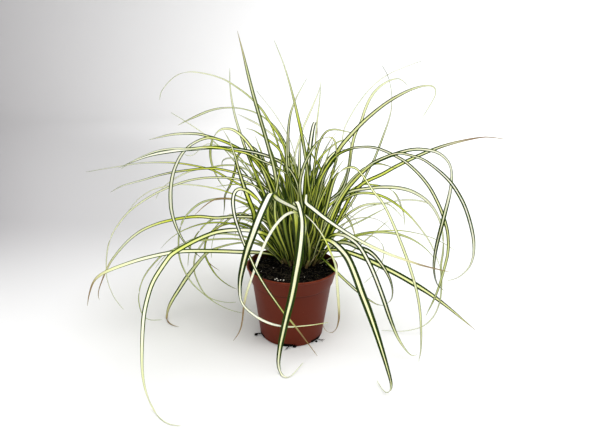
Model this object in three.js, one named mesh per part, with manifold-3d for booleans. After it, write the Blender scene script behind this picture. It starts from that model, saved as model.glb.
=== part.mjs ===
// Variegated sedge (Carex) growing in its round plastic nursery pot.
// Units are millimetres, +Z is up, -Y is the front. The origin is the middle of the pot's underside.
//
// Pieces: the pot, the compost that fills it, the shoots of the sedge (each shoot is a short
// sheath with the blades that grow out of it, one closed solid) and a few roots that have found
// their way out of the drainage slots.
import * as THREE from 'three';
import Module from 'manifold-3d';
import * as BufferGeometryUtils from 'three/addons/utils/BufferGeometryUtils.js';

// ---------------------------------------------------------------- driving dimensions
const POT_HEIGHT = 86.8;          // overall height of the pot
const RIM_RADIUS = 52.5;          // outside of the lip
const LIP_HEIGHT = 2.4;           // depth of the plain lip at the very top
const BAND_TOP_RADIUS = 51.6;     // rim band, under the lip
const BAND_BOTTOM_RADIUS = 47.6;  // rim band, at its lower edge
const BAND_BOTTOM = 68.2;         // height of the lower edge of the rim band
const BODY_TOP_RADIUS = 45.9;     // body, just under the rim band
const FOOT_RADIUS = 37.2;         // body, at the foot
const WALL = 1.3;                 // wall thickness
const FLOOR_UNDER = 4.4;          // underside of the floor above the surface it stands on
const FLOOR_TOP = 6.0;            // inside face of the floor
const CENTRE_WELL_RADIUS = 13;    // the middle of the floor is dished down to the standing surface
const WELL_TOP = 1.6;             // inside face of the dished part
const FOOT_RING_INNER = 32.5;     // inside of the foot ring
const SLOT_COUNT = 6;             // drainage slots through the foot ring
const SLOT_WIDTH = 17.5;
const SLOT_HEIGHT = 4.0;
const SLOT_FIRST_DEG = -98.6;
const HOLE_RADIUS = 4.0;          // round drain holes in the floor
const HOLE_CIRCLE = 23;
const SEGMENTS = 40;

const GAP = 0.3;                  // clearance between touching pieces
const SOIL_TOP = 79.0;            // level of the compost at the pot wall
const CROWN_X = 9, CROWN_Y = 18;  // middle of the sedge's crown
const MOUND_RADIUS = 30, MOUND_HEIGHT = 6;
const PIT_RADIUS = 24.6, PIT_FLOOR = 79.1;   // shallow seat that the shoots stand in

const SHEATH_FOOT = 79.4, SHEATH_HEIGHT = 5, SHEATH_R0 = 2.0, SHEATH_R1 = 1.5;
const BLADE_THICKNESS = 0.9;      // from the flat upper face to the keel

// ---------------------------------------------------------------- blades
// Every blade is a list of stations along its midrib, from the sheath to the tip. A station is
// x, y, z, the blade's width there, and its turn in degrees about the midrib, measured from a
// frame that is carried along the midrib without spinning.
const SHOOTS = {
  shoot_back_1: [
    [15.4,29.5,80,1.7,162, 16.4,33.9,91.5,2.7,160, 18,46.2,117,4.9,156, 19.3,65.6,142.8,5.4,152, 19.9,90.9,162.8,5.8,148, 19.3,120.6,175.2,5.9,145, 17.2,152.5,178.5,5,140, 13.9,183.9,171.9,3.7,148, 9.7,211.4,155.7,2.2,146, 5.7,232,131.4,0.6,143],
    [17.3,30.3,80,1.7,131, 19.3,35.5,90.7,2.7,131, 21.4,40,96.9,3.3,131, 30.1,53.3,108.4,4.9,129, 40.5,78.3,118.3,5.5,130, 56,106.5,117.5,5.8,130, 67.4,126.4,109.5,5.3,113, 79.4,146.4,93.4,3.8,112, 87.8,159.8,75,2.4,111, 94.7,170.4,49.7,0.6,110],
    [15.7,31.5,80,1.7,165, 17.4,37.1,90.3,2.7,166, 19.7,46.5,102.7,4,169, 23.9,64.8,118,5,173, 29.9,93.1,132.3,5.3,178, 35.3,124,139.7,5.6,184, 40,155.9,140.1,5.1,191, 43.7,187.2,133.8,3.7,189, 46.5,216.8,121.4,2.2,198, 48.2,243.5,103.4,0.6,205],
  ],
  shoot_back_2: [
    [12.8,28.2,80,1.7,162, 13,30.9,91.6,2.7,162, 14.9,35.5,106.5,4,164, 21.5,51.6,143.2,5.2,167, 26.9,65.6,162.3,5.5,170, 35.6,86,179.9,5.6,172, 46.2,109.6,191.6,4.8,175, 58.1,134.8,196.5,3.5,179, 70.6,160.1,193.9,2.1,168, 82.8,183.7,183.9,0.6,166],
    [10.8,27.7,80,1.7,-164, 11.8,26.8,83.7,2,-165, 11.3,29.3,91.1,2.7,-165, 11.6,33.1,106.9,3.9,-165, 12,39.6,130.5,5.3,-166, 14.9,55.1,163,5.6,-168, 17.5,79.8,194.2,6,-169, 20.5,108.7,215.5,6.1,-170, 24.2,146.2,228.5,5,-171, 27.7,181.9,228.8,3.7,-178, 31,215.8,217.4,2.2,-177, 33.6,243.8,195.1,0.6,-177],
    [12.2,26.3,80,1.7,166, 12.7,28.8,92.9,2.7,164, 14.3,31.3,105.1,3.7,162, 16.2,37.8,124.5,4.5,158, 18,48.9,145.4,4.8,154, 23.9,64.5,168.5,5,149, 30.2,79.9,186.4,4.4,144, 38,97.1,202,3.2,139, 47.3,115.7,214.9,1.9,134, 58,135.2,225,0.6,130],
  ],
  shoot_back_3: [
    [9.3,30.1,80,1.7,-151, 8.7,34,91.7,2.7,-151, 8.5,44.9,117.4,4.9,-152, 5.6,68.1,145.1,5.8,-152, 3.2,98.2,164.8,6.2,-153, 0.3,132.9,174.1,6.4,-154, -1.3,152.9,174.3,6.2,-157, -3,172.6,170.9,5.5,-150, -5.7,205.2,155.9,4,-152, -8,231.1,130.9,2.4,-153, -9.4,247.3,98.8,0.6,-153],
    [7.3,30.3,80,1.7,170, 6.6,34.9,91.2,2.7,172, 5.9,39.9,102.3,3.6,175, 3.3,50.7,123.7,3.8,182, 0.3,66.8,146.3,4,189, -7.2,93.9,168.9,4.3,198, -16.1,122.5,180.3,4.3,206, -26.6,152.8,181.5,3.6,216, -37.4,181.1,171.4,2.7,240, -46.7,203.6,150.6,1.6,249, -52.4,216.2,121.8,0.6,258],
    [8.6,31.9,80,1.7,173, 8,37,90.6,2.7,173, 7.2,46.6,103,3.9,172, 5.3,69.6,118.6,4.4,171, 2.9,96.5,125.8,4.7,170, 0.1,124.4,124.3,4.8,167, -3.1,146.9,116.3,4.3,175, -4.8,171.9,96.3,3.1,171, -6.5,187.6,73.2,1.8,171, -7.5,195.9,46.5,0.6,170],
  ],
  shoot_back_4: [
    [3.3,30.9,80,1.7,-175, 2.3,34.4,87.8,2.3,-175, 1.9,35,91.7,2.4,-175, -2.1,38.3,119.1,2.4,-175, -4.4,40.6,159,2.4,-176, -3,45.8,186.4,2.4,-177, 2.7,57.4,211.3,2.4,-175, 9.2,68.3,231.7,2.4,-174, 17.9,79.3,251.2,2,-173, 27.7,92.4,274,1.1,-175, 30.4,100,287.7,0.6,-180],
    [2.1,32.5,80,1.7,-171, -1.3,38,90,2.7,-173, -4.2,42.6,95.7,3.3,-174, -15.9,59,108.8,4,-178, -25.3,71.6,113.1,4.2,-181, -41.7,95,112.2,4.4,-185, -53.7,110.2,106.1,4,-175, -66.5,126.2,93,2.9,-173, -75.2,136.9,78.2,1.8,-176, -82.8,145.9,56.9,0.6,-180],
    [4.1,32.7,80,1.7,-180, 2.7,32.2,83.6,2,-178, 1.7,37,90.7,2.7,-177, -1.5,47.1,108.2,3.8,-177, -5.7,62.1,126.9,4.1,-178, -10.4,80.6,141.7,4.3,-179, -15.5,102.3,151.2,4.4,-181, -20.4,125.8,154.1,3.6,-184, -24.8,149.2,149.4,2.6,-177, -28.2,169.7,137.2,1.4,-182, -30.1,182.7,121.9,0.6,-184],
  ],
  shoot_back_5: [
    [11.3,33.2,80,1.7,-163, 11.8,40.4,90.3,2.7,-166, 13.1,50.7,103.4,4,-172, 15.6,65.9,116.7,5.4,-180, 19.4,86.8,128.5,5.8,-190, 24.2,109.9,134.1,5.9,-199, 29.9,133.3,131.8,4.9,-211, 34.9,151.1,123.6,3.7,-230, 40,167.7,106.7,2,-240, 42.7,175.5,88.2,0.6,-248],
    [11.2,35.2,80,1.7,173, 11.6,42.8,89,2.7,172, 11.8,51.3,97,3.6,171, 12,67.8,108.1,4.3,169, 11.6,86.3,115.4,4.5,167, 10.6,106.1,118.2,4.7,166, 9.1,125.9,116.3,4,163, 7.3,144.6,109.6,2.9,170, 5.3,161,98.4,1.7,169, 3.4,174,83.3,0.6,168],
    [12.9,34.3,80,1.7,-170, 13.7,41.5,89.5,2.7,-169, 14.8,49.6,97.9,2.8,-167, 17.1,72,114.5,3.1,-163, 20,90.3,121.8,3.3,-161, 23.5,109.7,125,3.4,-157, 27.3,129.3,124.1,3,-153, 32,151.8,117.6,2.2,-163, 36.6,172.1,105.6,1.3,-160, 40.7,188.7,88.8,0.6,-157],
  ],
  shoot_back_6: [
    [6.8,35.8,80,1.7,156, 6.3,42.7,89.9,2.7,158, 5.7,51.4,98.5,3.6,160, 4.8,75.4,113,5.1,165, 3.7,102.6,119.6,5.4,170, 2.6,126.5,118.7,5.7,173, 1.1,157.2,109.7,5.1,185, -2.1,180.8,94.7,3.8,188, -4.1,200,74.4,2.4,193, -5.9,215.2,46.2,0.6,198],
    [4.8,35.4,80,1.7,-155, 3.9,43.8,89.7,2.7,-159, 2.1,51.8,98.3,3.7,-163, -3,70.8,112.7,5.3,-172, -8.9,88.7,120.4,5.6,-179, -16,107.5,123.3,5.7,-186, -25.6,129.5,119.5,4.7,-180, -33.6,145.7,110.2,3.5,-181, -40.6,158.3,95.9,2.1,-186, -45.4,166.2,77.9,0.6,-192],
    [5.5,37.2,80,1.7,-151, 3.9,45.7,88.2,2.7,-155, 2.7,51.6,93.2,3.3,-159, 0.2,65.3,101.2,3.9,-165, -3.1,84.5,107.1,4.2,-175, -6.1,104.6,108.2,4.4,-185, -8.4,120.6,105.6,4,-193, -10.8,139.5,98.3,2.9,-194, -12.7,156.1,86.7,1.7,-204, -14,169.6,71.5,0.6,-212],
  ],
  shoot_back_left_1: [
    [3.2,26,80,1.2,-174, 1.7,28.9,91.7,1.2,-174, 0.5,32.8,111.5,1.2,-175, 0.3,35.8,142.8,1.2,-175, 2.8,39.9,179.2,1.2,-176, -0.3,45.8,206.4,1.2,-176, -6.9,53.2,223.7,1.2,-179, -20.6,66.9,244,1,-181, -34.2,78.6,260,0.7,-184, -48.7,90,275.4,0.6,-184],
    [3.3,28,80,1.7,180, 2.3,27.5,83.7,2,181, 0.4,30.8,91.1,2.7,184, -3.7,36.8,105.4,4,189, -11.7,53.9,131.6,5.2,197, -20.7,73.7,149.4,5.5,203, -29.3,94.1,159,5.7,207, -40.2,127.8,165.2,4.7,212, -47.7,150.3,162.4,3.6,225, -54.1,175.3,151.3,2.1,229, -58.6,196.3,133.2,0.6,232],
    [1.5,27,80,1.7,-146, -2.4,31.2,90.6,2.7,-143, -11.3,39.7,106.9,3.9,-135, -32.9,55,125.8,4.3,-122, -55,72,131.8,2.6,-111, -77,88.6,124.9,0.6,-101],
  ],
  shoot_back_left_2: [
    [-2,24.7,80,1.7,-164, -6.9,26.7,91.2,1.9,-164, -13.9,29.6,110.5,1.9,-165, -22.6,32.9,140.9,1.9,-165, -34.7,34.3,169.6,1.9,-163, -44.6,36,180.7,1.9,-164, -57.9,42,188,1.9,-169, -68.8,46.1,190.5,1.9,-174, -83.8,51.2,189.7,1.9,-180, -105.9,58.3,184.4,1.8,-183, -128.1,65.2,178.8,1.8,-189, -161.1,75.1,159.1,1.1,-200, -169.7,77.5,151.1,0.8,-206, -178.2,79.6,137.9,0.6,-212],
    [-1.4,26.6,80,1.7,-164, -5.9,28.8,90.7,1.9,-165, -7.9,29.8,97.9,1.9,-166, -15.4,30.8,124.5,1.9,-165, -25.1,32.9,154.8,1.9,-165, -40.6,39.8,182.4,1.9,-166, -59.4,47.8,194.5,1.9,-174, -76.9,56.2,197.5,1.8,-190, -86.4,61.1,193.6,1.3,-217, -88.4,66,183.5,0.6,-243],
    [-3.4,26.2,80,1.7,-164, -8.2,28.7,90.4,1.7,-164, -15.7,31.1,108.4,1.7,-164, -30.6,34.3,141.2,1.7,-163, -46.7,40.3,168.2,1.7,-164, -58.8,47.7,182.1,1.7,-166, -84.6,68,204.8,0.9,-170, -94.1,74.3,209.2,0.6,-176],
  ],
  shoot_back_left_3: [
    [-1.5,34.3,80,1.7,-109, -6.6,40,90,2.7,-112, -10.5,43.6,96.3,3.3,-114, -19.1,53,106.9,4.7,-120, -31.6,66.7,115.8,6.1,-127, -42.5,78.5,119.1,6.2,-134, -56.2,93.6,117.3,5,-140, -66.2,105,111.1,3.7,-133, -74.6,114.7,100.9,2.2,-137, -80.6,121.8,87.4,0.6,-143],
    [-0.1,35.6,80,1.7,-136, -4.3,43.2,88.6,2.7,-136, -10.7,54.2,99.1,3.9,-135, -22.5,75.9,113.6,4.2,-134, -37.2,94.2,119.7,4.5,-132, -51.2,114,119.1,4.6,-130, -65.1,132.5,111.5,3.7,-112, -77.3,147.8,97,2.7,-108, -86.2,158.2,77,1.5,-107, -89.9,162.4,57.5,0.6,-106],
    [-2,36.2,80,1.7,-151, -6.4,42.3,89.5,2.7,-153, -15.6,54.1,102.3,3.4,-156, -27.5,68.1,110.5,3.7,-160, -36.8,81.1,114.5,3.8,-164, -45.9,94.3,114.8,3.4,-168, -55.6,107,111.6,2.6,-171, -67.1,121.5,103.4,1.4,-159, -75.2,131.7,93.6,0.6,-161],
  ],
  shoot_back_left_4: [
    [-2,31.6,80,1.4,-162, -7.7,34.5,90.2,1.4,-163, -14.4,38,104.4,1.4,-163, -26.9,43.6,133.5,1.4,-163, -39.1,48.1,158.4,1.4,-163, -61.4,56.7,190.4,1.4,-165, -76.1,63.3,202.1,1.4,-168, -101.8,76.5,215.9,1.2,-168, -130.7,90.3,232.6,0.9,-170, -157.3,102.6,245.6,0.6,-171],
    [-2.3,29.6,80,1.7,-165, -6.7,32.4,90.7,2.7,-165, -14.5,37.5,117.2,3.2,-166, -23,40.8,151.7,3.2,-166, -33,44,185.9,3.2,-166, -41,47.4,203.6,3.2,-165, -48.6,51.6,211.3,3.2,-159, -57.8,57.9,210.3,3.2,-99, -70.9,69.5,194.7,3.3,-74, -76.1,79.6,173.9,3.3,-74, -90.1,90.9,143.2,2.5,-74, -94.8,98,112.7,0.6,-79],
    [-3.8,30.8,80,1.7,-91, -10.3,34.4,89.4,2.7,-95, -15.2,37.1,95.1,2.8,-99, -26.6,43.3,104.8,3,-107, -42.7,52.4,113.6,3.2,-116, -56.4,60.4,117.6,3.3,-125, -70.4,68.9,118.9,2.9,-133, -87.6,79.7,116.5,2.1,-144, -100.7,88.2,111.5,1.4,-153, -115.5,98.3,101.6,0.6,-162],
  ],
  shoot_back_right_1: [
    [21.7,20.7,80,1.7,163, 26.8,22,90.8,2.7,163, 35.3,24.1,113.3,4.3,164, 48.3,30,150.8,4.3,164, 61.4,35.2,183.9,4.1,164, 64.6,37.3,207.5,3.9,165, 69.2,40.3,230.9,3.5,165, 83.4,48.6,267.1,3,168, 92.3,53.3,279.5,2.7,173, 107.9,60.5,289.5,1.6,186, 118.6,65.2,291.3,1,202, 130.9,70.8,283.4,0.6,220],
    [21.8,18.8,80,1.7,164, 25.1,20.6,87.8,2.3,165, 25.9,20.2,91.7,2.7,166, 32.7,21.5,127,3.1,168, 34.1,23.1,151.1,3.1,169, 33.9,27.5,170.5,2.9,169, 29.5,32,193.6,2.5,170, 18.8,35.6,210.1,1.7,170, 8.8,40,231.5,0.6,170],
    [23.4,19.9,80,1.7,123, 31.7,20.6,88.6,2.7,124, 40.4,22.4,96.1,3.3,126, 60.9,26.4,107.6,3.6,129, 83.7,31,113.8,3.8,133, 107.3,35.9,114.5,3.9,137, 126.7,40.1,111,3.5,141, 148.4,45,101.8,2.6,145, 167.5,49.5,87.8,1.5,150, 182.9,53.4,69.7,0.6,153],
  ],
  shoot_back_right_2: [
    [15.8,21.1,80,1.7,172, 17.5,21.6,92.1,2.7,173, 18,21.5,104.5,3.6,175, 18.3,23.9,132.6,4.2,175, 17.4,21.8,156.3,4.2,176, 16.4,24.1,183.9,4.1,176, 11.9,27.2,211.4,4.1,176, 6.2,30.5,238.7,3.6,176, -0.6,33.7,265.7,2.7,176, -11.3,38.1,299.9,1.3,176, -23.6,42,329.3,0.6,175],
    [17.3,19.8,80,1.7,170, 19.1,20.1,90.9,2.7,171, 20.7,20.6,102.5,3,171, 22.3,22.9,126.6,3,173, 21.8,21.1,151.2,3,173, 21.8,21.6,179,3,173, 26.8,30.9,217.1,2.7,175, 33.3,36.2,230.4,2.4,181, 39.1,39,234.5,2.2,189, 46.3,41.9,235.2,2.1,196, 75,54,229,0.6,201],
    [17.7,21.7,80,1.7,145, 18.1,19,84.2,2,144, 19.9,21.4,92.6,2.7,143, 21.5,22.9,100.4,3.3,142, 29.8,25.7,139.5,5.7,139, 41,29.5,169.7,3.5,137, 53.5,35.1,194.7,0.6,135],
  ],
  shoot_back_right_3: [
    [23.4,24.3,80,1.5,160, 30.4,27.9,89.1,1.5,160, 40.7,32.8,100.4,1.5,160, 55.7,39,112.1,1.5,162, 86.8,51.7,125,2,163, 118.2,63.3,138.6,0.6,163],
    [23.5,26.3,80,1.7,160, 30.5,30.4,88.7,1.8,160, 38,35.1,96.5,1.8,161, 52,44.6,107.1,1.8,164, 74.6,59.6,115.2,1.3,168, 97.3,75.5,121.4,0.6,168],
    [21.8,25.4,80,1.7,161, 28.4,29.3,89.5,2.7,161, 40,36.9,104.2,3,161, 56.2,48.6,123.7,3,161, 73.6,61.4,147,3,160, 87.8,71.1,173.8,3,159, 101.2,79.4,201.4,3,159, 107.6,83,219.9,2.6,159, 114.8,86.8,242.3,1.7,159, 117,87.2,262,1,159, 111,81.4,288.3,0.6,164, 98.8,71.5,306.1,0.6,172],
  ],
  shoot_back_right_4: [
    [19,26.2,80,1.2,168, 22,28.7,91.2,1.2,168, 28,33.5,113.8,1.2,168, 37.2,40.5,148,1.2,168, 46.3,47.3,182.3,1.2,168, 55.6,54.3,216.4,1.2,169, 57.1,55.1,232.1,1.2,169, 67,62.1,252.8,1.2,171, 82.4,73,273.5,1.1,175, 100.9,86.4,289.7,1,182, 121.9,101.6,300.4,0.8,190, 140.6,115.3,307.1,0.6,193, 159.3,129.1,313.2,0.6,193],
    [17,26.1,80,1.7,170, 18.9,27.7,90.9,2.4,172, 19.2,27.7,103,2.4,173, 20.4,27.4,123,2.4,173, 18,26.9,155.4,2.4,175, 20.8,32.5,186.3,2.4,175, 29.5,41.5,201.6,2.4,180, 50.5,57.6,218.3,2,193, 64.2,64,219.9,1.1,220, 68.2,68,210.4,0.6,245],
    [18,24.4,80,1.7,126, 19.1,28,84.2,2,124, 20.3,27.3,92.7,2.7,124, 20.9,27.3,96.8,3,123, 23.3,30.8,120.4,4.1,121, 26.4,34,140.1,4.1,119, 30.7,38.4,159.5,2.6,117, 37,44.9,182.3,0.6,115],
  ],
  shoot_back_right_5: [
    [20.1,32,80,1.7,127, 24.8,37.1,89.9,2.7,132, 28.2,40.9,96.2,3.3,135, 37.9,52.3,109.6,4.3,145, 47.1,63.3,117.1,4.6,153, 57.4,75.3,120.6,4.6,161, 68,87.4,119.5,3.7,167, 78,98.5,113.5,2.6,161, 86.1,107.4,102.8,1.4,166, 90.4,111.9,92.4,0.6,171],
    [20.6,30,80,1.7,108, 25.1,34.5,90.6,2.7,110, 33.9,43.2,106.8,4.3,113, 49,58.9,124.4,5.7,118, 66.5,78.9,133.2,3.6,126, 83.9,100.7,130.5,0.6,135],
    [22,31.4,80,1.7,108, 27.9,36.6,88.6,2.5,110, 34.4,42.5,96.3,2.6,112, 47.5,53.5,106.4,2.8,116, 64.9,68.1,114,3,122, 83.2,83.4,116.1,3.1,127, 98.4,96.1,113.7,2.8,131, 115.8,110.6,105.8,2.1,130, 131.3,123.5,93,1.2,122, 144.2,134.2,75.8,0.6,126],
  ],
  shoot_back_right_6: [
    [16.5,34.9,80,1.7,168, 19.7,41.3,90.3,2.7,165, 22.8,48.9,100.1,3.7,162, 29.2,61.3,115.9,5.1,156, 38.8,74.7,126.5,5.4,149, 48.8,90.9,133.6,5.6,144, 59.6,108.1,135.2,4.6,138, 70.3,124.7,130.5,3.3,117, 79.7,138.9,119.5,1.8,109, 85.4,147.4,106.8,0.6,106],
    [15.3,36.5,80,1.7,171, 18.4,43.9,89,2.7,170, 23.7,57.2,102.9,4.3,169, 31.5,78.9,118.7,4.8,168, 39.3,100,127.1,5.1,168, 47.9,122.3,129.4,5.1,168, 56.6,144.1,124.6,4.1,154, 64.4,163.3,112.7,3,152, 70.4,177.6,94.5,1.7,152, 73.2,184.1,75.8,0.6,151],
    [17.3,36.8,80,1.7,129, 20.7,44.4,88.4,2.7,130, 23.2,50,93.2,3.2,131, 28.9,62.9,100.9,3.4,134, 36.5,80.8,106.5,3.7,138, 42.5,95.8,107.4,3.7,142, 53.4,125.2,100.1,2.5,136, 57.8,138.6,92,1.6,138, 62.2,152.9,78.4,0.6,143],
  ],
  shoot_centre_1: [
    [2.6,15.9,80,1.7,-168, 0.4,15.7,91.7,2.7,-169, -1,15.7,103.4,3.4,-170, -3.8,16.4,123,3.4,-170, -5.6,19.1,156,3.4,-171, -7.9,21,183.9,3.4,-171, -10.4,22.1,215.5,3.1,-170, -17,23.5,230,3,-169, -35.3,27.4,255.9,2.3,-170, -52.5,31,272.3,1.9,-172, -72.5,35.2,285,1.4,-175, -91,39.1,291.6,1.2,-178, -110.3,43.2,294.6,1,-168, -125.9,46.5,293.2,0.9,-92, -136.4,48.7,288.1,0.8,-49, -150.7,51.7,274.4,0.6,-41, -155,52.6,263.5,0.6,-44],
    [2.2,17.8,80,1.7,-169, -0.1,18.1,91.6,2.5,-168, -4,19.4,110.7,2.5,-170, -4.9,24.6,142.9,2.5,-171, -7.3,24.1,167.3,2.5,-169, -10.8,25.3,191.1,2.5,-169, -15.4,26.8,210.6,2.3,-168, -28.6,30.7,243.6,1.6,-171, -48.7,37.3,254.3,1.3,-179, -79,47.1,256.6,1.7,-188, -101.4,54.4,251.5,2.5,-195, -122.5,61.1,242.2,2.6,-198, -139.8,66.6,233.7,1.5,-200],
    [4.1,17.1,80,1.7,-118, 2,17.3,92.4,2.7,-121, 0.2,18.8,104.8,3.6,-122, -1.9,20.2,133.3,4.3,-125, -8.8,21.7,152.3,4.5,-127, -13.7,23.1,179.2,3,-130, -25.5,27.6,213.3,0.6,-133],
  ],
  shoot_centre_2: [
    [5,9.9,80,1.7,-167, 2.7,8.9,92.2,2.7,-170, 1.8,7.7,114.3,4,-174, 4.8,12.8,146.8,4,-175, 5.5,13.5,170.7,4,-171, -2,14.4,190,4,-167, -13.2,13.4,201.1,4,-163, -45.4,4.6,214.2,4,-158, -64.5,0,217.8,4,-158, -87.6,-5.5,219.6,4,-157, -114.7,-11.8,217.7,3.9,-157, -141.6,-18,213.9,3.8,-158, -178,-26.2,200.2,1.3,-160],
    [6.5,11.2,80,1.7,14, 1.5,5.3,83.2,2,-1, 1.1,4.9,86.5,2.3,-18, 2.6,7,90.2,2.7,-24, 4.4,9.4,98.5,3.1,-29, 5.5,11.6,127.5,3.1,-32, 6.7,16.4,156.4,3.1,-30, -2.6,13.2,182.5,3.1,-65, -12.7,8.5,193.4,3.1,-152, -32.2,2.2,204.6,3,-174, -48.8,-3.8,213.5,2.9,-174, -85.2,-17.5,221.8,2.7,-171, -111.2,-27.1,221.4,2.1,-170, -133.5,-35.3,220.1,1.5,-170, -154.5,-42.9,211.9,0.8,-170, -167.3,-47.5,203.7,0.6,-170],
    [4.6,11.8,80,1.7,-95, 3.5,11.4,92.3,2.7,-96, 0.9,11.8,112.4,4.3,-98, -6.6,9.9,148.4,5.1,-100, -14.8,9.8,184.4,4.1,-104, -22.6,7.9,211.4,2.3,-106, -31.8,8.9,234.1,0.6,-108],
  ],
  shoot_centre_3: [
    [10,14.4,80,1.7,-148, 8.6,14,91.8,2.7,-153, 7.4,21.7,129.7,4.4,-166, 2.3,21.7,160.7,4.7,-176, -3.8,30,190.7,3,-188, -13.7,40.3,225.2,0.6,-200],
    [8.3,13.5,80,1.7,-146, 12.6,16.7,83,2,-149, 8.9,11.5,91.5,2.7,-142, 7.7,15.5,120.5,4.9,-154, 4.5,18.3,132.3,5.6,-159, 1.1,14,161,3.4,-166, -5.8,15.6,183.7,0.6,-172],
    [9.9,12.4,80,1.7,-57, 11.5,13.3,84.2,2,-55, 10.3,12.7,92.8,2.7,-55, 11.1,10.6,125.7,5.3,-55, 4.7,7.3,149.4,5.9,-54, 5.5,5.4,162.1,5.4,-54, 4.9,2.1,169.8,4.7,-49, -3.6,-4,187.7,3,-48, -10.2,-13.6,209.3,0.6,-48],
  ],
  shoot_centre_4: [
    [13.6,14.3,80,1.7,103, 15.2,14.2,91.6,2.7,105, 15.8,13.2,103.2,3.6,107, 17.1,10.5,133.1,4.5,110, 23,12.8,152.1,4.7,113, 28.3,10.1,184.3,3.8,117, 35.9,10.5,207.5,2.4,120, 44.5,8.3,234.3,0.6,124],
    [15.4,13.4,80,1.7,26, 17.2,13.5,92.5,2.7,29, 19.6,12.5,108.9,4,35, 24.8,11.9,136,4.6,44, 29.6,9.2,164.3,3.9,53, 37.8,6.3,187,2.3,60, 48.2,1.7,208.7,0.6,66],
    [15.2,15.4,80,1.7,126, 16.5,15.8,92.6,2.7,126, 17.3,15.9,105.1,3.7,127, 19.3,13.8,130.4,5.1,127, 24.5,17.4,153.2,5.1,128, 31.5,19.3,181.4,3.1,130, 37.8,18.7,209.2,0.6,130],
  ],
  shoot_centre_5: [
    [11.7,17,80,1.7,-179, 13.2,19.5,87.6,2.3,-178, 13.3,19.1,91.9,2.7,-177, 12.9,16.3,115.5,4.2,-176, 10.7,19.2,151.1,4.2,-175, 2.5,24.5,185.8,3.3,-174, -9.7,29.4,210.2,0.6,-175],
    [9.9,17.9,80,1.7,176, 10.4,18.9,91.8,2.7,175, 11.7,19.9,103.4,3.6,175, 12.8,21.6,123.9,5.3,175, 12.4,26.7,148,5.9,174, 14,41.7,185.5,3.6,173, 15,58.9,212.8,0.6,172],
    [11.6,19,80,1.7,-155, 10.1,15.8,85.4,2,-156, 10.5,20.9,93.5,2.7,-161, 9.7,24.2,117.5,4.3,-174, 10.7,29,140.7,4.5,-186, 11.5,37.5,163.4,2.7,-198, 12.1,50,184.5,0.6,-208],
  ],
  shoot_centre_6: [
    [13.3,22.8,80,1.7,175, 14.6,25.2,91.2,1.9,175, 15.7,26.7,103,1.9,175, 17.8,29.4,123.1,1.9,174, 21.8,30.6,151.1,1.9,174, 24,33.7,179.2,1.9,175, 24.3,41,202.2,1.9,175, 24.5,50,224.8,1.8,175, 27.1,63.5,253.9,1.7,177, 29.5,78,282.6,0.6,176],
    [12.3,21.1,80,1.7,117, 15.3,27.9,84.5,2,116, 14.4,24.3,93.2,2.7,123, 13.9,23.4,101,3.3,127, 16.3,29.4,141.4,4.8,150, 20.3,32.3,165.2,3.4,163, 29,40.4,195.7,0.6,179],
    [11.3,22.9,80,1.7,-154, 11.3,24.6,91.9,2.7,-156, 10.9,27.4,107.7,4,-159, 9.7,35.3,134.4,5.5,-165, 3.7,48,163.9,6,-171, -2.5,62.7,187.1,6.1,-176, -10.8,80.7,207.2,5,-181, -19.7,98.2,221.2,3.8,-186, -31.9,120.6,233.1,2.1,-190, -43.9,140.8,239,0.6,-194],
  ],
  shoot_centre_7: [
    [6.7,24.1,80,1.7,-161, 5.9,26.3,92.1,2.7,-164, 4.7,28.9,112.4,4.3,-170, 4.1,35.4,144.7,5.5,-180, 2,41.9,167.7,3.3,-186, -0.1,48,191.2,0.6,-193],
    [6.4,26,80,1.7,173, 5.5,28.6,91.7,2.7,172, 3.2,35.5,110.4,3.9,170, -5.4,52.7,136.3,4.2,168, -17,76.2,155.2,4.5,166, -33.5,106.3,167.2,4.6,162, -49.4,134.9,163.6,3.8,165, -62.8,157.7,153.5,2.9,176, -76.3,179,133.4,1.6,173, -85,192.1,109.9,0.6,171],
    [8.2,25.3,80,1.7,172, 8,27.4,92,2.7,174, 7.3,30.4,103.9,3.6,176, 6.2,38.6,130.8,4.3,181, 5.9,57.4,166.7,4.7,189, 5.9,72,186.1,4.2,193, 6.1,88.7,203.8,3.1,197, 6.7,107.4,219.5,1.8,201, 7.6,127.6,233,0.6,205],
  ],
  shoot_centre_8: [
    [5.9,19.3,80,1.7,-173, 5.5,19.8,91.5,2.7,-172, 3.6,17,111.3,4.3,-170, -1.6,14.2,146.6,4.6,-171, -2.8,20.5,174.5,4.4,-172, -6.6,30.8,204.5,4.1,-171, -7.5,42.1,226.1,3.5,-170, -5.2,55.9,250.5,2.6,-165, 0.4,66.4,266.7,1.5,-160, 13.4,84,290.1,0.6,-157],
    [5.7,21.3,80,1.7,-171, 4.6,22.1,91.7,2.1,-173, 6.1,25.6,119.4,2.1,-175, 6.3,25.6,144.1,2.1,-174, 5.6,27.2,168.3,2.1,-173, -0.3,32.5,199.3,2.1,-173, -8,37.7,212.1,2.1,-176, -18.9,43.3,222.7,2.1,-179, -40.8,54,236.8,1.9,-182, -68.3,66,248.4,1,-185],
    [7.5,20.5,80,1.7,-141, 6.7,21.1,92.9,2.7,-145, 4.6,21.3,109.6,4,-152, 2.2,24.5,129.7,5.4,-162, 1.4,28.4,153.5,5.3,-173, -2,34.4,177.2,3.3,-185, -7.4,44,203.8,0.6,-197],
  ],
  shoot_front_1: [
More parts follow.
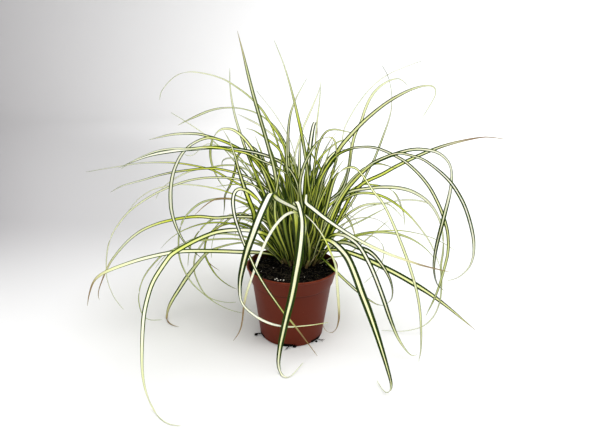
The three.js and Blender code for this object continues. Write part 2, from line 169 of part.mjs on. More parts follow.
    [5.2,-3,80,1.7,1, 5.6,-7.3,91,2.7,-4, 6.1,-8.4,94.8,3,-5, 10.8,-14.1,117.6,4.4,-7, 13.9,-19.1,136.8,4.4,-1, 10.9,-26.8,154.7,4.4,21, -14.4,-48.4,176.7,6.2,25, -19.2,-55.7,184.5,7.7,-2, -21.4,-62.5,184.8,7.7,-39, -28.4,-91.2,172.4,7.4,-48, -30.5,-96.5,167.1,7.3,-48, -33.2,-98.3,159.9,7.2,-49, -39.7,-99.5,141,6.9,-50, -45.5,-99.9,117.6,5.2,-53, -47.5,-94.8,94.2,3,-64, -43.8,-90.6,79.5,2.4,-80, -29,-83.4,62,2.8,-90, -12.3,-78.3,52.4,2.4,-78, 7.2,-75,49.6,1.7,23, 38.9,-72,53.3,0.6,74],
    [4.3,-0.8,80,1.7,0, 3.9,-3.4,91.8,2.7,-1, 4,-6.8,116.4,4.6,-2, 3.2,-13.2,150.3,6.2,2, 2.1,-21.5,164.4,6.9,1, 5.1,-31,168.6,6.5,27, 10,-48.6,153.8,6.2,27, 7.2,-70.7,120.6,7.9,23, 3.9,-78.8,102.6,7.6,23, -3.1,-85.3,67.8,7.3,24, -8.4,-85.1,40.3,6.2,22, -11.5,-84,12.5,4.5,23, -9.2,-86,2.1,3.1,51, -5,-91.6,1.1,1.9,22, 1.4,-90.7,1.4,1,-111, 6.5,-84.9,3.1,0.8,-142, 14.2,-67.1,1.1,0.6,-160],
  ],
  shoot_front_2: [
    [15.7,-0.1,80,1.7,-7, 19.3,-0.6,91.2,2.7,0, 19.3,-2,103.8,3.7,4, 16.6,-6.6,124.8,3.3,9, 13.2,-6.8,140.1,0.6,10],
  ],
  shoot_front_left_1: [
    [6.8,5.8,80,1.7,-33, 6.3,3.9,91,2.7,-26, 3.2,-1.7,115.1,4.4,-18, 1.4,-7.1,150.6,4.9,-5, -1.6,-17.9,181.1,2.8,9, -5.6,-29,206.7,0.6,19],
    [7.1,7.8,80,1.7,-39, 6.9,6.5,91.9,2.7,-35, 4.2,4.3,108,4,-31, 0.3,-0.2,136.6,5.2,-24, -7,-6,158.1,3.1,-19, -15.8,-14.8,178.9,0.6,-13],
    [8.7,6.5,80,1.7,-3, 5.7,4.9,93.1,2.7,-8, 5.4,4,97.3,3,-9, 7.1,-0.9,121.3,4.9,-16, 8,-3.9,141.4,4.6,-19, 5.9,-14.4,181.4,0.6,-27],
  ],
  shoot_front_left_2: [
    [-5.4,7.5,80,1.7,-158, -12.3,6.5,89.7,2.7,-157, -24.6,5.7,104.9,4.3,-156, -40.4,5.1,128.2,5.7,-162, -47.5,-0.6,159.2,5.6,-163, -55.4,-5.1,185.8,5,-164, -62.4,-11.5,217,2.5,-163, -71.8,-14,238.9,0.6,-161],
    [-3.9,8.8,80,1.7,-159, -9.5,7.6,90.5,2.7,-159, -22.8,4.7,114.3,4.9,-153, -32.1,-3.9,124.3,5.1,-139, -44.1,-12.7,130.5,5,-130, -63.6,-26,135.3,5,-125, -80.1,-37.2,136.2,5,-120, -99.4,-50.6,131.2,4.9,-117, -119.8,-66.7,121.3,4.7,-113, -131.8,-84.3,103.2,4.5,-110, -136.9,-97.7,83.9,4.3,-108, -137.4,-113.7,56.2,3.5,-108, -134.1,-129.3,28.4,2.2,-106, -121.9,-143.4,2.8,1.2,-109, -107.7,-156.8,1.1,0.7,68, -92.6,-160.9,1.1,0.6,85],
    [-3.5,6.9,80,1.7,-155, -10.8,5.1,90.3,2.3,-161, -12.5,5,94.4,2.3,-163, -18.6,6,117.5,2.3,-165, -25.4,7.3,135.3,2.3,-163, -38.4,6.6,149.1,2.3,-157, -62.5,-0.1,161.1,2,-154, -77.3,-4.3,164.1,1.7,-151, -88.3,-7.4,161.9,1.3,-151, -106.1,-12.7,147.4,0.6,-152],
  ],
  shoot_front_left_3: [
    [-1.5,1.2,80,1.7,4, -6,0.2,91.8,2.7,3, -11.6,2.7,111.8,4.3,2, -18.8,4.6,132.7,4.9,2, -28.3,4.8,150.6,4.9,-10, -32.6,1.7,156.6,4.9,-37, -46.8,-19.7,176.2,3.8,-139, -53.2,-28.3,181.2,3,-121, -57.6,-34.6,180.8,4.1,-98, -59.7,-42.4,172.7,4.2,-76, -56,-52.9,156.2,3.9,-68, -50.6,-58,142,3.5,-66, -40,-62,116.5,3.1,-67, -28,-62.1,91.2,3.1,-69, -13.4,-61.9,67.2,2.7,-70, 1.6,-57.6,44,2.1,-71, 14.4,-54.8,23.8,1.4,-71, 29.8,-54.8,1.1,0.6,-70],
    [0.2,2.3,80,1.7,10, -3.3,1.3,84,2,7, -4.7,2.1,91.6,2.6,3, -5.2,2.1,95.4,3,3, -12.7,-1.7,117.3,4.9,5, -19.4,-3.9,143.5,4.8,0, -17.4,-5.1,179.2,3.2,-4, -12.4,-0.3,217.8,0.6,-4],
    [-1.5,3.2,80,1.7,5, -6.3,5.1,90.5,2.7,5, -14.7,1.3,109,4.1,6, -25.9,1.7,133.5,4.3,3, -28.6,0.3,157.9,3.6,1, -37.1,4.8,179.9,2.1,2, -46.5,10,201.7,0.6,2],
  ],
  shoot_front_left_4: [
    [10.1,0,80,1.7,0, 10.1,-2.9,91.7,2.7,-1, 10.1,-4.1,103.9,3.1,0, 9.5,-5.6,123.8,3.1,0, 9,-11.2,139.6,3.1,2, 3.3,-22.2,154.5,3,-60, -1.3,-27.4,156.6,3.1,-79, -7.4,-31.7,154.7,3.1,-85, -23.7,-45,136.5,3,-84, -31.6,-53,119.8,2.7,-84, -39.5,-61.1,98.5,2.6,-85, -45.5,-60.5,79.6,2.5,-87, -50,-56.2,56.3,2,-92, -53.8,-52.8,32.7,1.3,-85, -62.8,-50,15,0.6,-74],
    [8.2,-0.2,80,1.3,1, 7.7,-2.6,91.4,1.3,2, 6.7,-3.7,110.9,1.3,2, 5.5,-6.7,143,1.3,10, 6.6,-9.1,150.1,1.3,24, 10.9,-13.6,151.9,1.3,71, 23.4,-26.4,143.9,1.7,83, 32.1,-35.8,134.4,1.8,82, 40.4,-46.1,119.5,2.2,81, 46.1,-50.9,105.6,2.4,83, 49.9,-53.4,70.2,2.9,85, 51.8,-48.8,42.8,2,99, 48.4,-46.2,27.8,0.9,163, 45.7,-46.1,25.4,0.7,107, 39.2,-46,27.1,0.6,-27, 34,-46,37.5,0.6,-72],
    [9,1.7,80,1.7,-1, 9.1,1.2,91.5,2.7,-2, 7.6,6.6,114.8,3,1, 4.5,0.1,149,3.6,2, -2,4.5,174.7,3.6,1, -7.1,2.6,198.4,2.9,1, -7.2,2,238.4,0.6,-1],
  ],
  shoot_front_right_1: [
    [12.2,3.2,80,1.7,0, 12.6,0.5,91.5,2.2,1, 11.5,-0.3,107.8,2.2,3, 11.6,0.4,135.1,2.2,1, 14,2.4,159.5,2.2,2, 14.2,0.2,167,2.2,3, 14.3,-5.8,170.3,2.2,5, 13.9,-15.5,164.9,5.1,11, 19.2,-25.3,162.3,5.8,31, 30.7,-33.7,155.4,5.3,35, 56.7,-44.9,140.7,4.2,36, 77.4,-52.7,131.6,3.4,37, 99.2,-59.3,124.1,2.7,36, 129.3,-66.8,116.5,1.8,35, 156.3,-72,111.9,0.6,35],
    [11,4.8,80,1.7,-5, 13,2.5,92.7,2.7,1, 12.9,2.3,101.5,3.3,3, 9.5,3.9,121.1,4,4, 11.1,4.7,140.8,4,2, 9.5,8.9,156.5,4,3, 7.2,9,172.5,4,1, 8.9,6,191.5,3.9,-4, 22.3,-3,223.8,2.9,1, 34.1,-7.7,232.9,1.7,77, 40.9,-9.7,231.6,1.8,112, 42.9,-10.6,228.5,2,123, 45.1,-14,204.8,0.7,135],
    [13,5,80,1.7,24, 13.4,-0.3,83.9,2,25, 14.7,1.2,91.6,2.7,23, 15.1,1.6,95.3,3,22, 15.5,-2.8,131.2,5.3,8, 21.8,-9.8,166.2,3.8,-5, 29.1,-17.9,201,0.6,-15],
  ],
  shoot_front_right_2: [
    [11.9,9.9,80,1.7,-13, 12.5,8.5,92.1,2.7,-8, 13.2,7.7,104.1,3.7,-3, 15.1,4.5,129.5,5.4,8, 17.7,-5.3,163.9,4.6,27, 20.2,-12,183.1,2.9,36, 24,-20.9,205.5,0.6,46],
    [13.8,10.3,80,1.7,22, 15,9.6,91.9,2.7,22, 18.6,7.6,115.6,3.8,24, 20.3,1.9,131.7,4.1,22, 29.1,-0.6,159.5,4.1,24, 40.2,-7.5,189.7,2.3,24, 54.4,-14.2,213.7,0.6,25],
    [13.2,8.4,80,1.7,42, 13.9,11.5,84.2,2,43, 14.6,7.3,92.6,2.7,39, 18.8,1.8,120.2,4.3,21, 24.2,-5.7,151.8,4.2,8, 28.7,-17.2,177.1,2.2,-8, 34.1,-27.6,193.9,0.6,-19],
  ],
  shoot_front_right_3: [
    [18,8.1,80,1.7,-4, 21.9,7.6,90.4,2.7,-5, 24.7,5.7,97.9,3.3,-4, 30.1,5.5,112.8,4.5,-1, 36,1.5,148.8,4.5,14, 43.3,-5.9,186.8,4.2,46, 51.5,-10.8,199.2,3.7,83, 57.9,-13.6,202.9,3.1,108, 64.8,-16.5,202.5,2.6,125, 81.2,-28.1,183.8,2.4,126, 96.3,-40.2,163.9,2.6,125, 109.2,-50.1,136.7,2.9,125, 119.8,-56.5,111.7,3.1,126, 128.8,-60.5,85.7,2.8,128, 134.3,-62.4,62.5,2.6,131, 138.8,-64.4,23.1,1.5,135, 138,-65,3.3,0.6,140],
    [16.7,9.6,80,1.7,-2, 19.3,8.7,91.5,2.7,1, 23.1,8.7,114.4,3,0, 30.8,10.8,141,3.2,-1, 39.9,11.5,158.6,3.1,-4, 51.8,12.9,168.8,4.5,-4, 57.5,13.7,178.9,5.2,-3, 61.6,14.6,202.4,3.6,-1, 61.3,16,226.1,0.6,0],
    [18.7,9.9,80,1.7,-1, 21.8,8.9,92,2.7,-2, 25,8.4,103.5,3,-1, 29.3,7.9,127.1,3,5, 22.8,8.2,150,3.3,8, 17.5,8.8,173.5,3.2,7, 12.9,9.4,205.5,2.1,7, 8.4,10,233.4,0.6,7],
  ],
  shoot_front_right_4: [
    [18.1,5.4,80,1.7,-2, 19.2,2.9,84.4,2,0, 20.3,3.9,92.8,2.7,4, 24,4.2,108.3,3.9,28, 33,-2,117.5,5.2,109, 47.1,-13.7,117.2,6.8,108, 61.7,-39.8,106.1,7.9,94, 71.4,-68.3,86.1,7.8,91, 80.9,-90.8,65.3,7.4,91, 87.9,-103.4,46.1,6.8,90, 95,-114.1,25.7,5.3,89, 98,-116.8,14.7,3.5,84, 96.6,-115.5,3.7,1.1,30, 92.3,-110.5,2.1,0.6,23, 88.8,-95,1.4,0.6,28],
    [18.6,3.5,80,1.7,-7, 22.9,1,90.8,2.7,-3, 29.5,-4.9,116.8,2.7,-2, 38,-5.9,139.5,2.7,-3, 46.6,-7.9,161.7,2.7,-4, 59.4,-11.7,186.1,2.7,-1, 77,-19.7,206,2.7,105, 104.7,-35,222,2.6,142, 125.2,-46.4,218.5,2.7,136, 140.3,-54.8,208.6,3.2,134, 153.3,-62,195.5,3.7,134, 166.4,-69.3,172,3.6,136, 174.5,-73.7,145.7,3,140, 175.6,-74.4,126,1.8,147, 168.7,-70.5,108.1,0.8,159, 157.5,-64.3,98.9,0.6,167],
    [16.7,4.1,80,1.7,0, 18.5,3.2,91.5,2.7,1, 20.6,3,107.2,3.9,0, 24.8,4.7,123,5.2,1, 21.1,6.4,138.9,5.2,2, 20.5,4.7,147.6,5.2,-4, 27.5,-0.2,182,4.7,-9, 43.8,-7.5,212.9,2.1,-18, 64.5,-12,223.3,0.6,-23],
  ],
  shoot_front_right_5: [
    [24,8,80,1.7,161, 28.3,6.5,91.3,2.7,162, 34.5,5.7,106.5,3.9,159, 42.7,4.5,119.5,4.1,150, 55.8,-1.5,123.5,4.5,135, 71.3,-11.9,117.1,5.2,125, 83,-26.6,102.3,5.3,120, 89.3,-34.8,90.1,5.2,119, 97.9,-44.6,69.8,5.1,119, 107.5,-52.2,44.5,4.8,118, 115.7,-55.6,26.5,4.1,115, 124.3,-55.8,13,2.7,108, 132.3,-55.1,4.4,1.3,93, 138.9,-54,4.8,0.6,80],
    [24.1,6,80,1.7,156, 29.4,4.3,90.3,2.6,143, 32.9,0.2,94.4,2.6,108, 40.7,-17.6,94.4,2.8,83, 47.1,-27.1,91.5,2.9,81, 58.1,-35.6,83.6,3,80, 73.3,-40.6,71.6,3.2,79, 90,-43.4,60.9,2.5,76, 101.5,-44,58.4,0.7,72],
    [22.3,7,80,1.7,160, 27,4.5,90.8,2.7,162, 31,2.8,102,3.6,164, 39.5,2.6,128.9,5.1,165, 48.2,1.3,155.4,5.1,163, 62.8,-3.7,183.1,4.9,158, 85.6,-13,209,4.3,152, 108.9,-22.3,221.1,3.8,149, 126.7,-29.6,225.5,3.5,146, 144.6,-36.8,222.3,2.9,145, 152.8,-40.1,214.5,2.3,146, 155.8,-41.3,207.4,2.2,148, 156.9,-41.8,183.6,3.5,151, 152.6,-40,144.1,4.3,152, 150.5,-39.2,104.3,2.8,147, 155.1,-41,85.2,1.3,139, 163.1,-44.3,77.6,0.6,133],
  ],
  shoot_left_1: [
    [-4.1,12.8,80,1.7,-162, -8.8,12.4,91.2,2.5,-164, -14.7,13.3,114.4,2.5,-166, -24,13.3,149.6,2.5,-163, -36.7,11.3,170,2.5,-158, -53.8,11.3,179.8,2.5,-157, -73.2,9.4,184.2,2.4,-157, -101.1,6.6,183.7,2.3,-158, -120.7,4.6,179.6,2.3,-159, -146.6,2,169.3,2.1,-162, -173.9,-0.7,152.5,1.8,-165, -188.6,-2.1,139.1,1.7,-166, -202.6,-3.4,119.5,1.5,-174, -210.8,-4.1,97,1.2,-22, -214.4,-4.3,65.2,0.8,-23, -209.3,-3.6,41.7,0.6,-29, -199.9,-2.4,24.1,0.6,-31],
    [-4.7,14.7,80,1.7,-160, -10.3,14.5,90.4,2.6,-161, -17.4,15.5,104.5,2.6,-161, -31.5,17.8,128.9,2.6,-160, -57.6,17.5,153.2,2.5,-157, -72.6,16.7,158,2.4,-157, -88.5,15.5,157.6,2.4,-158, -103.8,14.3,153.9,2.3,-160, -116.4,12.3,144.7,2.3,-154, -125.9,9.4,132.5,2.2,-168, -130.9,6.8,113.3,2,-18, -130.2,2.5,89.9,1.8,-11, -123.1,-1.2,71.7,1.6,-12, -111.2,-5.2,56.4,1.3,-12, -88.9,-11.3,40.8,0.9,-10, -70.8,-16.1,34.1,0.6,-8, -55.5,-20,32.3,0.6,-6],
    [-6,13.2,80,1.7,-121, -13,13.4,89.1,2.7,-118, -21.4,12.7,97.6,3.3,-114, -38.2,11.3,108.2,3.6,-107, -60.8,10.1,116,3.8,-99, -84.7,9.2,118.1,4,-91, -108.3,8.5,114.2,3.4,-84, -126.7,8.3,106.4,2.6,-78, -146.1,8.1,92.4,1.6,-71, -161.4,8.2,74,0.6,-64],
  ],
  shoot_left_10: [
    [-6.9,26.3,80,1.3,-162, -12.8,29.2,90.2,1.3,-162, -19.5,32.4,104.6,1.3,-163, -31.2,38.2,137.8,1.3,-163, -44.1,44.3,170.5,1.3,-163, -53.9,48.7,187.2,1.3,-164, -64.2,53.3,198.3,1.3,-167, -77,58.8,205.6,1.3,-173, -101.8,69.4,212,1,-185, -112,73.6,208.7,0.9,-201, -126,80.4,196.6,0.6,-198, -140.1,86,196.1,0.6,-176],
    [-8.9,26,80,1.7,-157, -16.9,29.6,88.1,2,-157, -30.2,36,101.4,2,-158, -45.5,41.5,113,2,-159, -60,44.3,119.3,2,-161, -75.8,43.8,119.6,2,-161, -94,41,112.6,1.9,-138, -104.7,38.6,100.9,1.8,-52, -107.6,37.4,93.6,1.8,-26, -105.5,34,74.3,1.2,-16, -90.2,30.1,62.5,0.6,-14],
    [-8.1,27.9,80,1.7,-159, -15.1,30.8,89.1,2,-159, -32.6,38.5,109.1,2,-160, -50.6,44.4,123.5,2,-161, -73.3,46,129.9,2,-155, -86.9,45.8,123.6,2.1,-171, -105,45.3,102.4,2.2,-14, -120.9,44.4,79.5,2.2,-16, -124.2,43.9,68.1,2,-22, -124,42.3,52.3,1.7,-27, -116.4,38.1,34.5,1.3,-28, -105.9,33.3,23.8,1.1,-25, -83.7,25.4,21.4,0.7,-17, -69.2,20,24.9,0.6,-10],
  ],
  shoot_left_2: [
    [-0.4,13.9,80,1.7,-166, -3.3,13.7,91.6,2.7,-167, -6.9,15.1,110.9,3,-167, -14.1,15.6,142.4,3,-166, -19.8,17,157.6,3,-165, -36,18.6,174.7,3,-162, -57.3,16.6,185.8,2.8,-161, -88.5,15.3,193.1,2.7,-162, -128.4,13.3,189.4,2.4,-164, -159.6,11.5,182,1.9,-166, -186.6,9.8,174.1,1.3,-168, -204.5,8.6,165.1,0.6,-172],
    [-0.5,11.9,80,1.7,-164, -4.7,12,91.3,2.7,-165, -10.4,11.7,115.1,4.5,-166, -19.6,9.1,149.5,4.5,-166, -30.2,13,183.3,4.5,-165, -38.3,17.9,200.7,4.5,-166, -50.9,25.7,219.5,4,-169, -61.8,30.5,230,3.5,-173, -72.2,33.8,234.6,2.9,-178, -86.6,37.5,231.2,2.5,-159, -93.5,40.1,222,2.8,-87, -97,42.5,210.9,3,-63, -96,47.1,187.6,2.3,-63, -90.7,49.7,172.8,1.6,-66, -82,52,159.7,0.6,-69],
    [1.3,12.8,80,1.7,-166, -1.5,12.1,92,2.7,-168, -5.2,12,116.7,4.6,-169, -11.9,16.9,155.8,4.8,-168, -25.2,20.4,180.1,4.1,-167, -41.3,24,207.8,0.6,-167],
  ],
  shoot_left_3: [
    [1.5,8.7,80,1.7,-164, -1.8,7.4,90.9,1.8,-166, -4.8,7.8,102.2,1.8,-166, -8.5,8.4,121.7,1.8,-167, -17.6,13.5,152.4,1.8,-166, -26.1,16.1,183.4,1.8,-166, -34.5,12.7,209.8,1.7,-165, -42.2,8,232,0.6,-165],
    [0.8,6.8,80,1.7,-165, -2.3,6,92.5,2.7,-166, -7.3,4.8,111.7,3.3,-166, -12,6.3,134.8,3.3,-167, -16.9,7.9,158.1,3.3,-166, -30.2,10.2,191.4,3.3,-164, -40.1,9.9,203.9,3.3,-163, -49.6,8.7,211.2,3.3,-161, -74,4.8,224.4,3.1,-161, -89.2,2.5,228.7,2.9,-161, -107.5,-0.5,222.1,2.8,-164, -119,-2.3,211.2,3.2,-167, -128.1,-3.7,193.5,3.8,-171, -132.7,-4.4,174,4.2,-174, -133.6,-4.6,150,4.2,-177, -128.6,-3.8,126.5,3,-181, -119.7,-2.8,108.8,1.8,-185, -103.9,0.1,90.9,0.6,-187],
    [-0.5,8.3,80,1.7,-166, -3.9,7.7,92.3,2.7,-164, -8.5,7.1,102.8,3.6,-162, -22,11.3,131.2,4.8,-162, -31.8,14.6,157.4,4.8,-162, -41.5,14.5,184,3.7,-162, -53,16,214,0.6,-162],
  ],
  shoot_left_4: [
    [2.6,3.4,80,1.7,-8, 3.2,2.3,87.2,2.3,4, 1.3,1.5,90.9,2.7,7, -7.5,1.2,122.2,5.2,6, -13.9,0.1,157.7,5,6, -19.1,-1.5,189,4.8,5, -28.2,-7.1,228.1,4.4,7, -37.9,-9.5,262.6,4,7, -46.6,-12.8,297.4,3.1,7, -54.8,-16,332.4,0.6,7],
    [4.4,2.5,80,1.7,-2, 2.9,0.3,91.9,2.7,-1, 2.1,0,95.9,2.9,0, -2,0.4,119.6,2.9,-1, -2.8,4.5,143.2,2.9,-3, -3.2,8.1,171.1,2.9,-1, -9.3,5.6,202.2,2.9,2, -14.9,1.3,216.8,2.8,8, -19.9,-0.6,222.6,2.8,11, -38.5,-6.5,236.6,2.1,16, -49.2,-10,240.7,0.6,18],
    [4.3,4.5,80,1.7,3, 2.4,2.3,88.5,2.3,-1, 2,2.4,92.6,2.7,-2, -1.2,4,112.4,4.3,-4, -0.2,7.6,140.6,4.8,-5, -2.9,10.1,156.3,4.8,-3, -12.6,5.8,186.7,3,2, -22.5,2.3,199.3,0.6,6],
  ],
  shoot_left_5: [
    [0.7,22.5,80,1.7,-165, -4,24.4,91,2.7,-165, -12.1,26.3,109.4,3.6,-165, -24.2,30,138.8,3.6,-165, -37.6,35.8,167.7,3.6,-164, -49.3,41,193.1,3.6,-164, -61.2,50.9,221.1,3.2,-164, -71.1,60.4,250.2,2.4,-162, -76.2,68.8,276.7,1.4,-160, -77.3,76,299.7,0.6,-158],
    [-0.2,20.7,80,1.7,-174, 0.2,22.1,83.8,2,-173, -3,22.3,91.2,2.7,-170, -9.9,24.3,114.4,3.5,-172, -17.7,27,141.3,3.5,-172, -28.2,30.2,171.4,3.5,-171, -40,33.3,192.2,3.5,-171, -53.8,37.4,205.9,3.5,-174, -78.2,44.7,217.7,3.4,-178, -111.9,55.3,225.3,3.2,-184, -142.4,64.9,223.7,2.7,-192, -179.6,76.8,214.4,0.6,-193],
    [1.8,20.9,80,1.7,-167, -1,22,91.9,1.9,-168, -4.9,22.9,111.7,1.9,-168, -10.4,23.5,139.3,1.9,-167, -21.3,25.3,160.4,1.9,-165, -31.3,28.1,166.6,1.9,-167, -46.2,32.2,170.6,1.7,-171, -65.7,36.6,170.5,1.5,-174, -92.7,43.2,165.5,0.6,-177],
  ],
  shoot_left_6: [
    [-7.6,22,80,1.7,-159, -14.9,24.3,89.1,2.6,-159, -26.8,28.8,104.3,2.6,-159, -47.3,36.6,127,2.6,-160, -61.1,39.6,133.8,2.6,-166, -72.3,40.7,130.7,2.6,-174, -102.7,36.7,106.4,2.4,-147, -107,34.9,95.7,2.4,-36, -107.9,33.2,84,2.3,-26, -104,31.2,73,2.3,-26, -93.1,26,57.3,1.6,-25, -80.7,20.3,49.4,1.1,-22, -66.7,14,45.4,0.6,-19],
    [-5.8,21.1,80,1.7,-160, -12.8,22.9,90.1,2.4,-160, -28.3,27,113.6,2.4,-160, -45.5,31.3,129.2,2.4,-162, -56.7,34,131.9,2.4,-166, -87.4,42.1,128.3,2.3,-171, -101.5,46.6,122.3,2.2,-174, -122.4,53,99.1,2,-48, -131.4,56.2,81.6,1.4,-42, -136.7,58.9,54.2,0.6,-46],
    [-6,23.1,80,1.5,-159, -12.6,25.1,89.2,1.5,-160, -21.3,27.4,101.7,1.5,-159, -39.7,32,122.6,1.5,-160, -52.9,35.7,129.9,1.5,-164, -64.1,39.9,130.3,1.5,-171, -81.3,45.6,123.2,1.3,-171, -94,50.4,109.2,1,-77, -102,55.3,91.9,0.8,-49, -106.3,62,65.4,0.6,-53],
  ],
  shoot_left_7: [
    [-2.6,19.5,80,1.7,-157, -8.1,19.1,87.5,2.3,-162, -8.9,19.8,91.3,2.6,-163, -19.8,23.6,121.2,2.6,-163, -30.1,25.2,138.2,2.6,-162, -43,26.3,157.3,2.6,-161, -54.8,28.1,167.6,2.5,-162, -75.9,31.4,178.4,2.4,-162, -93.6,34.2,187,2.2,-164, -132.4,40.3,193.2,2,-168, -171.8,46.5,192.2,1.6,-172, -214.6,53.2,184.8,1.1,-175, -253.2,59.3,176.7,0.6,-175],
    [-2.4,17.5,80,1.7,-162, -7.6,18,90.5,2.7,-162, -12.9,18.6,100.8,3.6,-162, -22,19.8,122.9,4.7,-164, -30.3,23.3,145.8,4.6,-164, -39.1,27,167.7,4.1,-164, -46.2,31.1,190,2.3,-164, -50.4,33.8,209.2,0.6,-164],
    [-4.2,18.4,80,1.7,-118, -10.7,19,90,2.7,-118, -15.5,19.5,96.4,2.8,-118, -27.3,19.8,107.3,2.9,-117, -55.6,22.4,121.8,3.2,-117, -79.3,24.1,126.4,3.3,-117, -99.4,25.6,125.5,3,-117, -122.6,27.3,118.9,2.2,-117, -143.5,28.8,106.8,1.3,-118, -160.6,30,89.8,0.6,-118],
  ],
  shoot_left_8: [
    [-7.9,15.7,80,1.7,-160, -13.8,16.3,90.6,1.7,-161, -18.7,17.1,101.7,1.7,-162, -28.8,20.2,127.5,1.7,-162, -39.2,22.6,144,1.7,-161, -55.5,24.8,154.9,1.6,-161, -85.1,28.8,165.4,1.5,-163, -104.5,31.6,168.4,1.4,-165, -128.1,35.2,169.4,1.3,-168, -162.6,40.8,162.5,0.9,-177, -186.2,45,148.8,0.7,-189, -204.6,48.6,128.3,0.6,-197],
    [-9.9,15.8,80,1.7,-156, -17.7,16.2,88.8,1.9,-156, -29.2,16.8,99.2,1.9,-154, -43.9,17.1,104.7,1.9,-154, -67.8,17.1,103.6,2.1,-156, -97.9,17.9,93.2,3,-162, -114.4,18.8,75.9,4.3,-171, -128.7,19.9,56.7,5.3,-173, -148,21.8,26.3,4.3,-179, -156.3,22.9,8.2,3.5,-216, -157,20.7,2,3,-181, -155.9,17.5,1.2,2.8,-151, -146.8,4.6,1.1,1.7,14, -136.2,-0.5,1.1,0.8,34],
    [-8.8,17.5,80,1.7,-159, -15.4,19,89.8,2.7,-159, -26.2,23.1,105.9,2.7,-158, -34.5,22.3,114.8,2.7,-154, -61,12.4,130.2,1.9,-145, -83.2,4,128.6,0.6,-140],
  ],
  shoot_left_9: [
    [-7.7,9.3,80,1.7,-160, -12.7,10.2,91,2.7,-163, -16.2,11.6,102.5,3.6,-163, -24.4,13.8,124.9,4.2,-161, -36,14.2,135,4.2,-157, -55.6,13.8,138,4.1,-157, -83.4,12.9,136.2,3.9,-157, -107.3,12.8,137.4,3.8,-157, -142.7,12.6,131.9,3.5,-161, -175.9,13.1,118.6,3.2,-168, -202.8,14.1,95,2.7,-178, -219.8,15.3,72.8,2.2,-184, -230.9,16.5,51.6,1.4,-189, -237,17.4,36.9,0.9,-197, -237.7,18.4,25.2,0.6,-205],
    [-9.2,10.6,80,1.7,-156, -16.8,12.5,88.2,2.7,-154, -19.9,12.8,90.3,3,-154, -38.3,8.9,95.8,4.6,-150, -73.3,2,99.2,4.9,-150, -112.2,-5.6,102.4,4.8,-150, -143.3,-11.6,100.7,4.7,-151, -177.6,-18.3,93,4.2,-152, -210.4,-24.6,80.4,3.2,-159, -220.9,-26.7,69.1,1.9,-171, -229.1,-28.3,42.6,0.6,-181],
    [-9.6,8.7,80,1.7,-156, -17.6,9.5,89,2.2,-156, -29.6,12.1,98.8,2.2,-155, -54.8,9.9,110.1,2.1,-153, -82.4,5.7,113.2,2,-152, -110.1,1.2,111.9,1.9,-153, -121.6,-0.5,108.8,1.8,-155, -149.5,-6.2,94.8,1.7,-160, -165.3,-9.6,76.9,1.5,-160, -172.6,-11.5,62.8,1.4,-125, -176.6,-13.3,43.2,1.2,-30, -173,-14.2,23.8,0.9,-23, -163.5,-13.9,17.5,0.6,-23, -151.6,-13.4,18,0.6,-21],
  ],
  shoot_right_1: [
    [21.5,11.2,80,1.7,162, 25.6,9.7,91,2.7,164, 28,9.6,98.6,3.3,164, 32.9,10.3,118.4,4.1,166, 39.9,11.5,141.5,4.1,164, 47.9,12.3,155.4,4.1,161, 62,11.6,169.2,4.1,158, 80.7,7.7,175.1,4,155, 112.1,2.8,178.1,4,156, 131.4,-0.2,174.1,3.8,158, 148,-3,163.7,3.1,162, 161.8,-5.4,144.4,2.5,162, 168,-6.8,121.4,2.3,145, 168.8,-7.7,89.5,2.3,10, 172.1,-10,54.3,1.7,11, 169.6,-9.7,34.3,1.3,18, 163.1,-8.6,19.7,1.1,24, 151.2,-7.4,9.5,0.9,28, 132.3,-5.3,3.5,0.7,29, 108.5,-2.7,2.5,0.6,28],
    [22.5,12.9,80,1.7,162, 26.7,11.5,91.8,2.7,164, 35,14.4,118,3.5,165, 46.1,15.7,147.6,3.5,161, 63.1,14.5,163.8,3.4,157, 77.7,12.8,168.8,3.2,156, 89.6,11.6,168.5,3.1,156, 104.8,9.9,163.9,2.9,158, 130.6,6.3,145.6,2.1,161, 154,2.4,118.5,1.3,165, 169.9,-1.4,86.5,0.6,170],
    [23.5,11.2,80,1.7,161, 28.4,10.3,90.7,2.7,162, 34,10.5,105.5,4,163, 43.9,9.8,132.2,5.8,163, 52.8,8.4,159.4,5.5,163, 62.2,10,177,4.9,162, 77.9,12.7,195.1,3.6,163, 87.8,14,201.5,2.8,167, 114.7,17.9,196,0.6,177],
  ],
  shoot_right_2: [
    [19.5,14.6,80,1.7,166, 22.2,13.8,91.8,2.7,167, 25.1,13.4,111.5,4,169, 27.6,16.1,138.7,4,169, 29.4,13.6,166.7,4,168, 38.6,8,200.6,4,161, 48.1,5.2,213.4,3.4,156, 62.2,3.5,220,2.9,153, 81.2,-1.3,222.5,3,151, 96.2,-5.4,219.1,3.2,149, 117.2,-11,209.2,3.4,150, 137.5,-16.4,190.9,3.6,151, 154.8,-21.1,164.5,3.7,154, 165.2,-23.9,138.8,3.4,158, 168.1,-24.6,123.1,3.2,161, 168,-24.6,103.2,3,165, 165.5,-23.9,83.4,2.8,166, 161.5,-22.9,59.8,2.2,169, 153.9,-20.8,33,1,170],
    [18.3,16.2,80,1.7,167, 20.3,15.7,91.8,2.7,168, 22.3,17.6,119.8,4.9,172, 17.5,18,140.1,5.2,172, 19.3,16.1,155.5,5.2,165, 34.2,14.1,192,5.1,160, 49.7,8.7,219.5,4.9,159, 71.3,1.2,247.2,4.3,156, 93.8,-6.3,268.4,3.5,154, 116.5,-14.1,282.3,2.4,153, 134.4,-20.4,285.6,1.2,149, 136.9,-21.5,283.5,1.1,147, 137.2,-22.5,276.2,0.9,143, 126.7,-23.2,254.9,0.6,141],
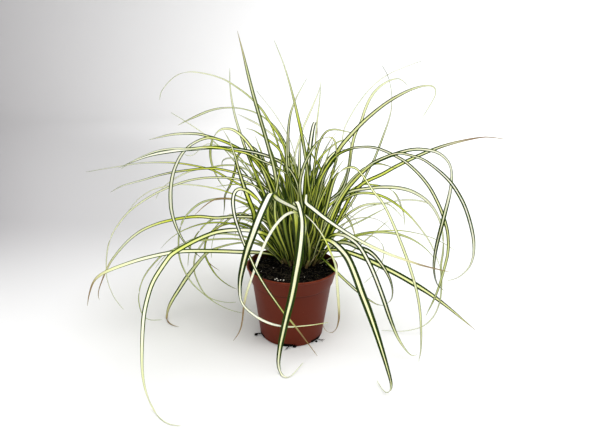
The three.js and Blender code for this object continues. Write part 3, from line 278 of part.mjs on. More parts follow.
    [20.3,16.4,80,1.7,173, 22.4,15.9,91.1,2.7,167, 26.7,16.7,106.6,3.4,166, 32.9,18.3,137.6,3.4,167, 37.9,19.5,165,3.4,167, 46.1,15.1,203.3,2.8,168, 46.1,12.9,218.8,2.1,174, 41.6,10.1,229.6,0.6,179],
  ],
  shoot_right_3: [
    [27.9,11,80,1.7,157, 34.2,10.1,90,2.6,158, 42.5,9,103.3,3.9,153, 50.8,5.9,110.9,4.7,143, 63.6,-2.5,113.8,5.1,129, 83.6,-14.2,109.8,5.8,125, 97.5,-21.9,98.5,5.5,123, 109.5,-24.9,78.5,4.8,129, 112.4,-25.8,59.3,2.9,142, 106.2,-26,49.8,0.6,150],
    [27.1,12.8,80,1.7,170, 26.8,15.3,91.1,2.6,165, 38.9,12.7,98.8,3.9,150, 58.3,9.9,99.8,5.3,147, 81.1,6.6,93.3,6.3,147, 103,3.1,84.3,6.6,148, 121,0.3,76.1,6.6,148, 155.8,-5.2,57.2,6.4,150, 185.2,-9.7,36.9,5.8,152, 216.3,-14.8,12.5,0.6,152],
    [29.1,12.6,80,1.5,153, 39,12.6,85.5,1.5,152, 46.1,13.2,89.5,1.5,153, 67.9,15.5,95.3,1.5,153, 87.8,15.5,114.1,1.5,153, 110.1,15.7,136.3,0.6,153],
  ],
  shoot_right_4: [
    [26.2,17.7,80,1.3,158, 33.3,17.8,89.7,1.3,158, 39.8,18.2,99.5,1.3,159, 55.3,20.8,122.5,1.3,159, 78,24.9,144.3,1.3,159, 92.6,26.8,150.2,1.3,161, 123.8,30.2,156.1,1.6,163, 147.5,32.8,155.5,1.8,160, 158.8,34.1,152,1.9,134, 165,34.8,147.2,1.9,81, 187.3,37.4,114.7,2,31, 190.5,38,87.1,1.5,39, 186.9,38,51.3,0.6,40],
    [24.8,16.3,80,1.7,160, 31,17.4,90.4,2.7,160, 40.4,18.1,108.5,4.3,161, 52.4,19.8,133.7,4.4,161, 65.5,20.9,162.9,4.4,161, 78.6,21.1,177.7,4.5,159, 106.6,21.1,193,4.5,158, 134.4,20.4,208.7,4.2,159, 167.3,19,223.2,3.5,160, 206.1,16.8,232.7,1.2,164, 229.9,15.3,231.1,0.6,167],
    [26.8,15.8,80,1.7,103, 34.2,15.7,89.1,2.7,101, 42.4,16.1,97.4,3.6,98, 58.7,13.9,109.4,3.8,93, 76.8,12.5,118.2,4,89, 100.1,11,124.5,4.2,83, 120.2,9.9,126,3.9,79, 144.2,8.8,123.2,2.8,74, 167.1,7.9,115.6,1.7,69, 188,7.4,103.4,0.6,65],
  ],
  shoot_right_5: [
    [26.5,23.9,80,1.7,163, 31.7,25.7,91.1,1.9,163, 41,27.9,117.1,1.9,164, 53.5,32.5,150.4,1.9,164, 62.9,35.7,162.8,1.9,165, 79.6,40.8,171.9,2,172, 102.1,47.2,169.1,2.2,173, 119.8,51.8,161.6,2.3,92, 133.8,54.2,138,1.6,43, 139.2,53.8,114.7,0.6,45],
    [26.7,21.9,80,1.7,160, 32.7,24,89.8,2.7,161, 38.2,25.1,100.7,2.7,161, 51.1,28.5,125.4,2.7,160, 65.5,32.1,138.5,2.7,161, 79,35.7,146.1,2.7,164, 90.2,38.6,148.6,2.6,168, 113,44.7,147.5,1.6,180, 135.7,50.9,126.5,0.6,196],
    [28.3,23.1,80,1.5,157, 36.2,24.7,88.5,1.5,157, 44.7,26.3,96.2,1.5,156, 58.2,28.8,104.2,1.5,157, 84.8,33.5,111,1.4,159, 99.9,35.8,107.6,1.3,147, 110.1,37,95.8,1.2,62, 111.4,36,80.3,1,37, 103,32.4,62.7,0.7,36, 88.3,27.2,50.2,0.6,35],
  ],
};

// ---------------------------------------------------------------- colours
const POT_COLOUR = 0x6b2a1b, SOIL_COLOUR = 0x17110d, ROOT_COLOUR = 0x15100c;
const LEAF_COLOURS = [0xd9dc9a, 0xc7cc7c, 0xe6e6b8, 0xa9b45c, 0xb8bf74];

// ---------------------------------------------------------------- helpers
const wasm = await Module();
wasm.setup();

function toSolid(geometry) {
  const g = geometry.clone();
  g.deleteAttribute('normal');
  g.deleteAttribute('uv');
  const m = BufferGeometryUtils.mergeVertices(g, 1e-4);
  const solid = new wasm.Manifold(new wasm.Mesh({
    numProp: 3,
    vertProperties: new Float32Array(m.attributes.position.array),
    triVerts: new Uint32Array(m.index.array),
  }));
  return solid;
}

function toGeometry(solid) {
  const mesh = solid.getMesh();
  const g = new THREE.BufferGeometry();
  const n = mesh.vertProperties.length / mesh.numProp;
  const pos = new Float32Array(n * 3);
  for (let i = 0; i < n; i++) for (let k = 0; k < 3; k++) pos[3 * i + k] = mesh.vertProperties[i * mesh.numProp + k];
  g.setAttribute('position', new THREE.BufferAttribute(pos, 3));
  g.setIndex(Array.from(mesh.triVerts));
  g.computeVertexNormals();
  return g;
}

// A turned solid: profile points are (radius, z); it is made upright along +Z.
function lathe(profile, segments = SEGMENTS) {
  const g = new THREE.LatheGeometry(profile.map(([r, z]) => new THREE.Vector2(r, z)), segments);
  g.rotateX(Math.PI / 2);          // lathe's +Y becomes +Z
  let s = toSolid(g);
  if (s.volume() < 0) {
    const idx = g.index.array;
    for (let i = 0; i < idx.length; i += 3) { const t = idx[i]; idx[i] = idx[i + 1]; idx[i + 1] = t; }
    s = toSolid(g);
  }
  return s;
}

const box = (sx, sy, sz, x, y, z, turn = 0) => {
  const g = new THREE.BoxGeometry(sx, sy, sz);
  g.translate(x, y, z);
  g.rotateZ(turn);
  return toSolid(g);
};
const rod = (r, h, x, y, z, n = 20) => {
  const g = new THREE.CylinderGeometry(r, r, h, n);
  g.rotateX(Math.PI / 2);
  g.translate(x, y, z);
  return toSolid(g);
};

const meshOf = (name, geometry, colour, roughness) => {
  const mesh = new THREE.Mesh(geometry, new THREE.MeshStandardMaterial({ color: colour, roughness, metalness: 0, flatShading: true }));
  mesh.name = name;
  return mesh;
};

const model = new THREE.Group();

// ---------------------------------------------------------------- pot
const innerAt = (z) => (z >= BAND_BOTTOM
  ? BAND_BOTTOM_RADIUS - WALL + (BAND_TOP_RADIUS - BAND_BOTTOM_RADIUS) * (z - BAND_BOTTOM) / (POT_HEIGHT - LIP_HEIGHT - BAND_BOTTOM)
  : FOOT_RADIUS - WALL + (BODY_TOP_RADIUS - FOOT_RADIUS) * z / BAND_BOTTOM);
{
  const profile = [
    [0, 0], [CENTRE_WELL_RADIUS, 0], [CENTRE_WELL_RADIUS + 1.8, FLOOR_UNDER],
    [FOOT_RING_INNER, FLOOR_UNDER], [FOOT_RING_INNER + 0.4, 0], [FOOT_RADIUS - 0.6, 0], [FOOT_RADIUS, 0.9],
    [BODY_TOP_RADIUS, BAND_BOTTOM - 0.5], [BAND_BOTTOM_RADIUS, BAND_BOTTOM],
    [BAND_TOP_RADIUS, POT_HEIGHT - LIP_HEIGHT], [RIM_RADIUS, POT_HEIGHT - LIP_HEIGHT + 0.5],
    [RIM_RADIUS, POT_HEIGHT - 0.5], [RIM_RADIUS - 0.6, POT_HEIGHT],
    [innerAt(POT_HEIGHT), POT_HEIGHT],
    [innerAt(BAND_BOTTOM), BAND_BOTTOM], [innerAt(BAND_BOTTOM - 1), BAND_BOTTOM - 1],
    [innerAt(FLOOR_TOP + 1.5), FLOOR_TOP + 1.5], [innerAt(FLOOR_TOP) - 1.6, FLOOR_TOP],
    [CENTRE_WELL_RADIUS + 0.6, FLOOR_TOP], [CENTRE_WELL_RADIUS - 1.2, WELL_TOP], [0, WELL_TOP],
  ];
  let pot = lathe(profile);
  for (let i = 0; i < SLOT_COUNT; i++) {
    const a = THREE.MathUtils.degToRad(SLOT_FIRST_DEG + i * 360 / SLOT_COUNT);
    // slot through the foot ring, and a drain hole between this slot and the next
    pot = pot.subtract(box(18, SLOT_WIDTH, SLOT_HEIGHT * 2, FOOT_RADIUS - 1, 0, 0, a));
    const h = a + Math.PI / SLOT_COUNT;
    pot = pot.subtract(rod(HOLE_RADIUS, 8, HOLE_CIRCLE * Math.cos(h), HOLE_CIRCLE * Math.sin(h), FLOOR_TOP - 1, 12));
  }
  model.add(meshOf('nursery_pot', toGeometry(pot), POT_COLOUR, 0.45));
}

// ---------------------------------------------------------------- compost
{
  const body = lathe([
    [0, WELL_TOP + GAP], [CENTRE_WELL_RADIUS - 1.6, WELL_TOP + GAP], [CENTRE_WELL_RADIUS + 0.3, FLOOR_TOP + GAP],
    [innerAt(FLOOR_TOP) - 2.4, FLOOR_TOP + GAP], [innerAt(FLOOR_TOP + 2.2) - 2 * GAP, FLOOR_TOP + 2.2],
    [innerAt(BAND_BOTTOM - 1) - 2 * GAP, BAND_BOTTOM - 1], [innerAt(BAND_BOTTOM) - 2 * GAP, BAND_BOTTOM + GAP],
    [innerAt(SOIL_TOP - 0.8) - 2 * GAP, SOIL_TOP - 0.8], [innerAt(SOIL_TOP) - 2 * GAP - 1, SOIL_TOP], [0, SOIL_TOP],
  ]);
  const space = lathe([[0, SOIL_TOP - 6], [innerAt(SOIL_TOP - 4) - 0.8, SOIL_TOP - 6], [innerAt(SOIL_TOP - 4) - 0.8, SOIL_TOP + 12], [0, SOIL_TOP + 12]]);
  const dome = [];
  for (let i = 0; i <= 4; i++) {
    const r = MOUND_RADIUS * i / 4;
    dome.push([r, SOIL_TOP + MOUND_HEIGHT * (1 - (r / MOUND_RADIUS) ** 2)]);
  }
  dome[4][1] = SOIL_TOP - 0.8;
  dome.push([MOUND_RADIUS, SOIL_TOP - 3], [0, SOIL_TOP - 3]);
  const mound = lathe(dome, 28).translate(CROWN_X, CROWN_Y, 0);
  const soil = body.add(mound.intersect(space)).subtract(rod(PIT_RADIUS, 20, CROWN_X, CROWN_Y, PIT_FLOOR + 10, 28));
  model.add(meshOf('compost', toGeometry(soil), SOIL_COLOUR, 0.95));
}

// ---------------------------------------------------------------- shoots
const unit = (v) => v.clone().normalize();

function tangentsOf(p) {
  return p.map((q, i) => {
    const a = i > 0 ? unit(q.clone().sub(p[i - 1])) : null;
    const b = i < p.length - 1 ? unit(p[i + 1].clone().sub(q)) : null;
    return unit((a ?? b).clone().add(b ?? a));
  });
}

// Frame carried along the midrib without spin (double reflection).
function framesOf(p, t) {
  const n = [unit(new THREE.Vector3(0, 1, 0).addScaledVector(t[0], -t[0].y))];
  for (let i = 0; i < p.length - 1; i++) {
    const v = p[i + 1].clone().sub(p[i]); const c = v.dot(v);
    const rl = n[i].clone().addScaledVector(v, -2 * v.dot(n[i]) / c);
    const tl = t[i].clone().addScaledVector(v, -2 * v.dot(t[i]) / c);
    const w = t[i + 1].clone().sub(tl); const c2 = w.dot(w);
    if (c2 > 1e-12) rl.addScaledVector(w, -2 * w.dot(rl) / c2);
    n.push(unit(rl));
  }
  return n;
}

// A blade: flat upper face, keel under the midrib.
function bladeGeometry(stations) {
  const p = [], width = [], turn = [];
  for (let i = 0; i < stations.length; i += 5) {
    p.push(new THREE.Vector3(stations[i], stations[i + 1], stations[i + 2]));
    width.push(stations[i + 3]);
    turn.push(THREE.MathUtils.degToRad(stations[i + 4]));
  }
  const t = tangentsOf(p), f = framesOf(p, t), pos = [], idx = [], last = 3 * (p.length - 1);
  p.forEach((q, i) => {
    const b = t[i].clone().cross(f[i]);
    const face = f[i].clone().multiplyScalar(Math.cos(turn[i])).addScaledVector(b, Math.sin(turn[i]));
    const side = t[i].clone().cross(face);
    const h = Math.min(BLADE_THICKNESS, width[i] * 0.45);
    for (const [s, up] of [[-0.5, 0.35], [0.5, 0.35], [0, -0.65]]) {
      const v = q.clone().addScaledVector(side, s * width[i]).addScaledVector(face, up * h);
      pos.push(v.x, v.y, v.z);
    }
    if (i < p.length - 1) {
      const a = 3 * i, c = a + 3;
      for (const [j, k] of [[0, 1], [1, 2], [2, 0]]) idx.push(a + j, a + k, c + k, a + j, c + k, c + j);
    }
  });
  idx.push(0, 2, 1, last, last + 1, last + 2);
  const g = new THREE.BufferGeometry();
  g.setAttribute('position', new THREE.BufferAttribute(new Float32Array(pos), 3));
  g.setIndex(idx);
  return { geometry: g, foot: p[0] };
}

function bladeSolid(geometry) {
  let s = toSolid(geometry);
  if (s.volume() < 0) {
    const idx = geometry.index.array;
    for (let i = 0; i < idx.length; i += 3) { const t = idx[i]; idx[i] = idx[i + 1]; idx[i + 1] = t; }
    s = toSolid(geometry);
  }
  return s;
}

Object.entries(SHOOTS).forEach(([name, blades], n) => {
  const parts = blades.map(bladeGeometry);
  const foot = new THREE.Vector3();
  parts.forEach((b) => foot.add(b.foot));
  foot.multiplyScalar(1 / parts.length);
  // sheath: a short tapered stub that the blades grow out of
  const g = new THREE.CylinderGeometry(SHEATH_R1, SHEATH_R0, SHEATH_HEIGHT, 4);
  g.rotateX(Math.PI / 2);
  g.translate(foot.x, foot.y, SHEATH_FOOT + SHEATH_HEIGHT / 2);
  let shoot = toSolid(g);
  for (const b of parts) shoot = shoot.add(bladeSolid(b.geometry));
  const pieces = shoot.decompose().sort((a, b) => b.volume() - a.volume());
  model.add(meshOf(name, toGeometry(pieces[0]), LEAF_COLOURS[n % LEAF_COLOURS.length], 0.5));
});

// ---------------------------------------------------------------- roots that have grown through the drain holes
// They leave a drain hole, run under the floor and come out through a slot in the foot ring.
const ROOTS = {
  drain_root_left: [[-22.7, 3.4, 5.4], [-23.8, 1.5, 3.0], [-28.0, -6.0, 2.2], [-32.0, -11.5, 2.2], [-36.5, -13.9, 2.5], [-41.2, -14.6, 2.1], [-43.4, -16.2, 1.2]],
  drain_root_front: [[8.4, -21.4, 5.4], [7.6, -23.0, 3.0], [3.5, -28.0, 2.2], [-1.0, -33.5, 2.2], [-1.8, -38.5, 2.6], [-3.4, -42.0, 1.9], [-6.6, -44.0, 1.1]],
  drain_root_right: [[22.7, -3.4, 5.4], [23.6, -5.0, 3.0], [26.0, -13.0, 2.2], [28.3, -21.0, 2.2], [31.5, -24.2, 2.6], [34.8, -24.3, 2.0], [38.0, -22.6, 1.1]],
};
for (const [name, path] of Object.entries(ROOTS)) {
  const curve = new THREE.CatmullRomCurve3(path.map((q) => new THREE.Vector3(...q)));
  const section = new THREE.Shape();
  for (let i = 0; i < 6; i++) section[i ? 'lineTo' : 'moveTo'](0.7 * Math.cos(i * Math.PI / 3), 0.7 * Math.sin(i * Math.PI / 3));
  section.closePath();
  const g = new THREE.ExtrudeGeometry(section, { steps: 12, extrudePath: curve, bevelEnabled: false });
  model.add(meshOf(name, toGeometry(bladeSolid(BufferGeometryUtils.mergeVertices((() => { g.deleteAttribute('normal'); g.deleteAttribute('uv'); return g; })(), 1e-4))), ROOT_COLOUR, 0.9));
}

export default model;
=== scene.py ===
"""Looks of a variegated sedge in its nursery pot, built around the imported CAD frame."""
import math
import bpy
import numpy as np
from mathutils import Matrix, Vector


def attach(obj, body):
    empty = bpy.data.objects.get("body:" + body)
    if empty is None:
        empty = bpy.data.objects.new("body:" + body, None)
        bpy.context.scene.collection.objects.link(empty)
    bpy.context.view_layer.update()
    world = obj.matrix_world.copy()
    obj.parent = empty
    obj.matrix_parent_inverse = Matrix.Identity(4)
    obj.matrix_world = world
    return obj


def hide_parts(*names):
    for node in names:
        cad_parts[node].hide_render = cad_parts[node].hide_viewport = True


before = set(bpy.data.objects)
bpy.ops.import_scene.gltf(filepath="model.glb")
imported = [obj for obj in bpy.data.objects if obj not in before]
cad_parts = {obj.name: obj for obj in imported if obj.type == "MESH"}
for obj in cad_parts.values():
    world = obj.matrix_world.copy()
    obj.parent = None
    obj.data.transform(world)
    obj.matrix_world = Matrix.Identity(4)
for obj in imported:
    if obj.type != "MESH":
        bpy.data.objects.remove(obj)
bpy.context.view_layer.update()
MM = 0.001
scene = bpy.context.scene

# ------------------------------------------------------------------ camera
# Pinhole fitted to the pot's rim and foot: eye point in metres, pitch down and roll in degrees.
EYE, PITCH, ROLL = (0.008, -0.479, 0.295), 18.1, 1.05
_p, _r = math.radians(PITCH), math.radians(ROLL)
_fw = Vector((0, math.cos(_p), -math.sin(_p)))
_x, _u = Vector((1, 0, 0)), Vector((0, math.sin(_p), math.cos(_p)))
_right = math.cos(_r) * _x + math.sin(_r) * _u
_up = -math.sin(_r) * _x + math.cos(_r) * _u
cam_data = bpy.data.cameras.new("camera")
cam_data.sensor_fit = "HORIZONTAL"
cam_data.sensor_width, cam_data.lens = 36.0, 27.06
cam_data.clip_start, cam_data.clip_end = 0.01, 60
camera = bpy.data.objects.new("camera", cam_data)
scene.collection.objects.link(camera)
camera.matrix_world = Matrix((
    (_right.x, _up.x, -_fw.x, EYE[0]), (_right.y, _up.y, -_fw.y, EYE[1]),
    (_right.z, _up.z, -_fw.z, EYE[2]), (0, 0, 0, 1)))
scene.camera = camera


# ------------------------------------------------------------------ small helpers
def lin(r, g, b):
    """8-bit sRGB to linear RGBA."""
    f = lambda c: c / 12.92 if c <= 0.04045 else ((c + 0.055) / 1.055) ** 2.4
    return (f(r / 255), f(g / 255), f(b / 255), 1.0)


def new_mesh(name, verts, faces, mats=(), smooth=True, unit=MM):
    me = bpy.data.meshes.new(name)
    me.from_pydata([tuple(v) for v in np.asarray(verts, float) * unit], [], [tuple(int(i) for i in f) for f in faces])
    for m in mats:
        me.materials.append(m)
    me.polygons.foreach_set("use_smooth", [smooth] * len(me.polygons))
    me.update()
    ob = bpy.data.objects.new(name, me)
    scene.collection.objects.link(ob)
    return ob


def add_uv(me, name, per_loop):
    layer = me.uv_layers.new(name=name)
    layer.data.foreach_set("uv", np.asarray(per_loop, np.float32).ravel())
    return layer


def hash01(ix, iy, iz, seed):
    h = (ix.astype(np.int64) * 374761393 + iy.astype(np.int64) * 668265263
         + iz.astype(np.int64) * 2147483647 + seed * 144665) & 0xFFFFFFFF
    h = ((h ^ (h >> 13)) * 1274126177) & 0xFFFFFFFF
    h = ((h ^ (h >> 16)) * 2246822519) & 0xFFFFFFFF
    return ((h ^ (h >> 15)) & 0xFFFFFF) / float(0xFFFFFF)


def vnoise(x, y, z, seed=0):
    """Smooth value noise from 0 to 1."""
    xi, yi, zi = np.floor(x), np.floor(y), np.floor(z)
    fx, fy, fz = x - xi, y - yi, z - zi
    fx, fy, fz = (f * f * (3 - 2 * f) for f in (fx, fy, fz))
    out = 0
    for dx in (0, 1):
        for dy in (0, 1):
            for dz in (0, 1):
                w = (fx if dx else 1 - fx) * (fy if dy else 1 - fy) * (fz if dz else 1 - fz)
                out = out + w * hash01(xi + dx, yi + dy, zi + dz, seed)
    return out


class Tree:
    """A short way to write a node tree."""

    def __init__(self, name):
        self.mat = bpy.data.materials.new(name)
        self.mat.use_nodes = True
        self.nt = self.mat.node_tree
        self.nt.nodes.clear()
        self.out = self.nt.nodes.new("ShaderNodeOutputMaterial")
        self.bsdf = self.nt.nodes.new("ShaderNodeBsdfPrincipled")
        self.nt.links.new(self.bsdf.outputs[0], self.out.inputs["Surface"])

    def node(self, kind, **props):
        n = self.nt.nodes.new(kind)
        for k, v in props.items():
            setattr(n, k, v)
        return n

    def put(self, socket, value):
        if isinstance(value, bpy.types.NodeSocket):
            self.nt.links.new(value, socket)
        else:
            socket.default_value = value

    def math(self, op, a, b=0.0, c=0.0, clamp=False):
        n = self.node("ShaderNodeMath", operation=op, use_clamp=clamp)
        for s, v in zip(n.inputs, (a, b, c)):
            self.put(s, v)
        return n.outputs[0]

    def vec(self, x, y, z):
        n = self.node("ShaderNodeCombineXYZ")
        for s, v in zip(n.inputs, (x, y, z)):
            self.put(s, v)
        return n.outputs[0]

    def split(self, v):
        n = self.node("ShaderNodeSeparateXYZ")
        self.put(n.inputs[0], v)
        return n.outputs[0], n.outputs[1], n.outputs[2]

    def attr(self, name):
        return self.node("ShaderNodeAttribute", attribute_name=name).outputs["Vector"]

    def uv(self, name):
        return self.node("ShaderNodeUVMap", uv_map=name).outputs[0]

    def coords(self):
        return self.node("ShaderNodeTexCoord").outputs["Object"]

    def scaled(self, v, x, y, z):
        n = self.node("ShaderNodeVectorMath", operation="MULTIPLY")
        self.put(n.inputs[0], v)
        n.inputs[1].default_value = (x, y, z)
        return n.outputs[0]

    def noise(self, v, scale=1.0, detail=2.0, rough=0.5, distort=0.0):
        n = self.node("ShaderNodeTexNoise")
        self.put(n.inputs["Vector"], v)
        n.inputs["Scale"].default_value = scale
        n.inputs["Detail"].default_value = detail
        n.inputs["Roughness"].default_value = rough
        n.inputs["Distortion"].default_value = distort
        return n.outputs["Fac"]

    def voronoi(self, v, scale=1.0, feature="F1", out="Distance"):
        n = self.node("ShaderNodeTexVoronoi", feature=feature)
        self.put(n.inputs["Vector"], v)
        n.inputs["Scale"].default_value = scale
        return n.outputs[out]

    def step(self, x, lo, hi, a=0.0, b=1.0):
        """Smoothstep of x from lo to hi, giving a to b."""
        n = self.node("ShaderNodeMapRange", interpolation_type="SMOOTHSTEP")
        for s, v in zip(n.inputs, (x, lo, hi, a, b)):
            self.put(s, v)
        return n.outputs[0]

    def mix(self, fac, a, b, blend="MIX"):
        n = self.node("ShaderNodeMix", data_type="RGBA", blend_type=blend)
        self.put(n.inputs[0], fac)
        self.put(n.inputs[6], a)
        self.put(n.inputs[7], b)
        return n.outputs[2]

    def bump(self, height, strength=0.3, distance=0.0002, normal=None):
        n = self.node("ShaderNodeBump")
        n.inputs["Strength"].default_value = strength
        n.inputs["Distance"].default_value = distance
        self.put(n.inputs["Height"], height)
        if normal is not None:
            self.put(n.inputs["Normal"], normal)
        return n.outputs[0]

    def finish(self, colour, rough, normal=None, specular=0.5, subsurface=None):
        self.put(self.bsdf.inputs["Base Color"], colour)
        self.put(self.bsdf.inputs["Roughness"], rough)
        self.bsdf.inputs["Specular IOR Level"].default_value = specular
        if normal is not None:
            self.put(self.bsdf.inputs["Normal"], normal)
        if subsurface:
            weight, radius, scale = subsurface
            self.bsdf.inputs["Subsurface Weight"].default_value = weight
            self.bsdf.inputs["Subsurface Radius"].default_value = radius
            self.bsdf.inputs["Subsurface Scale"].default_value = scale
        return self.mat


# ------------------------------------------------------------------ materials
def leaf_material():
    """Striped sedge leaf. UV map "leaf": x across the blade, y along it in decimetres.
    lfA: width of the green margin, tone (0 cream, 1 golden, 2 dark olive), dullness. lfB: darkness of the green,
    where the tip goes brown, the leaf's own number. lfC: place along the blade 0..1, underside 1, and how much the
    tint and painted shade of the clump's heart reach it."""
    t = Tree("leaf_blade")
    u, v, _ = t.split(t.uv("leaf"))
    margin, tone, dull = t.split(t.attr("lfA"))
    dark, tip, seed = t.split(t.attr("lfB"))
    along, under, heart_tint_and_shade = t.split(t.attr("lfC"))
    off = t.math("SUBTRACT", u, 0.5)
    a = t.math("MULTIPLY", t.math("ABSOLUTE", off), 2.0)           # 0 midrib, 1 edge
    s17 = t.math("MULTIPLY", seed, 17.3)
    # streaks that run along the blade
    fine = t.noise(t.vec(t.math("MULTIPLY", u, 26.0), t.math("MULTIPLY", v, 1.6), s17), 1.0, 1.0, 0.5)
    broad = t.noise(t.vec(t.math("MULTIPLY", u, 8.0), t.math("MULTIPLY", v, 0.9), t.math("ADD", s17, 5.0)), 1.0, 2.0, 0.5)
    edge = t.noise(t.vec(t.math("MULTIPLY", off, 3.0), t.math("MULTIPLY", v, 3.0), t.math("ADD", s17, 9.0)), 1.0, 2.0, 0.5)
    # place in the clump for the painted shade: 1 deep between the shoots, 0 out in the open
    x, y, z = t.split(t.coords())
    dx, dy, dz = (t.math("SUBTRACT", s, c) for s, c in ((x, 0.009), (y, 0.018), (z, 0.078)))
    reach = t.math("ADD", t.math("MULTIPLY", dx, dx), t.math("MULTIPLY", dy, dy))
    reach = t.math("SQRT", t.math("ADD", reach, t.math("MULTIPLY", t.math("MULTIPLY", dz, dz), 0.55)))
    near = t.math("MULTIPLY", t.step(reach, 0.120, 0.030), heart_tint_and_shade)
    deep_shade = t.step(reach, 0.062, 0.016)
    # green margin: its inner line wanders a little and frays into streaks
    line = t.math("SUBTRACT", 1.0, margin)
    line = t.math("SUBTRACT", line, t.step(along, 0.86, 1.0, 0.0, 0.20))
    aj = t.math("ADD", a, t.math("MULTIPLY", t.math("SUBTRACT", broad, 0.5), 0.16))
    aj = t.math("ADD", aj, t.math("MULTIPLY", t.math("SUBTRACT", edge, 0.5), 0.12))
    green = t.step(t.math("SUBTRACT", aj, line), -0.05, 0.05)
    # a few thin green lines in the pale part, and thin pale lines in the green
    lines = t.math("MULTIPLY", t.step(fine, 0.62, 0.72), t.step(a, 0.02, 0.45, 0.10, 0.55))
    pale_lines = t.math("MULTIPLY", t.step(fine, 0.30, 0.22), t.step(dull, 0.0, 0.6, 0.07, 0.22))
    green = t.math("MAXIMUM", green, lines)
    green = t.math("MULTIPLY", green, t.math("SUBTRACT", 1.0, pale_lines))
    # pale centre: cream in the open, golden and olive down in the clump, partly the leaves' own colour and partly
    # painted shade of the heart
    cream, gold = lin(*CREAM), lin(*GOLD)
    tone2 = t.math("ADD", tone, t.math("MULTIPLY", near, 0.60))
    tone2 = t.math("ADD", tone2, t.math("MULTIPLY", t.math("SUBTRACT", broad, 0.5), 0.26))
    pale = t.mix(t.math("ADD", tone2, 0.0, clamp=True), cream, gold)
    pale = t.mix(t.math("SUBTRACT", tone2, 1.0, clamp=True), pale, lin(*OLIVE))
    pale = t.mix(t.math("MULTIPLY", dull, 0.85), pale, lin(*DULL))
    # green margin: near-black bottle green to mid green
    deep, mid = lin(*DEEP), lin(*MID)
    g = t.mix(t.math("ADD", t.math("MULTIPLY", dull, 0.60), t.math("MULTIPLY", broad, 0.16)), deep, mid)
    g = t.mix(dark, lin(*LIGHT_GREEN), g)
    col = t.mix(green, pale, g)
    # midrib: a soft shade line
    rib = t.math("MULTIPLY", t.step(a, 0.10, 0.0), 0.10)
    col = t.mix(rib, col, lin(168, 178, 90))
    # underside: paler green, stripes less strong
    col = t.mix(t.math("MULTIPLY", under, 0.16), col, lin(150, 162, 92))
    # brown tip, with a ragged front, and small rusty flecks
    front = t.math("ADD", along, t.math("MULTIPLY", t.math("SUBTRACT", broad, 0.5), 0.05))
    dry = t.step(t.math("SUBTRACT", front, tip), -0.02, 0.05)
    straw = t.step(t.math("SUBTRACT", front, tip), -0.10, 0.01)
    col = t.mix(t.math("MULTIPLY", straw, 0.50), col, lin(204, 190, 138))
    brown = t.mix(fine, lin(*BROWN_A), lin(*BROWN_B))
    col = t.mix(t.math("MULTIPLY", dry, 0.85), col, brown)
    fleck = t.noise(t.vec(t.math("MULTIPLY", u, 3.0), t.math("MULTIPLY", v, 22.0), t.math("ADD", s17, 31.0)), 1.0, 3.0, 0.6)
    col = t.mix(t.math("MULTIPLY", t.step(fleck, 0.72, 0.78), 0.30), col, lin(128, 100, 50))
    # painted shade deep in the clump, where the leaf feet crowd
    shade = t.math("SUBTRACT", 1.0, t.math("ADD", t.math("MULTIPLY", near, 0.02), t.math("MULTIPLY", deep_shade, 0.50)))
    col = t.mix(1.0, col, t.vec(shade, shade, shade), "MULTIPLY")
    height = t.math("ADD", t.math("MULTIPLY", fine, 0.7), t.math("MULTIPLY", broad, 0.3))
    rough = t.step(fine, 0.2, 0.8, 0.42, 0.58)
    return t.finish(col, rough, t.bump(height, 0.30, 0.00012), specular=0.12, subsurface=SUBSURFACE)


CREAM, GOLD, OLIVE, DULL = (255, 255, 236), (234, 242, 92), (118, 138, 34), (164, 172, 112)
DEEP, MID, LIGHT_GREEN = (24, 42, 0), (74, 100, 10), (84, 112, 12)
BROWN_A, BROWN_B = (104, 76, 50), (152, 120, 86)
SUBSURFACE = (0.25, (0.5, 0.6, 0.15), 0.0012)


def sheath_material():
    t = Tree("leaf_sheath")
    x, y, z = t.split(t.coords())
    streak = t.noise(t.vec(t.math("MULTIPLY", x, 900.0), t.math("MULTIPLY", y, 900.0), t.math("MULTIPLY", z, 45.0)), 1.0, 3.0, 0.55)
    blot = t.noise(t.coords(), 160.0, 3.0, 0.6)
    up = t.step(z, 0.082, 0.097)
    col = t.mix(streak, lin(44, 33, 20), lin(128, 104, 62))
    col = t.mix(up, col, t.mix(streak, lin(70, 84, 26), lin(170, 164, 84)))
    col = t.mix(t.step(blot, 0.55, 0.7, 0.0, 0.6), col, lin(52, 34, 20))
    return t.finish(col, 0.6, t.bump(streak, 0.5, 0.0002), specular=0.3)


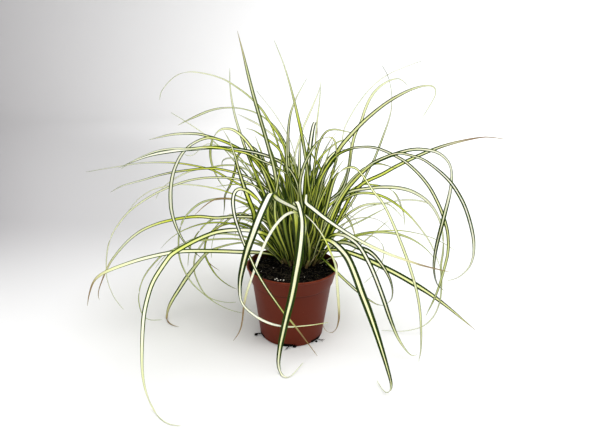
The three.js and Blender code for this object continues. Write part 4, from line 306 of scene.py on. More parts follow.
def pot_material():
    """Moulded terracotta-brown plastic, satin, with flow marks, fine scuffs and a little peat dust, a painted
    highlight on the lip and painted shade under the band, inside the wall and under the pot.
    """
    t = Tree("pot_plastic")
    co = t.coords()
    x, y, z = t.split(co)
    cloud = t.noise(co, 28.0, 3.0, 0.55)
    grain = t.noise(co, 1900.0, 2.0, 0.6)
    flow = t.noise(t.vec(t.math("MULTIPLY", x, 60.0), t.math("MULTIPLY", y, 60.0), t.math("MULTIPLY", z, 7.0)), 1.0, 3.0, 0.5)
    col = t.mix(cloud, lin(92, 30, 11), lin(106, 38, 16))
    col = t.mix(t.math("MULTIPLY", flow, 0.35), col, lin(80, 27, 11))
    # paler edge of the lip: rubbed wear and a painted highlight
    lip = t.step(z, 0.0845, 0.0872)
    lip_wear_and_highlight = t.math("MULTIPLY", lip, t.step(t.noise(co, 240.0, 3.0, 0.6), 0.35, 0.7, 0.1, 0.55))
    col = t.mix(lip_wear_and_highlight, col, lin(142, 68, 42))
    # painted shade in the step under the band
    band_step_shade = t.math("MULTIPLY", t.step(z, 0.0648, 0.0674), t.step(z, 0.0684, 0.0678))
    col = t.mix(t.math("MULTIPLY", band_step_shade, 0.55), col, lin(50, 17, 9))
    # dust low on the body and under the band
    dust_n = t.noise(co, 420.0, 4.0, 0.65)
    low = t.step(z, 0.016, 0.0, 0.0, 0.5)
    dust = t.math("MULTIPLY", t.step(dust_n, 0.52, 0.74), t.math("ADD", low, 0.10))
    col = t.mix(dust, col, lin(58, 36, 24))
    # tiny pale nicks
    nick = t.voronoi(co, 130.0)
    col = t.mix(t.step(nick, 0.055, 0.02, 0.0, 0.5), col, lin(176, 108, 84))
    # inside of the wall: peat stain, with painted shade that deepens down into the pot
    r2 = t.math("ADD", t.math("MULTIPLY", x, x), t.math("MULTIPLY", y, y))
    radius = t.math("SQRT", r2)
    # outer surface radius less 0.6 mm, as a line of z, marks the inside
    inner_line = t.math("ADD", t.math("MULTIPLY", t.math("SUBTRACT", z, 0.0682), 0.247), 0.0469)
    inside = t.math("MULTIPLY", t.step(t.math("SUBTRACT", inner_line, radius), -0.0002, 0.0002), t.step(z, 0.0690, 0.0700))
    inner_stain_and_shade = t.mix(t.noise(co, 300.0, 4.0, 0.6), lin(16, 8, 5), lin(36, 16, 10))
    col = t.mix(t.math("MULTIPLY", inside, t.step(z, 0.0868, 0.080, 0.25, 0.9)), col, inner_stain_and_shade)
    # the underside and the drain slots are painted near-black: painted shade under the pot, with wet peat
    foot_line = t.math("ADD", t.math("MULTIPLY", z, 0.13), 0.0366)
    below = t.math("MULTIPLY", t.step(t.math("SUBTRACT", foot_line, radius), 0.0, 0.0003), t.step(z, 0.0078, 0.0066))
    col = t.mix(t.math("MULTIPLY", below, 0.96), col, lin(8, 5, 3))
    rough = t.math("ADD", t.step(cloud, 0.3, 0.7, 0.42, 0.52), t.math("MULTIPLY", dust, 0.3))
    h = t.math("ADD", t.math("MULTIPLY", grain, 0.35), t.math("MULTIPLY", flow, 0.65))
    return t.finish(col, rough, t.bump(h, 0.12, 0.0003), specular=0.12)


def compost_material():
    t = Tree("compost")
    co = t.coords()
    crumbs = t.noise(co, 900.0, 5.0, 0.7)
    lump = t.noise(co, 190.0, 4.0, 0.6)
    cell = t.voronoi(co, 700.0)
    col = t.mix(crumbs, lin(1, 1, 0), lin(6, 4, 3))
    col = t.mix(t.step(lump, 0.45, 0.7, 0.0, 0.5), col, lin(4, 3, 2))
    col = t.mix(t.step(crumbs, 0.70, 0.78, 0.0, 0.35), col, lin(46, 36, 25))
    h = t.math("ADD", t.math("MULTIPLY", crumbs, 0.6), t.math("MULTIPLY", cell, -0.5))
    rough = t.step(lump, 0.3, 0.7, 0.75, 0.95)
    return t.finish(col, rough, t.bump(h, 0.9, 0.0006), specular=0.04)


def fibre_material(name, a, b, scale=700.0, rough=0.75):
    t = Tree(name)
    co = t.coords()
    n = t.noise(co, scale, 3.0, 0.6)
    patch = t.noise(co, scale * 0.12, 2.0, 0.5)
    col = t.mix(n, lin(*a), lin(*b))
    col = t.mix(t.step(patch, 0.35, 0.65, 0.0, 0.45), col, lin(*(int(c * 0.6) for c in a)))
    return t.finish(col, rough, t.bump(n, 0.6, 0.0002), specular=0.12)


def perlite_material():
    t = Tree("perlite")
    co = t.coords()
    n = t.noise(co, 2200.0, 4.0, 0.7)
    cell = t.voronoi(co, 1900.0)
    col = t.mix(n, lin(196, 186, 168), lin(244, 240, 230))
    col = t.mix(t.step(cell, 0.35, 0.1, 0.0, 0.4), col, lin(150, 134, 112))
    return t.finish(col, 0.85, t.bump(cell, 0.8, 0.0002), specular=0.3)


LEAF = leaf_material()
SHEATH = sheath_material()
POT = pot_material()
COMPOST = compost_material()
FIBRE = fibre_material("peat_fibre", (30, 25, 18), (98, 88, 68))
CHIP = fibre_material("bark_crumb", (3, 2, 1), (15, 11, 8), 500.0, 0.85)
MAT = fibre_material("root_mat", (3, 2, 1), (11, 8, 6), 900.0, 0.95)
PERLITE = perlite_material()
ROOT = fibre_material("dark_root", (22, 16, 12), (52, 38, 27), 900.0, 0.8)
LITTER = fibre_material("dead_leaf", (150, 128, 86), (214, 200, 158), 600.0, 0.65)

# ------------------------------------------------------------------ leaf table
# shoot -> leaves. A leaf: looks from its foot to its tip, the share of it below the first of them, where its tip
# goes brown (0 for none), then x, y, z, width, turn for each point, in
# millimetres and degrees. The points are the CAD midribs with more points on the bends.
SHOOTS = {
    "shoot_back_1": [
        ("W", 0, 0, (15.4,29.5,80,1.7,162, 16.4,33.9,91.5,2.7,160, 16.9,37.1,99,3.3,159, 18,46.2,117,4.9,156, 18.7,55.2,130.5,5.2,154, 19.3,65.6,142.8,5.4,152, 19.7,77.6,153.6,5.6,150, 19.9,90.9,162.8,5.8,148, 19.7,105.3,170.1,5.9,146, 19.3,120.6,175.2,5.9,145, 18.4,136.5,178,5.7,143, 17.2,152.5,178.5,5,140, 15.7,168.5,176.4,4.4,148, 13.9,183.9,171.9,3.7,148, 11.8,198.3,164.9,3,147, 9.7,211.4,155.7,2.2,146, 7.6,222.7,144.4,1.3,145, 5.7,232,131.4,0.6,144)),
        ("Y", 0, 0.9038396379877245, (17.3,30.3,80,1.7,132, 18.4,33.4,87.3,2.3,132, 19.3,35.5,90.7,2.7,132, 21.4,40,96.9,3.3,131, 24.3,44.9,102.3,4,131, 30.1,53.3,108.4,4.9,130, 35.6,67.6,115.1,5.3,129, 40.5,78.3,118.3,5.5,130, 48.2,92.5,119.4,5.7,131, 56,106.5,117.5,5.8,130, 61.8,116.7,114.2,5.8,125, 67.4,126.4,109.5,5.3,113, 72.8,135.5,103.4,4.7,112, 79.4,146.4,93.4,3.8,111, 83.9,153.6,84.7,3.1,111, 87.8,159.8,75,2.4,111, 91.2,165,64.6,1.6,111, 94.7,170.4,49.7,0.6,110)),
        ("O", 0, 0, (15.7,31.5,80,1.7,165, 17.4,37.1,90.3,2.7,166, 19.7,46.5,102.7,4,169, 21.1,55.1,111,4.8,171, 23.9,64.8,118,5,173, 27.1,78.6,126,5.1,175, 29.9,93.1,132.3,5.3,178, 32.7,108.3,136.9,5.5,181, 35.3,124,139.7,5.6,184, 37.7,139.9,140.8,5.6,187, 40,155.9,140.1,5.1,191, 42,171.7,137.8,4.4,195, 43.7,187.2,133.8,3.7,189, 45.2,202.3,128.3,3,194, 46.5,216.8,121.4,2.2,198, 47.5,230.6,113,1.3,202, 48.2,243.5,103.4,0.6,205)),
    ],
    "shoot_back_2": [
        ("Y", 0, 0.8965840035061124, (12.8,28.2,80,1.7,162, 12.5,29.9,87.7,2.3,163, 13,30.9,91.6,2.7,163, 14.9,35.5,106.5,4,164, 18.8,44.5,128.6,5,166, 21.5,51.6,143.2,5.2,168, 23.9,58.1,153.2,5.4,169, 26.9,65.6,162.3,5.5,170, 31.6,76.8,173,5.6,172, 35.6,86,179.9,5.6,173, 41.5,99.2,187.3,5.3,175, 46.2,109.6,191.6,4.8,176, 52.9,123.9,195.3,4.1,178, 58.1,134.8,196.5,3.5,179, 65.3,149.4,196,2.7,179, 70.6,160.1,193.9,2.1,169, 77.7,173.9,189.1,1.1,166, 82.8,183.7,183.9,0.6,166)),
        ("W", 0, 0.8546652237953887, (10.8,27.7,80,1.7,-164, 11.8,26.8,83.7,2,-165, 11.3,29.3,91.1,2.7,-165, 11.6,34.1,110.9,4.3,-166, 12,39.6,130.5,5.3,-166, 13.6,45.7,145.4,5.4,-167, 14.9,55.1,163,5.6,-168, 16.1,66.5,179.4,5.8,-169, 17.5,79.8,194.2,6,-170, 19.1,95.2,207,6.1,-170, 20.5,108.7,215.5,6.1,-171, 22.3,126.9,223.5,5.7,-171, 24.2,146.2,228.5,5,-171, 26.2,166,230.1,4.3,-170, 27.7,181.9,228.8,3.7,-178, 29.6,201.2,223.9,2.9,-177, 31,215.8,217.4,2.2,-177, 32.5,232.3,206.3,1.2,-177, 33.6,243.8,195.1,0.6,-177)),
        ("W", 0, 0.9297458175366333, (12.2,26.3,80,1.7,167, 12.1,28.2,88.6,2.4,165, 12.7,28.8,92.9,2.7,165, 14.3,31.3,105.1,3.7,162, 15.8,34.8,117,4.4,160, 16.2,37.8,124.5,4.5,159, 18,48.9,145.4,4.8,155, 23.9,64.5,168.5,5,149, 30.2,79.9,186.4,4.4,144, 38,97.1,202,3.2,140, 47.3,115.7,214.9,1.9,135, 58,135.2,225,0.6,130)),
    ],
    "shoot_back_3": [
        ("W", 0, 0.8750999246664758, (9.3,30.1,80,1.7,-145, 8.3,32.6,83.9,2,-146, 8.7,34,91.7,2.7,-146, 8.8,34.9,95.6,3,-146, 8.6,42.9,114,4.6,-147, 7.5,54.4,130.5,5.6,-147, 5.6,68.1,145.1,5.8,-147, 4.3,84.1,157.3,6,-148, 3.2,98.2,164.8,6.2,-148, 1.6,117.1,171.4,6.4,-149, 0.3,132.9,174.1,6.4,-149, -1.3,152.9,174.3,6.2,-152, -3,172.6,170.9,5.5,-145, -4.5,191.3,163.9,4.7,-146, -5.7,205.2,155.9,4,-147, -7.1,220.6,143.1,3.2,-147, -8,231.1,130.9,2.4,-148, -8.9,241.4,113.8,1.3,-148, -9.4,247.3,98.8,0.6,-148)),
        ("Y", 0, 0, (7.3,30.3,80,1.7,170, 6.6,34.9,91.2,2.7,172, 5.9,39.9,102.3,3.6,175, 3.3,50.7,123.7,3.8,182, 1.8,59.2,137.1,3.9,186, 0.3,66.8,146.3,4,189, -3.5,81.1,159.9,4.1,194, -7.2,93.9,168.9,4.3,198, -11.4,107.8,175.8,4.3,202, -16.1,122.5,180.3,4.3,206, -21.2,137.6,182.3,4,210, -26.6,152.8,181.5,3.6,216, -32,167.4,177.9,3.1,234, -37.4,181.1,171.4,2.7,240, -42.3,193.3,162.2,2.1,244, -46.7,203.6,150.6,1.6,249, -50.1,211.3,136.9,0.9,253, -52.4,216.2,121.8,0.6,257)),
        ("W", 0, 0, (8.6,31.9,80,1.7,173, 8,37,90.6,2.7,173, 7.2,46.6,103,3.9,172, 6.5,55.8,110.7,4.2,172, 5.3,69.6,118.6,4.4,171, 4.3,80.8,122.8,4.5,171, 2.9,96.5,125.8,4.7,170, 1.8,108.5,126.2,4.8,169, 0.1,124.4,124.3,4.8,167, -1.5,136,121.2,4.8,176, -3.1,146.9,116.3,4.3,175, -4.4,160.1,107.1,3.7,172, -4.8,171.9,96.3,3.1,172, -5.6,179.5,87,2.6,171, -6.5,187.6,73.2,1.8,171, -7.1,192.1,62.1,1.2,171, -7.5,195.9,46.5,0.6,170)),
    ],
    "shoot_back_4": [
        ("PPPP", 0.52, 0, (3.3,30.9,80,1.7,-175, 2.8,33.3,84,2,-175, 2.3,34.4,87.8,2.3,-175, 1.9,35,91.7,2.4,-175, 0.5,37,103.6,2.4,-175, -2.1,38.3,119.1,2.4,-175, -3.6,39.4,139,2.4,-176, -4.4,40.6,159,2.4,-176, -4.1,42.8,174.9,2.4,-177, -3,45.8,186.4,2.4,-177, -1.7,48.6,193.8,2.4,-176, 0.8,53.8,204.4,2.4,-176, 4.9,61,218.1,2.4,-175, 9.2,68.3,231.7,2.4,-174, 17.9,79.3,251.2,2,-173, 27.7,92.4,274,1.1,-176, 29.7,96.2,280.7,0.8,-178, 30.4,100,287.7,0.6,-180)),
        ("Y", 0, 0.8876853781408782, (2.1,32.5,80,1.7,-172, 0,36,86.8,2.4,-173, -1.3,38,90,2.7,-174, -4.2,42.6,95.7,3.3,-175, -9.6,50.5,103,3.9,-177, -15.9,59,108.8,4,-179, -20.6,65.1,111.6,4.1,-180, -25.3,71.6,113.1,4.2,-181, -34.3,85.3,113.4,4.4,-184, -41.7,95,112.2,4.4,-186, -49.1,104.2,109.1,4.3,-185, -53.7,110.2,106.1,4,-176, -60.3,118.6,100.3,3.4,-173, -66.5,126.2,93,2.9,-174, -70.2,130.8,87.5,2.5,-175, -75.2,136.9,78.2,1.8,-177, -79.5,141.9,68,1.1,-179, -82.8,145.9,56.9,0.6,-180)),
        ("Y", 0, 0, (4.1,32.7,80,1.7,-180, 2.7,32.2,83.6,2,-178, 1.7,37,90.7,2.7,-177, -0.9,45,104.8,3.7,-177, -3.5,54.1,117.9,3.9,-177, -5.7,62.1,126.9,4.1,-178, -8,70.9,134.9,4.2,-178, -10.4,80.6,141.7,4.3,-179, -12.9,91.2,147.2,4.4,-180, -15.5,102.3,151.2,4.4,-181, -18,114,153.6,4.1,-182, -20.4,125.8,154.1,3.6,-184, -22.7,137.7,152.7,3.1,-184, -24.8,149.2,149.4,2.6,-177, -26.7,160,144.2,2.1,-180, -28.2,169.7,137.2,1.4,-182, -29.5,178.1,128.5,0.7,-183, -30.1,182.7,121.9,0.6,-184)),
    ],
    "shoot_back_5": [
        ("Y", 0, 0, (11.3,33.2,80,1.7,-163, 11.8,40.4,90.3,2.7,-166, 12,42.8,93.7,3,-168, 13.1,50.7,103.4,4,-172, 14,56.4,109.2,4.6,-176, 15.6,65.9,116.7,5.4,-180, 17.4,76,123.1,5.6,-185, 19.4,86.8,128.5,5.8,-190, 21.6,98.2,132.2,5.9,-195, 24.2,109.9,134.1,5.9,-199, 27,121.7,134,5.6,-203, 29.9,133.3,131.8,4.9,-211, 31.9,140.8,129.2,4.4,-224, 34.9,151.1,123.6,3.7,-230, 37.6,160.2,116,2.9,-235, 40,167.7,106.7,2,-240, 41.9,173.1,95.9,1,-245, 42.7,175.5,88.2,0.6,-248)),
        ("Y", 0, 0.8625741517534169, (11.2,35.2,80,1.7,173, 11.6,42.8,89,2.7,172, 11.8,51.3,97,3.6,171, 12,67.8,108.1,4.3,169, 11.9,75,111.5,4.4,168, 11.6,86.3,115.4,4.5,167, 11,98.1,117.6,4.7,166, 10.6,106.1,118.2,4.7,166, 9.7,118,117.6,4.4,164, 9.1,125.9,116.3,4,163, 8.4,133.6,114.2,3.6,170, 7.3,144.6,109.6,2.9,170, 6.1,154.8,103.4,2.3,169, 5.3,161,98.4,1.7,169, 4.1,169.3,89.7,0.9,168, 3.4,174,83.3,0.6,168)),
        ("O", 0, 0, (12.9,34.3,80,1.7,-170, 13.7,41.5,89.5,2.7,-169, 14.8,49.6,97.9,2.8,-167, 16,62,108,3,-165, 17.1,72,114.5,3.1,-163, 18.2,79.1,118,3.2,-162, 20,90.3,121.8,3.3,-161, 23.5,109.7,125,3.4,-157, 25.7,121.5,125,3.3,-155, 28.1,133.1,123.4,2.9,-153, 30.4,144.5,120.4,2.5,-161, 32,151.8,117.6,2.2,-163, 34.3,162.3,112.2,1.8,-162, 36.6,172.1,105.6,1.3,-160, 38.7,180.9,97.7,0.8,-158, 40.7,188.7,88.8,0.6,-157)),
    ],
    "shoot_back_6": [
        ("W", 0, 0.9323885489002014, (6.8,35.8,80,1.7,156, 6.3,42.7,89.9,2.7,158, 5.7,51.4,98.5,3.6,160, 5.3,61.1,105.6,4.6,162, 4.8,75.4,113,5.1,165, 4.4,86.8,116.8,5.2,167, 3.7,102.6,119.6,5.4,169, 3,114.6,120,5.6,171, 2.6,126.5,118.7,5.7,173, 2.2,142,115,5.7,175, 1.1,157.2,109.7,5.1,185, -0.4,167.8,104.2,4.6,187, -2.1,180.8,94.7,3.8,188, -3,189.6,86.6,3.2,190, -4.1,200,74.4,2.4,193, -5.1,208.5,60.8,1.4,196, -5.9,215.2,46.2,0.6,198)),
        ("Y", 0, 0.9343025066841586, (4.8,35.4,80,1.7,-164, 5.1,40,83.3,2,-164, 3.9,43.8,89.7,2.7,-167, 3.3,46.1,92.7,3,-168, 2.1,51.8,98.3,3.7,-171, -0.2,61,106.1,4.6,-175, -3,70.8,112.7,5.3,-179, -6.4,81.4,117.9,5.5,-183, -8.9,88.7,120.4,5.6,-186, -13,99.9,122.8,5.7,-190, -16,107.5,123.3,5.7,-193, -20.7,118.7,122.4,5.4,-196, -25.6,129.5,119.5,4.7,-187, -30.5,139.5,114.5,4,-186, -33.6,145.7,110.2,3.5,-188, -38,153.8,102.2,2.7,-191, -40.6,158.3,95.9,2.1,-194, -43.8,163.7,85.5,1,-197, -45.4,166.2,77.9,0.6,-199)),
        ("D", 0, 0, (5.5,37.2,80,1.7,-151, 3.9,45.7,88.2,2.7,-155, 2.7,51.6,93.2,3.3,-159, 1.5,58.1,97.6,3.8,-162, 0.2,65.3,101.2,3.9,-165, -1.1,72.8,104.1,4,-169, -3.1,84.5,107.1,4.2,-175, -4.9,96.6,108.3,4.4,-180, -6.1,104.6,108.2,4.4,-185, -8.4,120.6,105.6,4,-193, -9.4,128.3,103.2,3.6,-189, -10.8,139.5,98.3,2.9,-194, -11.6,146.4,94.1,2.5,-198, -12.7,156.1,86.7,1.7,-204, -13.5,164.6,78,0.9,-209, -14,169.6,71.5,0.6,-212)),
    ],
    "shoot_back_left_1": [
        ("PPPP", 0.65, 0, (3.2,26,80,1.2,-174, 1.7,28.9,91.7,1.2,-174, 0.9,30.7,99.6,1.2,-175, 0.5,32.8,111.5,1.2,-175, 0.4,35.6,134.9,1.2,-175, 0.7,36,151,1.2,-176, 2.6,38,167.2,1.2,-176, 2.8,39.9,179.2,1.2,-176, 1.7,42.7,194.9,1.2,-176, -0.3,45.8,206.4,1.2,-177, -3.7,49.8,217.2,1.2,-178, -6.9,53.2,223.7,1.2,-179, -20.6,66.9,244,1,-181, -27.1,72.8,252.2,0.8,-183, -39,82.4,265.1,0.6,-184, -48.7,90,275.4,0.6,-185)),
        ("Y", 0, 0.9460070917026175, (3.3,28,80,1.7,180, 2.3,27.5,83.7,2,181, 1.4,29,87.4,2.3,183, 0.4,30.8,91.1,2.7,184, -3.7,36.8,105.4,4,189, -7.1,44.6,119.2,5,193, -11.7,53.9,131.6,5.2,196, -16.7,64.7,142.4,5.4,200, -20.7,73.7,149.4,5.5,203, -24.9,83.5,155,5.7,205, -29.3,94.1,159,5.7,207, -36.1,116.7,163.6,5.2,212, -40.2,127.8,165.2,4.7,212, -44.3,139,164.7,4.2,214, -47.7,150.3,162.4,3.6,225, -51.6,164.9,157,2.8,229, -54.1,175.3,151.3,2.1,230, -57,187.9,141.7,1.1,230, -58.6,196.3,133.2,0.6,232)),
        ("W", 0, 0, (1.5,27,80,1.7,-149, 0.8,28.4,83.6,2,-149, -2.4,31.2,90.6,2.7,-146, -5.5,34.5,97.4,3.3,-143, -11.3,39.7,106.9,3.9,-138, -21.7,46.5,117.7,4.2,-131, -32.9,55,125.8,4.3,-125, -45.3,64.6,130.7,3.4,-119, -55,72,131.8,2.6,-114, -61.5,76.9,131.2,2,-111, -67.9,81.8,129.5,1.4,-108, -77,88.6,124.9,0.6,-105)),
    ],
    "shoot_back_left_2": [
        ("GOPP", 0.47, 0, (-2,24.7,80,1.7,-164, -6.9,26.7,91.2,1.9,-164, -12.7,29,106.7,1.9,-165, -18.2,31.6,125.6,1.9,-165, -22.6,32.9,140.9,1.9,-165, -28.1,33.7,155.7,1.9,-164, -34.7,34.3,169.6,1.9,-163, -39,34.7,175.5,1.9,-163, -44.6,36,180.7,1.9,-163, -51,38.7,185.1,1.9,-165, -57.9,42,188,1.9,-169, -68.8,46.1,190.5,1.9,-174, -83.8,51.2,189.7,1.9,-180, -102.2,57.1,185.2,1.9,-184, -120.8,63,181.1,1.8,-185, -128.1,65.2,178.8,1.8,-189, -148.5,71.4,168.1,1.5,-194, -161.1,75.1,159.1,1.1,-200, -169.7,77.5,151.1,0.8,-206, -174.4,78.7,144.8,0.6,-210, -178.2,79.6,137.9,0.6,-212)),
        ("KGPG", 0.65, 0, (-1.4,26.6,80,1.7,-164, -4.8,28.1,87.1,1.9,-164, -5.9,28.8,90.7,1.9,-165, -7.9,29.8,97.9,1.9,-165, -13.2,30.6,116.8,1.9,-165, -18.9,31.2,135.9,1.9,-165, -25.1,32.9,154.8,1.9,-164, -31.8,35.4,169.4,1.9,-164, -36,37.1,176.2,1.9,-165, -40.6,39.8,182.4,1.9,-166, -49.2,43.9,189.8,1.9,-170, -59.4,47.8,194.5,1.9,-174, -66.2,51.1,196.6,1.9,-178, -76.9,56.2,197.5,1.8,-189, -83.7,59.5,195.8,1.5,-206, -86.4,61.1,193.6,1.3,-217, -88,62.7,190.6,1,-227, -88.4,66,183.5,0.6,-241)),
        ("KKGO", 0.65, 0, (-3.4,26.2,80,1.7,-164, -8.2,28.7,90.4,1.7,-164, -11.3,30,97.4,1.7,-164, -20.4,32,119.6,1.7,-164, -30.6,34.3,141.2,1.7,-163, -38.2,36.7,155.1,1.7,-163, -46.7,40.3,168.2,1.7,-164, -53.8,44.3,177,1.7,-165, -58.8,47.7,182.1,1.7,-165, -72,57.8,193.2,1.4,-166, -84.6,68,204.8,0.9,-169, -94.1,74.3,209.2,0.6,-176)),
    ],
    "shoot_back_left_3": [
        ("Y", 0, 0, (-1.5,34.3,80,1.7,-111, -3,37.1,83.4,2,-112, -6.6,40,90,2.7,-114, -10.5,43.6,96.3,3.3,-116, -19.1,53,106.9,4.7,-121, -26.4,61.1,112.8,5.6,-126, -31.6,66.7,115.8,6.1,-129, -37,72.5,118,6.2,-132, -42.5,78.5,119.1,6.2,-135, -50.8,87.6,118.8,5.7,-140, -56.2,93.6,117.3,5,-142, -61.4,99.4,114.7,4.4,-142, -66.2,105,111.1,3.7,-135, -70.7,110.1,106.5,3,-136, -74.6,114.7,100.9,2.2,-139, -78,118.6,94.5,1.3,-142, -80.6,121.8,87.4,0.6,-144)),
        ("O", 0, 0.8623381414277574, (-0.1,35.6,80,1.7,-136, -4.3,43.2,88.6,2.7,-136, -5.9,45.8,91.4,3,-135, -10.7,54.2,99.1,3.9,-135, -15.8,63,105.8,4,-134, -22.5,75.9,113.6,4.2,-134, -30,84.8,117.7,4.3,-133, -37.2,94.2,119.7,4.5,-132, -44.2,104.2,120.3,4.6,-131, -51.2,114,119.1,4.6,-130, -58.3,123.6,116.2,4.2,-124, -65.1,132.5,111.5,3.7,-112, -71.5,140.6,105.1,3.2,-109, -77.3,147.8,97,2.7,-108, -82.2,153.7,87.6,2.1,-107, -86.2,158.2,77,1.5,-107, -88.9,161.3,65.5,0.8,-106, -89.9,162.4,57.5,0.6,-106)),
        ("Y", 0, 0, (-2,36.2,80,1.7,-151, -6.4,42.3,89.5,2.7,-153, -8.1,44.4,92.4,3,-153, -15.6,54.1,102.3,3.4,-156, -19.9,59.6,106.2,3.5,-158, -27.5,68.1,110.5,3.7,-160, -32.4,74.3,112.9,3.8,-162, -36.8,81.1,114.5,3.8,-164, -41.3,87.8,115.1,3.8,-166, -45.9,94.3,114.8,3.4,-169, -55.6,107,111.6,2.6,-171, -64.9,118.8,105.4,1.7,-160, -71.3,126.8,98.8,0.8,-160, -75.2,131.7,93.6,0.6,-161)),
    ],
    "shoot_back_left_4": [
        ("GPPP", 0.63, 0, (-2,31.6,80,1.4,-162, -5.9,33.1,86.8,1.4,-163, -7.7,34.5,90.2,1.4,-163, -11.1,36.5,97.3,1.4,-163, -19.1,40.1,115.3,1.4,-163, -26.9,43.6,133.5,1.4,-163, -39.1,48.1,158.4,1.4,-163, -49.2,51.9,175.3,1.4,-163, -61.4,56.7,190.4,1.4,-164, -69.9,60.5,198,1.4,-166, -76.1,63.3,202.1,1.4,-168, -92.7,72,209.6,1.3,-168, -104.9,78,217.9,1.1,-167, -120.9,85.7,227.3,1,-168, -137.3,93.3,235.9,0.8,-170, -157.3,102.6,245.6,0.6,-170)),
        ("YOYY", 0.59, 0, (-2.3,29.6,80,1.7,-165, -6.7,32.4,90.7,2.7,-165, -10.9,34.5,101.9,3.2,-166, -14.5,37.5,117.2,3.2,-166, -20.1,39.9,140.2,3.2,-166, -26,41.7,163.2,3.2,-166, -33,44,185.9,3.2,-166, -37.4,45.8,196.8,3.2,-165, -41,47.4,203.6,3.2,-165, -45.7,49.9,209.4,3.2,-163, -48.6,51.6,211.3,3.2,-159, -51.7,53.6,212.2,3.2,-153, -54.9,55.8,211.7,3.2,-140, -57.8,57.9,210.3,3.2,-100, -65.4,63.9,203.5,3.2,-70, -70.9,69.5,194.7,3.3,-74, -73.8,76.5,180.8,3.3,-77, -76.1,79.6,173.9,3.3,-74, -82.8,86.3,156.5,3,-71, -90.1,90.9,143.2,2.5,-74, -91.7,93,135.8,2.2,-79, -92.8,95.7,124.3,1.4,-80, -94.8,98,112.7,0.6,-79)),
        ("Y", 0, 0, (-3.8,30.8,80,1.7,-91, -8.1,33.1,86.4,2.4,-94, -10.3,34.4,89.4,2.7,-96, -15.2,37.1,95.1,2.8,-99, -26.6,43.3,104.8,3,-107, -36.1,48.6,110.6,3.1,-113, -42.7,52.4,113.6,3.2,-117, -56.4,60.4,117.6,3.3,-125, -70.4,68.9,118.9,2.9,-133, -77.4,73.2,118.4,2.6,-138, -87.6,79.7,116.5,2.1,-144, -94.2,84,114.3,1.8,-149, -103.8,90.3,109.8,1.2,-155, -115.5,98.3,101.6,0.6,-162)),
    ],
    "shoot_back_right_1": [
        ("PYPP", 0.38, 0, (21.7,20.7,80,1.7,163, 26.8,22,90.8,2.7,163, 32.6,23.1,105.8,3.9,164, 41.7,27,132.1,4.3,164, 49.6,30.6,154.5,4.3,164, 55.3,33,169.3,4.3,164, 61.4,35.2,183.9,4.1,164, 63.2,36.1,191.6,4.1,165, 65.7,38.1,215.4,3.8,165, 69.2,40.3,230.9,3.5,166, 75.7,43.8,245,3.3,166, 79,46,256.3,3.1,166, 83.4,48.6,267.1,3,168, 87.4,50.8,273.7,2.9,170, 92.3,53.3,279.5,2.7,173, 98.1,56,284.3,2.2,178, 107.9,60.5,289.5,1.6,187, 115,63.6,291.2,1.2,196, 118.6,65.2,291.3,1,202, 125.2,68.1,288.3,0.7,214, 130.9,70.8,283.4,0.6,220)),
        ("OOOO", 0.45, 0, (21.8,18.8,80,1.7,163, 23.9,20.3,84,2,163, 25.1,20.6,87.8,2.3,164, 25.9,20.2,91.7,2.7,164, 27.6,20.1,99.4,3.1,165, 32.7,21.5,127,3.1,166, 34.1,22.4,143.1,3.1,167, 34.1,23.1,151.1,3.1,168, 33.9,27.5,170.5,2.9,168, 31.7,30.5,186.1,2.8,168, 29.5,32,193.6,2.5,168, 18.8,35.6,210.1,1.7,169, 12.7,38.5,224.6,0.9,169, 8.8,40,231.5,0.6,168)),
        ("G", 0, 0, (23.4,19.9,80,1.7,123, 31.7,20.6,88.6,2.7,124, 40.4,22.4,96.1,3.3,126, 50.1,24.4,102.4,3.4,127, 60.9,26.4,107.6,3.6,129, 72.1,28.7,111.3,3.7,131, 83.7,31,113.8,3.8,133, 95.5,33.4,114.8,3.9,135, 107.3,35.9,114.5,3.9,137, 126.7,40.1,111,3.5,141, 137.8,42.6,107,3,143, 148.4,45,101.8,2.6,145, 158.3,47.3,95.4,2.1,148, 167.5,49.5,87.8,1.5,150, 175.7,51.6,79.2,0.9,152, 182.9,53.4,69.7,0.6,153)),
    ],
    "shoot_back_right_2": [
        ("OOGP", 0.33, 0, (15.8,21.1,80,1.7,172, 17.5,21.6,92.1,2.7,173, 17.8,21.6,96.2,3,174, 17.9,21.4,116.7,4.2,175, 18.3,23.9,132.6,4.2,175, 17.4,21.8,156.3,4.2,176, 16.4,24.1,183.9,4.1,176, 11.9,27.2,211.4,4.1,176, 7.1,30,234.8,3.7,176, 3.3,31.9,250.3,3.3,176, -0.6,33.7,265.7,2.7,176, -6.2,36.1,284.8,1.9,176, -12.6,38.6,303.7,1.2,176, -23.6,42,329.3,0.6,175)),
        ("YYPP", 0.61, 0, (17.3,19.8,80,1.7,170, 19.1,20.1,90.9,2.7,171, 20.7,20.6,102.5,3,171, 22.3,22.9,126.6,3,173, 21.9,21.2,147.2,3,173, 21.6,20.8,167.1,3,173, 21.8,21.6,179,3,173, 23.4,25.1,198.4,3,173, 26.8,30.9,217.1,2.7,175, 29.4,33.5,224.1,2.5,177, 33.3,36.2,230.4,2.4,181, 35.9,37.6,232.9,2.3,185, 39.1,39,234.5,2.2,189, 46.3,41.9,235.2,2.1,196, 60.7,47.8,232.1,1.3,200, 75,54,229,0.6,201)),
        ("D", 0, 0, (17.7,21.7,80,1.7,145, 18.1,19,84.2,2,144, 18.9,20,88.5,2.4,143, 19.9,21.4,92.6,2.7,143, 21.5,22.9,100.4,3.3,142, 25.5,24,115.9,4.6,142, 28,24.5,131.7,5.7,141, 29.8,25.7,139.5,5.7,140, 33.6,28,150.9,5.2,139, 41,29.5,169.7,3.5,138, 53.5,35.1,194.7,0.6,136)),
    ],
    "shoot_back_right_3": [
